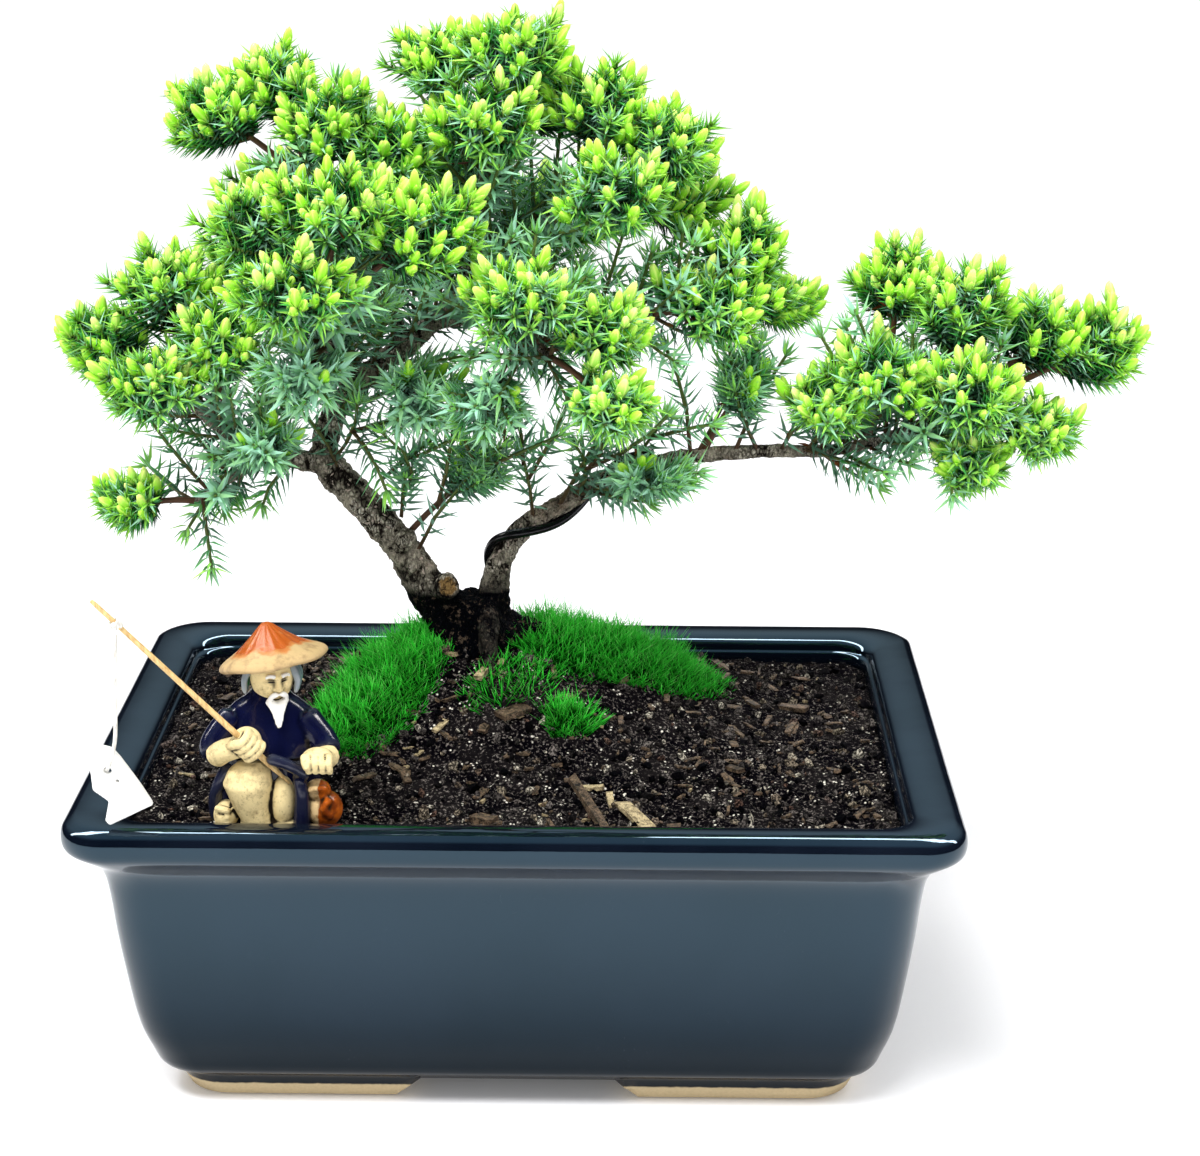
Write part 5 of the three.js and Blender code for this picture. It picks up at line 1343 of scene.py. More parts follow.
def copies(points, faces, number):
    """The faces of many copies of one shape"""
    steps = np.arange(number)[:, None, None] * points
    return [(face[None] + steps).reshape(-1, face.shape[1]) for face in faces]


def round_shape(fineness):
    """The corners and faces of a ball of radius 1, of twenty triangles or more"""
    body = bmesh.new()
    bmesh.ops.create_icosphere(body, subdivisions=fineness, radius=1)
    points = np.array([corner.co[:] for corner in body.verts])
    faces = np.array([[corner.index for corner in face.verts] for face in body.faces])
    body.free()
    return points, faces


class BONSAI_OT_soil(bpy.types.Operator):
    """Build the soil with its mound, its crumbs and its wood chips"""

    bl_idname = "bonsai.soil"
    bl_label = "Soil"

    def execute(self, context):
        settings = context.scene.bonsai_soil
        relief = settings.relief / MM
        rings = []
        for inset, height in reversed(POT_INSIDE):
            lift = GAP if height == POT_INSIDE[-1][1] else 0
            rings.append(finer_ring(oblong(inset + GAP, height + lift, INNER_CORNER), SOIL_POINTS_ROUND))
        rim = finer_ring(oblong(SOIL_INSET + GAP, 0, INNER_CORNER), SOIL_POINTS_ROUND)
        for step in range(SOIL_RINGS):
            left = 1 - step / SOIL_RINGS
            ring = rim.copy()
            ring[:, 0] = MOUND_CENTRE[0] + (rim[:, 0] - MOUND_CENTRE[0]) * left
            ring[:, 1] = MOUND_CENTRE[1] + (rim[:, 1] - MOUND_CENTRE[1]) * left
            ring[:, 2] = ground_height(ring[:, 0], ring[:, 1], relief)
            rings.append(ring)
        mesh = mesh_of("soil_body", *skin(rings))
        piece("potting_soil", mesh, material("soil", soil_finish, settings), replaces=["soil"])
        self.add_crumbs(settings, relief)
        self.add_chips(settings, relief)
        return {"FINISHED"}

    def add_crumbs(self, settings, relief):
        """Small crumbs of potting mix, scattered over the soil"""
        chance = np.random.default_rng(SEEDS["crumbs"])
        number = settings.crumbs
        spots = scattered(SEEDS["crumb_places"], number, CRUMB_MARGIN)
        sizes = 0.4 + 1.25 * chance.random(number) ** 2.4
        corners, faces = round_shape(1)
        shapes = corners[None] * chance.uniform(0.5, 1.2, (number, len(corners), 1))
        ways = unit(chance.normal(size=(number, 3)))
        scale = sizes[:, None] * chance.uniform((0.75, 0.5, 0.8), (1.15, 1.0, 1.6), (number, 3))
        bodies = turned(shapes, ways, chance.uniform(0, FULL_TURN, number), scale)
        ground = ground_height(spots[:, 0], spots[:, 1], relief)
        middles = np.column_stack([spots, ground + sizes * 0.25])
        points = (bodies + middles[:, None]).reshape(-1, 3)
        mesh = mesh_of("crumbs", points, copies(len(corners), [faces], number))
        mark(mesh, "tone", np.repeat(chance.random(number), len(corners)))
        piece("soil_crumbs", mesh, material("crumbs", crumb_finish, settings), smooth=False)

    def add_chips(self, settings, relief):
        """Slivers of bark and wood that lie on the soil, the listed large ones first"""
        chance = np.random.default_rng(SEEDS["chips"])
        number = settings.chips
        spots = scattered(SEEDS["chip_places"], number, CHIP_MARGIN)
        corners = np.array([(x, y, z) for z in LEVELS_OF_CHIP for x, y in CORNERS_OF_CHIP], float)
        ring = np.arange(4)
        after = (ring + 1) % 4
        walls = np.concatenate([np.stack([low + ring, low + after, low + 4 + after, low + 4 + ring], axis=1)
                                for low in (0, 4, 8)])
        faces = np.concatenate([walls, [[3, 2, 1, 0], [12, 13, 14, 15]]])
        ragged = np.where(np.arange(number) < len(LARGE_CHIPS), 0.07, 0.17)[:, None, None]
        shapes = corners[None] + ragged * chance.uniform(-1, 1, (number, len(corners), 3))
        angle = chance.uniform(0, FULL_TURN, number)
        ways = unit(np.column_stack([np.cos(angle), np.sin(angle), chance.normal(0, 0.22, number)]))
        long = 1.2 + 4.6 * chance.random(number) ** 2
        widths = long * chance.uniform(0.18, 0.42, number)
        scale = np.column_stack([widths, chance.uniform(0.3, 0.75, number), long])
        tones = chance.random(number)
        ground = ground_height(spots[:, 0], spots[:, 1], relief)
        middles = np.column_stack([spots, ground + 0.45])
        for place, (x, y, heading, rise, wide, thick, size, tone, lift) in enumerate(LARGE_CHIPS):
            middles[place] = (x, y, soil_height(x, y) + rise)
            ways[place] = unit((math.cos(heading), math.sin(heading), lift))
            scale[place] = (wide, thick, size)
            tones[place] = tone
        bodies = turned(shapes, ways, np.zeros(number), scale)
        points = (bodies + middles[:, None]).reshape(-1, 3)
        mesh = mesh_of("chips", points, copies(len(corners), [faces], number))
        mark(mesh, "tone", np.repeat(tones, len(corners)))
        mark(mesh, "along", np.tile(corners[:, 2] + 0.5, number))
        piece("wood_chips", mesh, material("chips", chip_finish, settings), smooth=False)


# Tree wood

def limb_radius(knots, share_along):
    """The radius of a limb part of the way along its list of points"""
    radii = [knot[3] for knot in knots]
    return np.interp(np.asarray(share_along) * (len(knots) - 1), np.arange(len(knots)), radii)


def limb_tube(knots):
    """A limb as a closed tube with ridges in its bark"""
    shares = np.linspace(0, 1, (len(knots) - 1) * STEPS_IN_LIMB + 1)
    angles = angles_round(LIMB_SIDES)
    turn = shares[:, None]
    ridges = 0.06 * np.sin(angles * 3 + turn * 11) + 0.05 * np.sin(angles * 5 - turn * 23)
    radii = limb_radius(knots, shares)[:, None] * (1 + ridges * (knots[0][3] > RIDGED_FROM))
    return tube(curve_points(centre_line(knots), shares), np.maximum(radii, LEAST_LIMB_RADIUS), LIMB_SIDES)


class BONSAI_OT_wood(bpy.types.Operator):
    """Build the trunks, branches and roots with their bark, and the training wire"""

    bl_idname = "bonsai.wood"
    bl_label = "Wood and wire"

    def execute(self, context):
        settings = context.scene.bonsai_wood
        rough = mesh_of("limbs", *together([limb_tube(knots) for knots in LIMBS.values()]))
        mesh = with_modifier(rough, "REMESH", mode="VOXEL", voxel_size=settings.fineness)
        places = coordinates(mesh)
        ways = normals(mesh)
        samples = []
        for knots in LIMBS.values():
            shares = np.linspace(0, 1, len(knots) * 6)
            line = placed(curve_points(centre_line(knots), shares))
            samples += list(zip(line, limb_radius(knots, shares)))
        tree = kdtree.KDTree(len(samples))
        for number, (point, _) in enumerate(samples):
            tree.insert(point, number)
        tree.balance()
        moves = np.empty(len(places))
        for number, point in enumerate(places):
            _, nearest, _ = tree.find(point)
            radius = samples[nearest][1]
            spot = Vector(point) / MM
            plates = noise.noise(Vector((spot.x * 0.4, spot.y * 0.4, spot.z * 0.22)))
            flakes = abs(noise.noise(Vector((spot.x * 0.8, spot.y * 0.8, spot.z * 0.5 + 9)))) * 2 - 0.5
            knobs = noise.noise(Vector((spot.x * 0.24, spot.y * 0.24, spot.z * 0.24 + 31)))
            depth = min(radius / 4, 1.0)
            moves[number] = (0.5 * plates + 0.45 * flakes + 0.8 * knobs * depth) * (0.2 + 0.8 * depth)
        spots = in_millimetres(places)
        stub = LIMBS["stub_cut"]
        heart = np.array(stub[-1][:3])
        stub_way = unit(heart - stub[0][:3])
        past = (spots - heart) @ stub_way
        from_heart = np.linalg.norm(spots - heart - past[:, None] * stub_way, axis=1)
        sawn = (past > -SAWN_DEPTH) & (from_heart < stub[-1][3] * SAWN_SHARE)
        moves[sawn] *= 0.1
        move_points(mesh, places + ways * (moves * settings.relief)[:, None])
        root = curve_points(centre_line(LIMBS["root_front"]), np.linspace(0.2, 1, 12))
        clear = np.min([np.linalg.norm(spots - point, axis=1) for point in root], 0)
        low = np.clip((SOILED_BELOW - spots[:, 2]) / SOILED_SPAN, 0, 1) * np.clip(clear - 2.2, 0.6, 1)
        mark(mesh, "low", low * (1 - sawn))
        mark(mesh, "raised", moves)
        mark(mesh, "sawn", sawn.astype(float))
        mark(mesh, "ring", from_heart)
        piece("tree_bark", mesh, material("bark", bark_finish, settings), replaces=["tree_wood"])
        firm = np.array([samples[tree.find(point)[1]][1] > FLAKY_RADIUS for point in places])
        flaky = firm & ~sawn & (spots[:, 2] > SOILED_BELOW)
        self.add_flakes(coordinates(mesh)[flaky], normals(mesh)[flaky])
        self.add_wire()
        return {"FINISHED"}

    def add_flakes(self, places, ways):
        """Loose flakes of bark above the soiled foot of the trunk"""
        chance = np.random.default_rng(SEEDS["flakes"])
        picks = chance.integers(0, len(places), FLAKES)
        middles = in_millimetres(places[picks])
        corners, faces = round_shape(1)
        shapes = corners[None] * chance.uniform(0.35, 1.25, (FLAKES, len(corners), 1))
        sizes = chance.uniform(0.3, 0.7, (FLAKES, 1))
        sizes = sizes * chance.uniform((0.8, 0.5, 0.3), (1.7, 0.9, 0.6), (FLAKES, 3))
        bodies = turned(shapes, unit(ways[picks]), chance.uniform(0, FULL_TURN, FLAKES), sizes)
        points = bodies + middles[:, None]
        mesh = mesh_of("flakes", points.reshape(-1, 3), copies(len(corners), [faces], FLAKES))
        for name in ("low", "sawn", "ring"):
            mark(mesh, name, np.zeros(FLAKES * len(corners)))
        mark(mesh, "raised", np.repeat(chance.uniform(-0.5, 0.3, FLAKES), len(corners)))
        piece("bark_flakes", mesh, bpy.data.materials["bark"], smooth=False)

    def add_wire(self):
        """The wire that winds up the right stem and bites a little into its bark"""
        knots = LIMBS["right_stem"]
        centre = centre_line(knots)
        places = round(WIRE_TURNS * WIRE_POINTS_IN_TURN)
        route = []
        for number in range(places + 1):
            share_along = WIRE_START + (WIRE_END - WIRE_START) * number / places
            beside = [share_along - 1e-3, share_along, share_along + 1e-3]
            before, middle, after = curve_points(centre, beside)
            heading = unit(after - before)
            aside = unit(np.cross(heading, (0, 1, 0)))
            behind = unit(np.cross(aside, heading))
            turn = WIRE_FIRST_ANGLE - WIRE_TURNS * FULL_TURN * number / places
            away = limb_radius(knots, share_along) * (1 + RIDGES) + WIRE_RADIUS - WIRE_BITE
            route.append(middle + aside * math.cos(turn) * away + behind * math.sin(turn) * away)
        line = even_points(route, WIRE_STEPS)
        radii = np.full(len(line), WIRE_RADIUS)
        radii[[0, -1]] *= 0.8
        mesh = mesh_of("wire", *tube(line, radii, WIRE_SIDES))
        piece("black_wire", mesh, material("wire", wire_finish), replaces=["training_wire"])


# Foliage

# Steps, sides, radii at the root and the end, and how far along the green of a stem that is
SPRAY_STEM = (7, 6, (0.85, 0.6), (0, 0.6))
SHOOT_STEM = (4, 3, (0.6, 0.42), (0.35, 1))
BLADE_FACES = np.array([[1, 3, 4], [3, 2, 4], [2, 1, 4], [3, 1, 0], [2, 3, 0], [1, 2, 0]])
BLADE_POINTS = 5
BLADE_WIDEST = 0.3
BLADE_ALONG = np.array([0, BLADE_WIDEST, BLADE_WIDEST, BLADE_WIDEST, 1])
BLADE_UPPER = np.array([1, 1, 1, 0, 1])
AWL_FACES = np.array([[0, 2, 3], [2, 1, 3], [1, 0, 3], [0, 1, 2]])
AWL_POINTS = 4
AWL_ALONG = np.array([0, 0, 0, 1])
AWL_UPPER = np.array([1, 1, 0, 1])


def awls(starts, ways, faces_up, lengths, widths):
    """Short pointed needles, widest at the root, with a flat upper side and a keel below"""
    sides = unit(np.cross(ways, faces_up))
    upper = np.cross(sides, ways)
    half = (widths / 2)[:, None]
    left = starts - sides * half + upper * half * 0.3
    right = starts + sides * half + upper * half * 0.3
    keel = starts - upper * half * 0.8
    tips = starts + ways * lengths[:, None]
    return np.stack([left, right, keel, tips], axis=1).reshape(-1, 3)


def blades(starts, ways, faces_up, lengths, widths):
    """Closed three-sided blades with a flat upper side, widest near the root and drawn out to a point"""
    across = unit(np.cross(ways, faces_up))
    upward = np.cross(across, ways)
    long = lengths[:, None]
    wide = widths[:, None] / 2
    middle = starts + ways * long * BLADE_WIDEST - upward * long * 0.03
    corners = [starts, middle + across * wide, middle - across * wide, middle - upward * wide * 0.9,
               starts + ways * long]
    return np.stack(corners, axis=1).reshape(-1, 3)


def spray_shoots(number, spray):
    """Where each shoot of a spray starts, bends and ends, with its outward way, and the stem of the spray"""
    _, limb, along, crown, half_sizes = spray
    chance = np.random.default_rng(SEEDS["sprays"] + number)
    start = curve_points(centre_line(LIMBS[limb]), along)[0]
    crown = np.array(crown, float)
    bend = (start + crown) / 2 + UP * np.linalg.norm(crown - start) * STEM_RISE
    shoot = np.arange(SHOOTS_IN_SPRAY)
    axis = unit(unit(crown - start) + UP * CROWN_LIFT)
    aside = unit(np.cross((1, 0, 0), axis))
    across = np.cross(axis, aside)
    height = 1 - CROWN_COVER * (shoot + 0.5) / SHOOTS_IN_SPRAY
    turn = shoot * GOLDEN_ANGLE + number
    reach = REACH + REACH_VARIES * draw(shoot, number)
    height = np.append(height, 1 - CROWN_COVER * chance.random(MORE_SHOOTS))
    turn = np.append(turn, chance.uniform(0, FULL_TURN, MORE_SHOOTS))
    reach = np.append(reach, chance.uniform(*MORE_REACH, MORE_SHOOTS))
    width = np.sqrt(1 - height ** 2)
    outward = (np.outer(height, axis) + np.outer(np.cos(turn) * width, aside)
               + np.outer(np.sin(turn) * width, across))
    tips = outward * (np.array(half_sizes) - BUD_REACH) * reach[:, None] + crown
    tips += UP * TIP_RISE * (reach[:, None] - REACH)
    leaves_stem = (1 - (1 - LEAFY_SHARE) * (1 - height) / CROWN_COVER)[:, None]
    roots = bow(start, bend, crown, leaves_stem)
    bends = roots + (tips - roots) * SHOOT_BEND
    bends[:, 2] -= np.linalg.norm(tips - roots, axis=1) * SHOOT_SAG
    kept = slice(None, None, 2 if spray[0] in SHADED_SPRAYS else 1)
    return roots[kept], bends[kept], tips[kept], outward[kept], (start, bend, crown)


def leaning(headings, aside, across, turn, lean):
    """The ways of needles that lean out from their shoots at each turn, and of their upper sides"""
    radial = spokes(aside, across, turn)
    upper = headings * np.sin(lean)[..., None] - radial * np.cos(lean)[..., None]
    return spokes(headings, radial, lean), upper


def whorls_on(roots, bends, tips, whorls, first, span, number, needle, spread):
    """The needles in whorls along shoots, from a share of each shoot on and over a span of it"""
    whorl = np.arange(whorls)
    along = (first + span * (whorl + 0.5) / whorls)[None, :, None]
    roots, bends, tips = roots[:, None], bends[:, None], tips[:, None]
    starts = bow(roots, bends, tips, along)
    headings = bow_heading(roots, bends, tips, along)
    aside = unit(np.cross(headings, UP))
    across = np.cross(headings, aside)
    shoot_number = (number * SHOOTS_IN_SPRAY + np.arange(len(roots)))[:, None, None]
    place = np.arange(NEEDLES_IN_WHORL)[None, None, :]
    turn = whorl[None, :, None] * math.pi / 3 + place * FULL_TURN / NEEDLES_IN_WHORL + shoot_number
    drawn = draw(whorl[None, :, None] * 3 + place, shoot_number)
    lengths = needle * (NEEDLE_LEAST + NEEDLE_VARIES * drawn)
    lean = spread + 0.3 * (draw(whorl[None, :, None] * 3 + place, shoot_number + 50) - 0.5)
    ways, upper = leaning(headings[:, :, None], aside[:, :, None], across[:, :, None], turn, lean)
    age = np.broadcast_to(((whorls - 1 - whorl) / max(whorls - 1, 1))[None, :, None], ways.shape[:3])
    return {
        "starts": np.broadcast_to(starts[:, :, None], ways.shape).reshape(-1, 3),
        "ways": ways.reshape(-1, 3),
        "upper": upper.reshape(-1, 3),
        "lengths": lengths.reshape(-1),
        "drawn": drawn.reshape(-1),
        "age": age.reshape(-1),
    }


def tip_needles(number, shoots, needle, budded):
    """Short fresh needles that close in round each bud, or make the tip of a shoot that has none"""
    bends, tips = shoots[1:3]
    chance = np.random.default_rng(SEEDS["tips"] + number)
    headings = unit(tips - bends)
    aside = unit(np.cross(headings, UP))
    across = np.cross(headings, aside)
    each = NEEDLES_AT_TIP
    turn = np.arange(each)[None] * FULL_TURN / each + chance.uniform(0, FULL_TURN, (len(tips), 1))
    lean = np.where(budded[:, None], 0.7, 0.4) + chance.uniform(-0.2, 0.2, (len(tips), each))
    ways, upper = leaning(headings[:, None], aside[:, None], across[:, None], turn, lean)
    starts = np.broadcast_to((tips - headings * 1.8)[:, None], ways.shape)
    lengths = needle * np.where(budded[:, None], 0.62, 0.8) * chance.uniform(0.85, 1.15, (len(tips), each))
    return {
        "starts": starts.reshape(-1, 3),
        "ways": ways.reshape(-1, 3),
        "upper": upper.reshape(-1, 3),
        "lengths": lengths.reshape(-1),
        "drawn": chance.random(lengths.size),
        "age": np.where(np.repeat(budded, each), 0.0, 0.15),
    }


BUD_CORE = [(0, 0.35), (0.16, 0.7), (0.4, 0.96), (0.66, 0.9), (0.88, 0.58)]
BUD_SIDES = 6
BRACTS = [(0.0, 0.58, 0.2), (0.04, 0.66, 2.3), (0.02, 0.52, 4.3)]
BRACT_LEVELS = [(0.35, 0.86, 0.62), (0.75, 1.12, 0.42)]


def bud_shape():
    """A spindle with bracts, of length 1 and radius 1, and how far along and near an edge each point is"""
    turns = angles_round(BUD_SIDES)
    rings = [np.column_stack([np.cos(turns) * radius, np.sin(turns) * radius, np.full(BUD_SIDES, height)])
             for height, radius in BUD_CORE]
    core, faces = skin(rings)
    core[-1, 2] = 1
    points = list(core)
    along = [point[2] for point in core]
    edge = [float(corner % 2) for _ in BUD_CORE for corner in range(BUD_SIDES)] + [0.0, 1.0]
    triangles = []
    quads = []
    ring = np.arange(4)
    after = (ring + 1) % 4
    for low, high, turn in BRACTS:
        radial = np.array([math.cos(turn), math.sin(turn), 0])
        side = np.array([-math.sin(turn), math.cos(turn), 0])
        first = len(points)
        points.append(radial * 0.3 + UP * low)
        for place, out, half_width in BRACT_LEVELS:
            centre = radial * out + UP * (low + (high - low) * place)
            points += [centre + side * half_width - radial * 0.3, centre + radial * 0.16,
                       centre - side * half_width - radial * 0.3, centre - radial * 0.4]
        points.append(radial * 1.2 + UP * high)
        levels = [low + (high - low) * place for place, _, _ in BRACT_LEVELS for _ in ring]
        along += [low, *levels, high]
        edge += [0.0] + [1, 0, 1, 0] * 2 + [1.0]
        inner, outer = first + 1, first + 5
        quads.append(np.stack([inner + ring, outer + ring, outer + after, inner + after], axis=1))
        triangles.append(np.stack([inner + ring, inner + after, np.full(4, first)], axis=1))
        triangles.append(np.stack([outer + after, outer + ring, np.full(4, first + 9)], axis=1))
    faces = [np.concatenate([faces[0], *quads]), np.concatenate([faces[1], *triangles])]
    return np.array(points), faces, np.array(along), np.array(edge)


def bud_places(number, spray, shoots, settings):
    """Which shoots of a spray end in buds, and each bud's root, way, size and light"""
    _, bends, tips, outward, _ = shoots
    chance = np.random.default_rng(SEEDS["buds"] + number)
    headings = unit(tips - bends)
    light = np.clip(outward[:, 2] * 0.75 + 0.5, 0, 1)
    if spray[0] in SHADED_SPRAYS:
        light = light * 0.2
    budded = chance.random(len(tips)) < settings.budding * np.clip(light * 1.5, 0, 1)
    found = []
    for shoot in np.flatnonzero(budded):
        heading = unit(headings[shoot] + UP * 0.4 + chance.normal(0, 0.16, 3))
        aside = unit(np.cross(heading, (0.3, 1, 0.1)))
        across = np.cross(heading, aside)
        found.append((tips[shoot] - heading * 2.2, heading, chance.uniform(0.72, 1.14), light[shoot]))
        beside = chance.choice([0, 1, 2, 3], p=[0.3, 0.3, 0.25, 0.15])
        first_turn = chance.uniform(0, FULL_TURN)
        for other in range(beside):
            turn = first_turn + other * FULL_TURN / max(beside, 2) + chance.uniform(-0.4, 0.4)
            lean = chance.uniform(0.3, 0.6)
            radial = aside * math.cos(turn) + across * math.sin(turn)
            way = unit(heading * math.cos(lean) + radial * math.sin(lean) + UP * 0.2)
            root = tips[shoot] - heading * chance.uniform(2.6, 5.6) + radial * 0.8
            found.append((root, way, chance.uniform(0.5, 0.95), light[shoot]))
    return budded, found


def curved_shoots(lines):
    """The roots, bends and tips of shoots that are given as short curves"""
    lines = [np.array(line, float) for line in lines]
    middles = [curve_points(line, 0.5)[0] for line in lines]
    roots = np.array([line[0] for line in lines])
    tips = np.array([line[-1] for line in lines])
    return roots, np.array(middles) * 2 - (roots + tips) / 2, tips


def limb_shoots(name, first, last, number):
    """The side shoots that grow along a limb, turned up to the light"""
    chance = np.random.default_rng(sum(map(ord, name)))
    centre = centre_line(LIMBS[name])
    shares = np.linspace(first, last, number)
    starts = curve_points(centre, shares)
    headings = unit(curve_points(centre, shares + 0.01) - curve_points(centre, shares - 0.01))
    aside = unit(np.cross(headings, UP))
    across = np.cross(aside, headings)
    turn = np.arange(number) * GOLDEN_ANGLE + chance.uniform(-0.5, 0.5, number)
    ways = unit(spokes(aside, across, turn) + headings * 0.5 + UP * 0.35)
    long = chance.uniform(*LIMB_SHOOT, number)[:, None]
    tips = starts + ways * long + UP * long * 0.2
    return starts, (starts + tips) / 2 - UP * long * 0.08, tips


class BONSAI_OT_foliage(bpy.types.Operator):
    """Build every spray of foliage, and the looser shoots along the limbs: stems, needles and buds"""

    bl_idname = "bonsai.foliage"
    bl_label = "Foliage"

    def execute(self, context):
        settings = context.scene.bonsai_foliage
        self.needle_material = material("needles", needle_finish, settings)
        self.stem_material = material("stems", stem_finish)
        bud_material = material("buds", bud_finish, settings)
        bud = bud_shape()
        needle = settings.needle / MM
        for number, spray in enumerate(SPRAYS):
            shoots = spray_shoots(number, spray)
            roots, bends, tips, _, stem = shoots
            shaded = spray[0] in SHADED_SPRAYS
            budded, buds = bud_places(number, spray, shoots, settings)
            self.add_stems(spray[0], (roots, bends, tips), stem)
            groups = [whorls_on(roots, bends, tips, WHORLS, WHORLS_START, WHORLS_SPAN, number,
                                needle * (SHADED_NEEDLE if shaded else 1), NEEDLE_ANGLE),
                      tip_needles(number, shoots, needle, budded)]
            self.add_needles(spray[0], groups, settings, float(shaded), number, [f"spray_{spray[0]}"])
            if buds:
                self.add_buds(number, spray, buds, bud, settings, bud_material)
        for number, (name, span) in enumerate(LEAFY_LIMBS.items(), len(SPRAYS)):
            self.add_loose(f"on_{name}", limb_shoots(name, *span), number, settings)
        self.add_loose("loose", curved_shoots(LOOSE_SHOOTS), len(SPRAYS) + len(LEAFY_LIMBS), settings)
        return {"FINISHED"}

    def add_loose(self, name, shoots, number, settings):
        """Shoots outside the sprays, with their stems and needles"""
        needle = settings.needle / MM * LOOSE_NEEDLE
        whorls = round(np.linalg.norm(shoots[2] - shoots[0], axis=1).mean() / LOOSE_WHORL_STEP)
        groups = [whorls_on(*shoots, whorls, *LOOSE_WHORLS, number, needle, LOOSE_ANGLE),
                  tip_needles(number, shoots, needle, np.zeros(len(shoots[0]), bool))]
        self.add_stems(name, shoots, None)
        self.add_needles(name, groups, settings, LIMB_SHADE, number, [])

    def add_stems(self, name, shoots, stem):
        """The stem of a spray, where it has one, and the stems of its shoots"""
        shapes = []
        along = []
        curves = [(stem, *SPRAY_STEM)] if stem else []
        curves += [(shoot, *SHOOT_STEM) for shoot in zip(*shoots)]
        for curve, steps, sides, radii, spans in curves:
            line = bow(*curve, np.linspace(0, 1, steps)[:, None])
            shapes.append(tube(line, np.linspace(*radii, steps), sides))
            along.append(np.append(np.repeat(np.linspace(*spans, steps), sides), spans))
        mesh = mesh_of("stems", *together(shapes))
        mark(mesh, "along", np.concatenate(along))
        piece(f"stems_{name}", mesh, self.stem_material)

    def add_needles(self, name, groups, settings, shade, number, replaced):
        """All needles of a spray or limb, flat blades in the shade and awls elsewhere"""
        chance = np.random.default_rng(SEEDS["needles"] + number)
        both = {key: np.concatenate([group[key] for group in groups]) for key in groups[0]}
        total = len(both["starts"])
        widths = settings.needle_width / MM * (0.85 + 0.3 * both["drawn"])
        blade = (blades, BLADE_POINTS, BLADE_FACES, BLADE_ALONG, BLADE_UPPER)
        awl = (awls, AWL_POINTS, AWL_FACES, AWL_ALONG, AWL_UPPER)
        shaped, each, faces, along, upper = blade if shade > LOOSE_SHADE else awl
        points = shaped(both["starts"], both["ways"], both["upper"], both["lengths"], widths)
        mesh = mesh_of("needles", points, copies(each, [faces], total))
        mark(mesh, "age", np.repeat(both["age"], each))
        mark(mesh, "along", np.tile(along, total))
        mark(mesh, "upper", np.tile(upper, total))
        mark(mesh, "tone", np.repeat(chance.random(total), each))
        mark(mesh, "shade", np.full(total * each, shade))
        dry = (chance.random(total) < DRY_SHARE) & (both["age"] > 0.8)
        mark(mesh, "dry", np.repeat(dry.astype(float), each))
        piece(f"needles_{name}", mesh, self.needle_material, smooth=False, replaces=replaced)

    def add_buds(self, number, spray, buds, shape, settings, bud_material):
        """All buds of a spray"""
        corners, faces, along, edge = shape
        chance = np.random.default_rng(SEEDS["bud_turns"] + number)
        starts, ways, sizes, lit = (np.array(values) for values in zip(*buds))
        wide = settings.bud_width / MM / 2 * sizes ** 0.5
        scale = np.column_stack([wide, wide, settings.bud_length / MM * sizes])
        turns = chance.uniform(0, FULL_TURN, len(buds))
        bodies = turned(np.broadcast_to(corners, (len(buds), *corners.shape)), ways, turns, scale)
        points = (bodies + starts[:, None]).reshape(-1, 3)
        mesh = mesh_of("buds", points, copies(len(corners), faces, len(buds)))
        mark(mesh, "along", np.tile(along, len(buds)))
        mark(mesh, "edge", np.tile(edge, len(buds)))
        mark(mesh, "tone", np.repeat(chance.random(len(buds)), len(corners)))
        mark(mesh, "lit", np.repeat(lit, len(corners)))
        piece(f"buds_{spray[0]}", mesh, bud_material)


# Moss

def moss_place(shape, angle, share_out):
    """A place in a moss cushion, from its middle out to its edge"""
    wave = 1 + 0.09 * np.sin(angle * 3 + shape["turn"] * 7) + 0.06 * np.sin(angle * 5)
    long = np.cos(angle) * shape["size"][0] * share_out * wave
    wide = np.sin(angle) * shape["size"][1] * share_out * wave
    x = shape["centre"][0] + long * math.cos(shape["turn"]) - wide * math.sin(shape["turn"])
    y = shape["centre"][1] + long * math.sin(shape["turn"]) + wide * math.cos(shape["turn"])
    return x, y


def moss_top(shape, x, y, share_out, strand):
    """The height of a moss cushion's bed, a little under the tips of its strands"""
    swell = MOSS_EDGE + (shape["thickness"] - MOSS_EDGE) * np.sqrt(np.maximum(1 - share_out ** 2, 0))
    bed = soil_height(x, y) + np.maximum(swell - strand * 0.62, 0.2)
    return bed + 0.4 * np.sin(x * 0.9) * np.sin(y * 0.8)


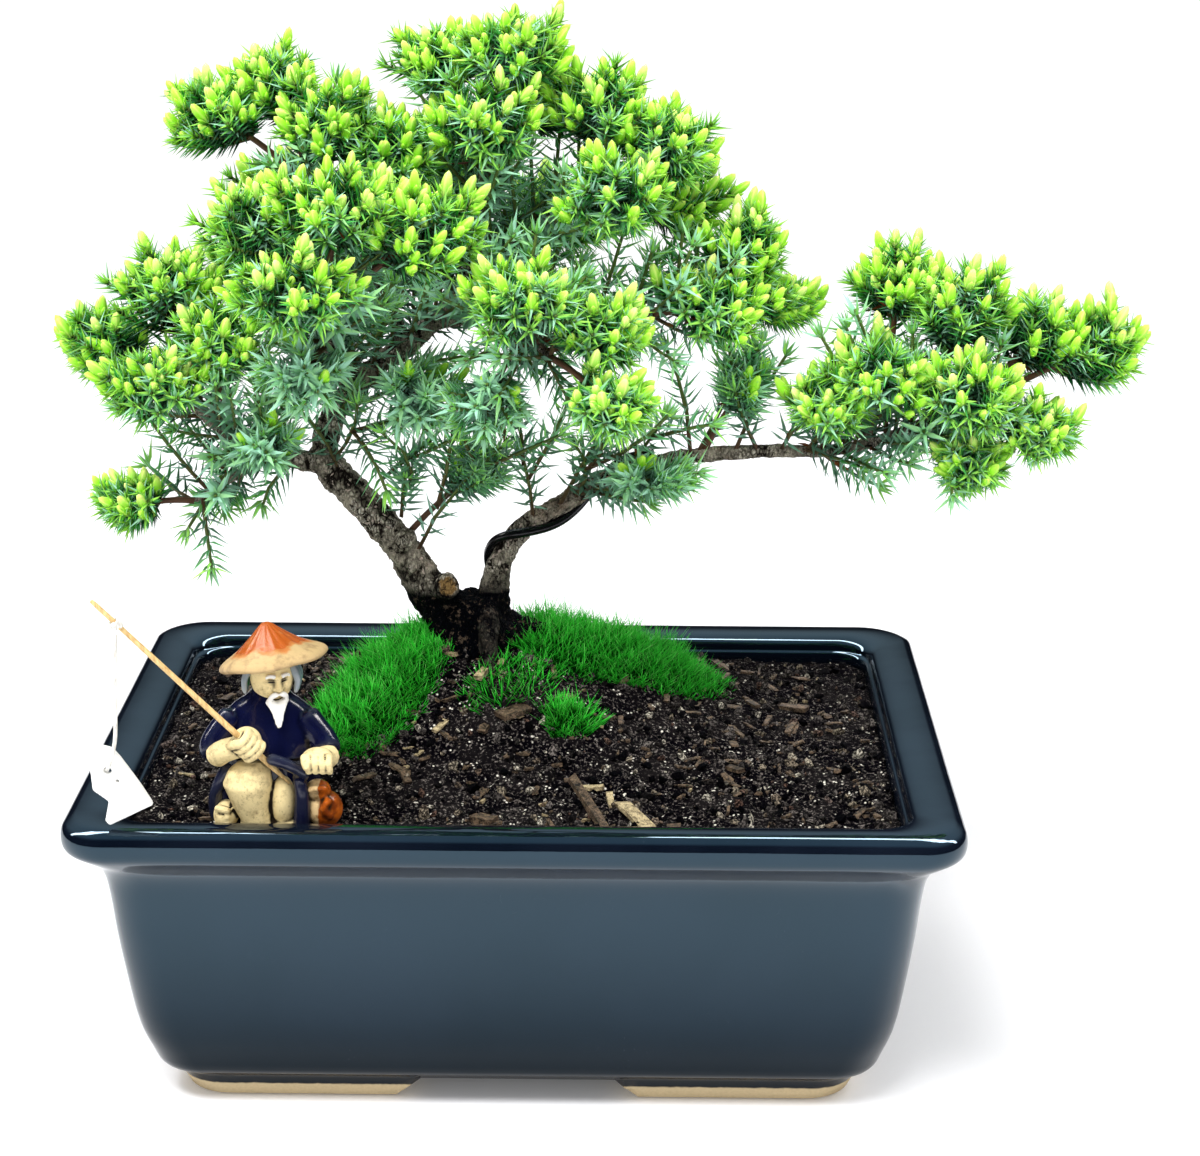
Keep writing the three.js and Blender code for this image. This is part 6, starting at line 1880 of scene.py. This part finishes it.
class BONSAI_OT_moss(bpy.types.Operator):
    """Build the moss cushions with their strands"""

    bl_idname = "bonsai.moss"
    bl_label = "Moss"

    def execute(self, context):
        settings = context.scene.bonsai_moss
        strand = settings.strand / MM
        strand_material = material("moss", moss_finish, settings)
        bed_material = material("moss_bed", moss_bed_finish, settings)
        for number, (name, shape) in enumerate(MOSS.items()):
            angles = angles_round(MOSS_BED_SIDES)
            rings = []
            for share_out in np.append(1.0, np.linspace(1, 0.04, MOSS_BED_RINGS)):
                x, y = moss_place(shape, angles, share_out)
                z = moss_top(shape, x, y, share_out, strand) - (0 if rings else MOSS_BED_DEPTH)
                rings.append(np.column_stack([x, y, z]))
            bed = mesh_of("moss_bed", *skin(rings))
            piece(f"{name}_bed", bed, bed_material, replaces=[name])
            chance = np.random.default_rng(SEEDS["moss"] + number)
            area = math.pi * shape["size"][0] * shape["size"][1] / 100
            total = int(area * settings.density)
            angle = chance.uniform(0, FULL_TURN, total)
            share_out = np.sqrt(chance.random(total)) * chance.uniform(0.94, 1.16, total)
            x, y = moss_place(shape, angle, share_out)
            z = moss_top(shape, x, y, np.minimum(share_out, 1), strand) - 0.5
            self.add_strands(f"{name}_strands", shape, (x, y, z), share_out, strand, chance, strand_material)
        chance = np.random.default_rng(SEEDS["thin_moss"])
        thin = {"centre": THIN_MOSS_CENTRE, "size": THIN_MOSS_SIZE, "turn": 0.5}
        share_out = np.sqrt(chance.random(THIN_MOSS_STRANDS))
        x, y = moss_place(thin, chance.uniform(0, FULL_TURN, THIN_MOSS_STRANDS), share_out)
        roots = (x, y, soil_height(x, y) - 0.3)
        self.add_strands("thin_moss_strands", thin, roots, share_out, strand, chance, strand_material)
        return {"FINISHED"}

    def add_strands(self, name, shape, roots, share_out, strand, chance, finish):
        """Wispy strands in small tufts, each tuft with a height and a way of its own"""
        x, y, _ = roots
        total = len(x)
        outward = np.column_stack([x - shape["centre"][0], y - shape["centre"][1]])
        tuft = np.floor(x / MOSS_TUFT + np.sin(y * 1.3)) * 31 + np.floor(y / MOSS_TUFT + np.sin(x * 1.1))
        tuft_way = np.column_stack([draw(tuft, 3), draw(tuft, 8)]) * 2 - 1
        spread = chance.normal(0, 0.5, (total, 2))
        lean = unit(outward) * share_out[:, None] ** 2 * 0.5 + tuft_way + spread
        ways = unit(np.column_stack([lean, np.ones(total)]))
        upper = unit(np.column_stack([-lean, np.ones(total)]))
        lengths = strand * (0.5 + 0.62 * draw(tuft, 5)) * chance.uniform(0.5, 1.45, total)
        lengths = lengths * (1.04 - 0.4 * share_out ** 4)
        points = awls(np.column_stack(roots), ways, upper, lengths, chance.uniform(0.26, 0.48, total))
        mesh = mesh_of("moss_strands", points, copies(AWL_POINTS, [AWL_FACES], total))
        mark(mesh, "along", np.tile(AWL_ALONG, total))
        mark(mesh, "tone", np.repeat(chance.random(total) * 0.6 + draw(tuft, 9) * 0.4, AWL_POINTS))
        piece(name, mesh, finish, smooth=False)


# Fisherman

def seated(points):
    """Places given across, back and up from the seat"""
    return np.asarray(points, float) + np.array(SEAT)


def rod_point(distance):
    """The place on the rod at a distance from its tip"""
    return np.array(ROD_TIP) + unit(ROD_SLOPE) * distance


def ball(centre, half_sizes):
    """A closed egg shape"""
    corners, faces = round_shape(4)
    return corners * np.array(half_sizes) + centre, [faces]


def roll(points, first_radius, last_radius):
    """A soft roll of clay along a curve, with rounded ends"""
    ends = np.sqrt(1 - 0.92 * np.linspace(-1, 1, ROLL_STEPS) ** 12)
    radii = np.linspace(first_radius, last_radius, ROLL_STEPS) * ends
    return tube(even_points(points, ROLL_STEPS), radii, ROLL_SIDES)


def lofted(levels, sides, folds=0.0):
    """A closed upright form: at each level its height, half width, half depth, distance across and back"""
    angles = angles_round(sides)
    heights = np.array([level[0] for level in levels])
    rings = []
    for height, across, deep, middle, back in levels:
        low = (heights[-1] - height) / np.ptp(heights)
        pleats = np.sin(angles * FOLD_COUNT) + 0.5 * np.sin(angles * (FOLD_COUNT + 6) + 2)
        wave = 1 + folds * low ** 2 * pleats
        rings.append(np.column_stack([middle + np.cos(angles) * across * wave,
                                      back + np.sin(angles) * deep * wave, np.full(sides, height)]))
    return skin(rings)


def moulded(name, shapes, softness=3, fineness=CLAY_FINENESS):
    """Shapes pressed into one piece of clay, with its hollows marked"""
    mesh = mesh_of(name, *together([(seated(points), faces) for points, faces in shapes]))
    mesh = with_modifier(mesh, "REMESH", mode="VOXEL", voxel_size=fineness * MM)
    mesh = with_modifier(mesh, "SMOOTH", factor=0.5, iterations=softness)
    # The hollows are marked so that the clay and glaze materials paint shade into them
    mark(mesh, "hollow", hollows(mesh, HOLLOW_DEPTH))
    return mesh


def rotated(first, second, angle):
    """Two coordinates of points that are turned by an angle"""
    cosine, sine = math.cos(angle), math.sin(angle)
    return first * cosine - second * sine, first * sine + second * cosine


def faced(points):
    """Places given from the middle of the head, for a face that is turned and bowed a little"""
    x, y, z = np.asarray(points, float).T
    y, z = rotated(y, z, HEAD_BOW)
    x, y = rotated(x, y, HEAD_TURN)
    return np.column_stack([x, y, z]) + HEAD


def face_point(across, up, out=0.0):
    """A place on the face, at shares of the head's half width and half height"""
    deep = math.sqrt(max(1 - across ** 2 - up ** 2, 0))
    return (across * (HEAD_HALF[0] + out), -deep * (HEAD_HALF[1] + out), up * (HEAD_HALF[2] + out))


class BONSAI_OT_fisherman(bpy.types.Operator):
    """Build the clay fisherman with robe, hat, beard and creel"""

    bl_idname = "bonsai.fisherman"
    bl_label = "Fisherman"

    def execute(self, context):
        settings = context.scene.bonsai_figure
        clay = material("clay", clay_finish, settings)
        self.add_head(clay)
        self.add_limbs(clay)
        robe = material("robe", poured_finish, settings.robe, srgb(88, 92, 98))
        self.add_robe(robe)
        self.add_hat(material("hat", hat_finish, settings))
        self.add_hair(settings)
        shapes = [ball(*form) for form in CREEL_FORMS] + [roll(*form) for form in CREEL_ROLLS]
        creel = moulded("creel", shapes)
        across = in_millimetres(coordinates(creel))[:, 0] - SEAT[0]
        mark(creel, "rim", np.clip((CREEL_GLAZE_FROM - across) / CREEL_GLAZE_SPAN, 0, 1))
        piece("fisherman_creel", creel, material("creel", creel_finish), replaces=["fisherman"])
        return {"FINISHED"}

    def add_head(self, clay):
        """The head, a ball that the listed forms of the face push out and in"""
        turns = angles_round(HEAD_SIDES)
        rings = []
        lines = []
        for rise in np.linspace(-1, 1, HEAD_LEVELS)[1:-1]:
            up = math.sin(rise * math.pi / 2)
            around = math.cos(rise * math.pi / 2)
            ways = np.column_stack([np.cos(turns) * around, np.sin(turns) * around, np.full(HEAD_SIDES, up)])
            front = np.clip(-ways[:, 1], 0, 1)
            out = np.zeros(HEAD_SIDES)
            drawn = np.zeros(HEAD_SIDES)
            for across, height, wide, high, swell in FACE_FORMS:
                for side in ((1, -1) if across else (1,)):
                    spread = ((ways[:, 0] - side * across) / wide) ** 2 + ((up - height) / high) ** 2
                    out += swell * np.exp(-spread) * front
                    drawn += np.exp(-spread) * front * (high < LINE_OF_FACE)
            lines.append(drawn)
            rings.append(faced(ways * (np.array(HEAD_HALF) + out[:, None])))
        points, faces = skin(rings)
        mesh = mesh_of("head", seated(points), faces)
        drawn = np.append(np.concatenate(lines), (0, 0))
        # Painted shade in the hollows of the face, together with the drawn lines of the eyes and mouth
        mark(mesh, "hollow", np.clip(hollows(mesh, HOLLOW_DEPTH) * 0.6 + drawn, 0, 1))
        piece("fisherman_head", mesh, clay, replaces=["fisherman"])

    def add_limbs(self, clay):
        """Shin, knees, forearms, hands and toes, moulded as one form"""
        shapes = [lofted(SHIN_LEVELS, SHIN_SIDES)]
        shapes += [ball(*form) for form in LIMB_FORMS]
        shapes += [roll(*form) for form in LIMB_ROLLS]
        for step in range(FINGERS):
            x = FREE_FINGERS[0] + step * FINGER_STEP
            y, high, low = FREE_FINGERS[1:]
            finger = [(x, y + 1.2, high), (x + 0.2, y - 0.4, high - 1), (x + 0.4, y, low)]
            shapes.append(roll(finger, *FINGER_RADII))
            height = TOES[2] - step * FINGER_STEP
            toe = [(TOES[0], TOES[1], height), (TOES[0] - 3.6, TOES[1] + 1.4, height + 0.3)]
            shapes.append(roll(toe, *TOE_RADII))
        along = unit(ROD_SLOPE)
        front = unit(np.array([0, -1, 0]) + along * along[1])
        side = np.cross(along, front)
        middle = rod_point(FIST_FROM_TIP) - SEAT
        shapes.append(ball(middle - front * 0.9, (3.4, 3.2, 3.5)))
        for step in range(FINGERS):
            knuckle = middle + along * (step - 1.5) * FINGER_STEP
            turns = np.linspace(-1.9, 2.0, 7)
            curl = [knuckle + (front * math.cos(turn) + side * math.sin(turn)) * FIST_CURL for turn in turns]
            shapes.append(roll(curl, *CURLED_RADII))
        thumb = [middle + side * 2.9 - along * 2.6, middle + side * 2.4 + front * 1.6 - along * 2.9,
                 middle + front * 2.7 - along * 3.1]
        shapes.append(roll(thumb, *THUMB_RADII))
        limbs = moulded("limbs", shapes, 2, LIMB_FINENESS)
        piece("fisherman_limbs", limbs, clay, replaces=["fisherman"])

    def add_robe(self, robe):
        """The robe over the lap, shoulders and arms, with its hanging folds"""
        shapes = [lofted(LAP_LEVELS, LAP_SIDES), lofted(CAPE_LEVELS, CAPE_SIDES, CAPE_FOLDS)]
        shapes += [roll(*form) for form in ROBE_ROLLS]
        cloth = moulded("robe", shapes, 3, ROBE_FINENESS)
        piece("fisherman_robe", cloth, robe, replaces=["fisherman"])

    def add_hat(self, glaze):
        """The wide hat, whose brim waves and whose glaze ends short of the brim's edge"""
        angles = angles_round(HAT_SIDES)
        profile = finer_profile(HAT_PROFILE)
        widest = max(range(len(profile)), key=lambda level: profile[level][0])
        upright = unit(HAT_LEAN)
        aside = unit(np.cross((0, 1, 0), upright))
        rays = spokes(aside, np.cross(upright, aside), angles)
        rings = []
        rim = []
        for level, (radius, rise) in enumerate(profile):
            out = radius / profile[widest][0]
            wave = 1 + out ** 3 * (0.02 * np.sin(angles * 3 + 1) + 0.014 * np.sin(angles * 8))
            height = rise + out ** 3 * (0.45 * np.sin(angles * 2 + 0.6) + 0.2 * np.sin(angles * 5))
            height = height + 0.16 * np.sin(angles * 19) * out * (1 - out) * 2
            size = np.maximum(radius, 0.05) * wave
            rings.append(np.array(HAT_MIDDLE) + rays * size[:, None] + np.outer(height, upright))
            edge = HAT_GLAZE_EDGE + 0.6 * np.sin(angles * 5 + 1) + 0.35 * np.sin(angles * 11)
            bare = np.clip((radius - edge) / HAT_GLAZE_SPAN + 0.5, 0, 1)
            rim.append(bare if level > widest else np.ones(HAT_SIDES))
        points, faces = skin(rings)
        mesh = mesh_of("hat", seated(points), faces)
        mark(mesh, "rim", np.append(np.concatenate(rim), (1, 0)))
        piece("fisherman_hat", mesh, glaze, replaces=["fisherman"])

    def add_hair(self, settings):
        """Locks of hair under the hat, and the brows, whiskers and beard"""
        locks = []
        for first, bend, last, spread in HAIR_LOCKS:
            for step in range(5):
                shift = np.array([0.0, (step - 2) * spread, 0.25 * math.sin(step * 2.3)])
                lock = [np.array(first) + shift, np.array(bend) + shift * 1.3, np.array(last) + shift * 1.1]
                locks.append(roll(lock, *LOCK_RADII))
        hair = moulded("hair", locks, 1)
        hair_material = material("hair", poured_finish, settings.hair, srgb(206, 206, 198), 0.7, 0.3)
        piece("fisherman_hair", hair, hair_material, replaces=["fisherman"])
        strands = []
        for side in (-1, 1):
            brow = [face_point(side * across, up, 0.45) for across, up in BROW]
            strands.append(roll(faced(brow), *BROW_RADII))
            whisker = [face_point(side * across, up, 0.9) for across, up in MOUSTACHE]
            strands.append(roll(faced(whisker), *WHISKER_RADII))
        for step in range(BEARD_STRANDS):
            share_across = step / (BEARD_STRANDS - 1) * 2 - 1
            root = faced([face_point(share_across * 0.42, -0.62 - 0.1 * (1 - abs(share_across)), 0.5)])[0]
            middle = np.array(BEARD_MIDDLE) + (share_across * 1.1, 0.3 * abs(share_across), 0)
            end = np.array(BEARD_TIP) + (share_across * 0.25, 0, 0)
            strands.append(roll([root, middle, end], *BEARD_RADII))
        beard = moulded("beard", strands, 1)
        beard_material = material("beard", poured_finish, settings.beard, srgb(250, 249, 246), 0.18, 0.35)
        piece("fisherman_beard", beard, beard_material, replaces=["fisherman"])


# Rod, line and fish

class BONSAI_OT_tackle(bpy.types.Operator):
    """Build the rod with its line, the line's turns and the fish that hangs on it"""

    bl_idname = "bonsai.tackle"
    bl_label = "Rod, line and fish"

    def execute(self, context):
        settings = context.scene.bonsai_figure
        thread = material("thread", fibre_finish, settings.thread, srgb(170, 166, 156), 2600, 0.75)
        fish = self.add_fish(settings)
        turns = np.linspace(0, THREAD_TURNS * FULL_TURN, THREAD_STEPS)
        along = unit(ROD_SLOPE)
        aside = unit(np.cross(along, UP))
        across = np.cross(along, aside)
        away = TURNS_RADIUS - THREAD_RADIUS
        first, last = TURNS_FROM_TIP + THREAD_RADIUS, TURNS_FROM_TIP + TURNS_LENGTH - THREAD_RADIUS
        places = np.array([rod_point(step) for step in np.linspace(first, last, THREAD_STEPS)])
        places += spokes(aside, across, turns) * away
        coil = mesh_of("turns", *tube(places, np.full(THREAD_STEPS, THREAD_RADIUS), THREAD_SIDES))
        wrap = piece("thread_turns", coil, thread, replaces=["line_turns"])
        route = even_points(LINE_ROUTE, LINE_POINTS)
        line = mesh_of("line", *tube(route, np.full(LINE_POINTS, LINE_RADIUS), LINE_SIDES))
        hanging = piece("hanging_line", line, thread, replaces=["fishing_line"])
        self.add_rod(settings)
        return {"FINISHED"}

    def add_rod(self, settings):
        """The bamboo rod, thinner to its tip and a little uneven"""
        steps = np.linspace(0, ROD_LENGTH, ROD_STEPS)
        thin = ROD_RADIUS * ROD_TAPER
        radii = np.interp(steps, (0, 0.5, ROD_LENGTH - 7, ROD_LENGTH),
                          (thin * 0.8, thin, ROD_RADIUS, ROD_RADIUS * 0.3))
        angles = angles_round(ROD_SIDES)
        along = steps[:, None]
        flats = 1 + 0.05 * np.sin(angles * 3 + along * 0.1) + 0.03 * np.sin(along * 1.9 + angles)
        route = [rod_point(step) for step in steps]
        mesh = mesh_of("rod", *tube(route, radii[:, None] * flats, ROD_SIDES))
        bamboo = material("bamboo", fibre_finish, settings.bamboo, srgb(176, 130, 70), 1500, 0.5)
        piece("bamboo_rod", mesh, bamboo, replaces=["fishing_rod"])

    def add_fish(self, settings):
        """The flat fish with its eye and a smaller hole"""
        curve = bpy.data.curves.new("fish", "CURVE")
        curve.dimensions = "2D"
        curve.fill_mode = "BOTH"
        curve.extrude = (FISH_THICKNESS / 2 - FISH_BEVEL) * MM
        curve.bevel_depth = FISH_BEVEL * MM
        curve.offset = -FISH_BEVEL * MM
        turns = angles_round(FISH_HOLE_SIDES)
        holes = [np.column_stack([x + np.cos(turns) * radius, z + np.sin(turns) * radius])
                 for x, z, radius in FISH_HOLES]
        for outline in [np.array(FISH_OUTLINE), *holes]:
            spline = curve.splines.new("POLY")
            spline.points.add(len(outline) - 1)
            for point, (x, z) in zip(spline.points, outline):
                point.co = (x * MM, z * MM, 0, 1)
            spline.use_cyclic_u = True
        thing = bpy.data.objects.new("in_work_fish", curve)
        bpy.context.scene.collection.objects.link(thing)
        flat = bpy.data.meshes.new_from_object(thing.evaluated_get(bpy.context.evaluated_depsgraph_get()))
        bpy.data.objects.remove(thing)
        flat = with_modifier(flat, "REMESH", mode="VOXEL", voxel_size=FISH_FINENESS * MM)
        flat = with_modifier(flat, "SMOOTH", factor=0.5, iterations=4)
        across, up, deep = coordinates(flat).T / MM
        swell = 1 + 0.25 * np.exp(-((across + 86) / 6) ** 2 - ((up - 88) / 7) ** 2)
        move_points(flat, placed(np.column_stack([across, FISH_PLANE - deep * swell, up])))
        clay = material("fish", poured_finish, settings.fish, srgb(255, 255, 255), 0.06, 0.4)
        return piece("clay_fish", flat, clay, replaces=["fish"])


# Stage

class BONSAI_OT_stage(bpy.types.Operator):
    """Set up the camera, the floor and the light"""

    bl_idname = "bonsai.stage"
    bl_label = "Stage"

    def execute(self, context):
        settings = context.scene.bonsai_stage
        self.add_camera(context)
        corners = [(x * FLOOR_HALF, y * FLOOR_HALF, 0) for x, y in ((-1, -1), (1, -1), (1, 1), (-1, 1))]
        floor = mesh_of("floor", corners, [np.array([[0, 1, 2, 3]])])
        floor.materials.append(material("floor", floor_finish, settings))
        ground = bpy.data.objects.new("floor", floor)
        context.scene.collection.objects.link(ground)
        lights = [("key_light", KEY_PLACE, *KEY_SIZE, settings.key),
                  ("fill_light", FILL_PLACE, *FILL_SIZE, settings.fill)]
        for name, place, width, height, power in lights:
            light = bpy.data.lights.new(name, "AREA")
            light.shape = "RECTANGLE"
            light.size = width * MM
            light.size_y = height * MM
            light.energy = power
            lamp = bpy.data.objects.new(name, light)
            lamp.location = placed(place)
            lamp.visible_glossy = False
            aim = Vector(placed(LIGHTS_AIM)) - lamp.location
            lamp.rotation_euler = aim.to_track_quat("-Z", "Y").to_euler()
            context.scene.collection.objects.link(lamp)
        self.add_sky(context, settings)
        context.scene.view_settings.view_transform = "Standard"
        return {"FINISHED"}

    def add_camera(self, context):
        """The camera in the place and at the angles of the photograph"""
        camera = bpy.data.cameras.new("camera")
        camera.sensor_fit = "HORIZONTAL"
        camera.angle = CAMERA_VIEW
        camera.clip_start = 0.01
        thing = bpy.data.objects.new("camera", camera)
        forward = np.array([math.sin(CAMERA_YAW) * math.cos(CAMERA_PITCH),
                            math.cos(CAMERA_YAW) * math.cos(CAMERA_PITCH), -math.sin(CAMERA_PITCH)])
        level = np.array([math.cos(CAMERA_YAW), -math.sin(CAMERA_YAW), 0])
        upright = np.cross(level, forward)
        right = level * math.cos(CAMERA_ROLL) + upright * math.sin(CAMERA_ROLL)
        upward = upright * math.cos(CAMERA_ROLL) - level * math.sin(CAMERA_ROLL)
        axes = np.column_stack([right, upward, -forward])
        thing.matrix_world = Matrix(axes.tolist()).to_4x4()
        thing.location = placed(CAMERA_PLACE)
        context.scene.collection.objects.link(thing)
        context.scene.camera = thing

    def add_sky(self, context, settings):
        """White light from all round, and a dark room with a bright strip in gloss"""
        world = bpy.data.worlds.new("sky")
        context.scene.world = world
        nodes = Nodes(world)
        way = nodes.add("ShaderNodeTexCoord", output="Generated")
        upward = nodes.part(way, 2)
        over = upward.math("MAXIMUM", upward, 0.05)
        backward = nodes.part(way, 1) / over
        aside = (nodes.part(way, 0) / over).apart(0)
        nearer, farther = STRIP_BACK
        starts = backward.between(nearer - STRIP_SOFT, nearer)
        ends = 1 - backward.between(farther, farther + STRIP_SOFT)
        strip = starts * ends * (1 - aside.between(*STRIP_ENDS))
        high = upward + nodes.part(way, 1) * ROOM_TILT
        seen_in_gloss = nodes.add("ShaderNodeLightPath", output="Is Glossy Ray")
        seen_by_camera = nodes.add("ShaderNodeLightPath", output="Is Camera Ray")
        room = nodes.mix(strip, nodes.mix(high.between(*ROOM_EDGE), ROOM_DARK, ROOM_LIGHT), STRIP_LIGHT)
        shade = nodes.mix(seen_in_gloss, (1.0, 1.0, 1.0), room)
        strength = seen_by_camera * (BACKDROP - settings.sky) + settings.sky
        sky = nodes.add("ShaderNodeBackground", None, {"Color": shade, "Strength": strength})
        nodes.add("ShaderNodeOutputWorld", None, {"Surface": sky})


# Sidebar and making

SETTINGS = {
    "bonsai_stage": StageSettings,
    "bonsai_figure": FigureSettings,
    "bonsai_pot": PotSettings,
    "bonsai_soil": SoilSettings,
    "bonsai_moss": MossSettings,
    "bonsai_wood": WoodSettings,
    "bonsai_foliage": FoliageSettings,
}
STEPS = {
    "stage": "bonsai_stage",
    "tackle": "bonsai_figure",
    "pot": "bonsai_pot",
    "soil": "bonsai_soil",
    "moss": "bonsai_moss",
    "wood": "bonsai_wood",
    "foliage": "bonsai_foliage",
    "fisherman": "bonsai_figure",
}


class BONSAI_PT_sidebar(bpy.types.Panel):
    """Lists the steps and their settings"""

    bl_idname = "BONSAI_PT_sidebar"
    bl_label = "Juniper Bonsai"
    bl_space_type = "VIEW_3D"
    bl_region_type = "UI"
    bl_category = "Bonsai"

    def draw(self, context):
        for step, group in STEPS.items():
            box = self.layout.box()
            box.operator(f"bonsai.{step}")
            for name in SETTINGS[group].__annotations__:
                box.prop(getattr(context.scene, group), name)


CLASSES = (
    *SETTINGS.values(), BONSAI_OT_stage, BONSAI_OT_tackle, BONSAI_OT_pot, BONSAI_OT_soil, BONSAI_OT_moss,
    BONSAI_OT_wood, BONSAI_OT_foliage, BONSAI_OT_fisherman, BONSAI_PT_sidebar,
)


def register():
    for made in CLASSES:
        bpy.utils.register_class(made)
    for name, group in SETTINGS.items():
        setattr(bpy.types.Scene, name, bpy.props.PointerProperty(type=group))


def unregister():
    for name in SETTINGS:
        delattr(bpy.types.Scene, name)
    for made in reversed(CLASSES):
        bpy.utils.unregister_class(made)


def main():
    register()
    for step in STEPS:
        if getattr(bpy.ops.bonsai, step)() != {"FINISHED"}:
            raise RuntimeError(f"The step {step} did not finish")


if __name__ == "__main__":
    main()
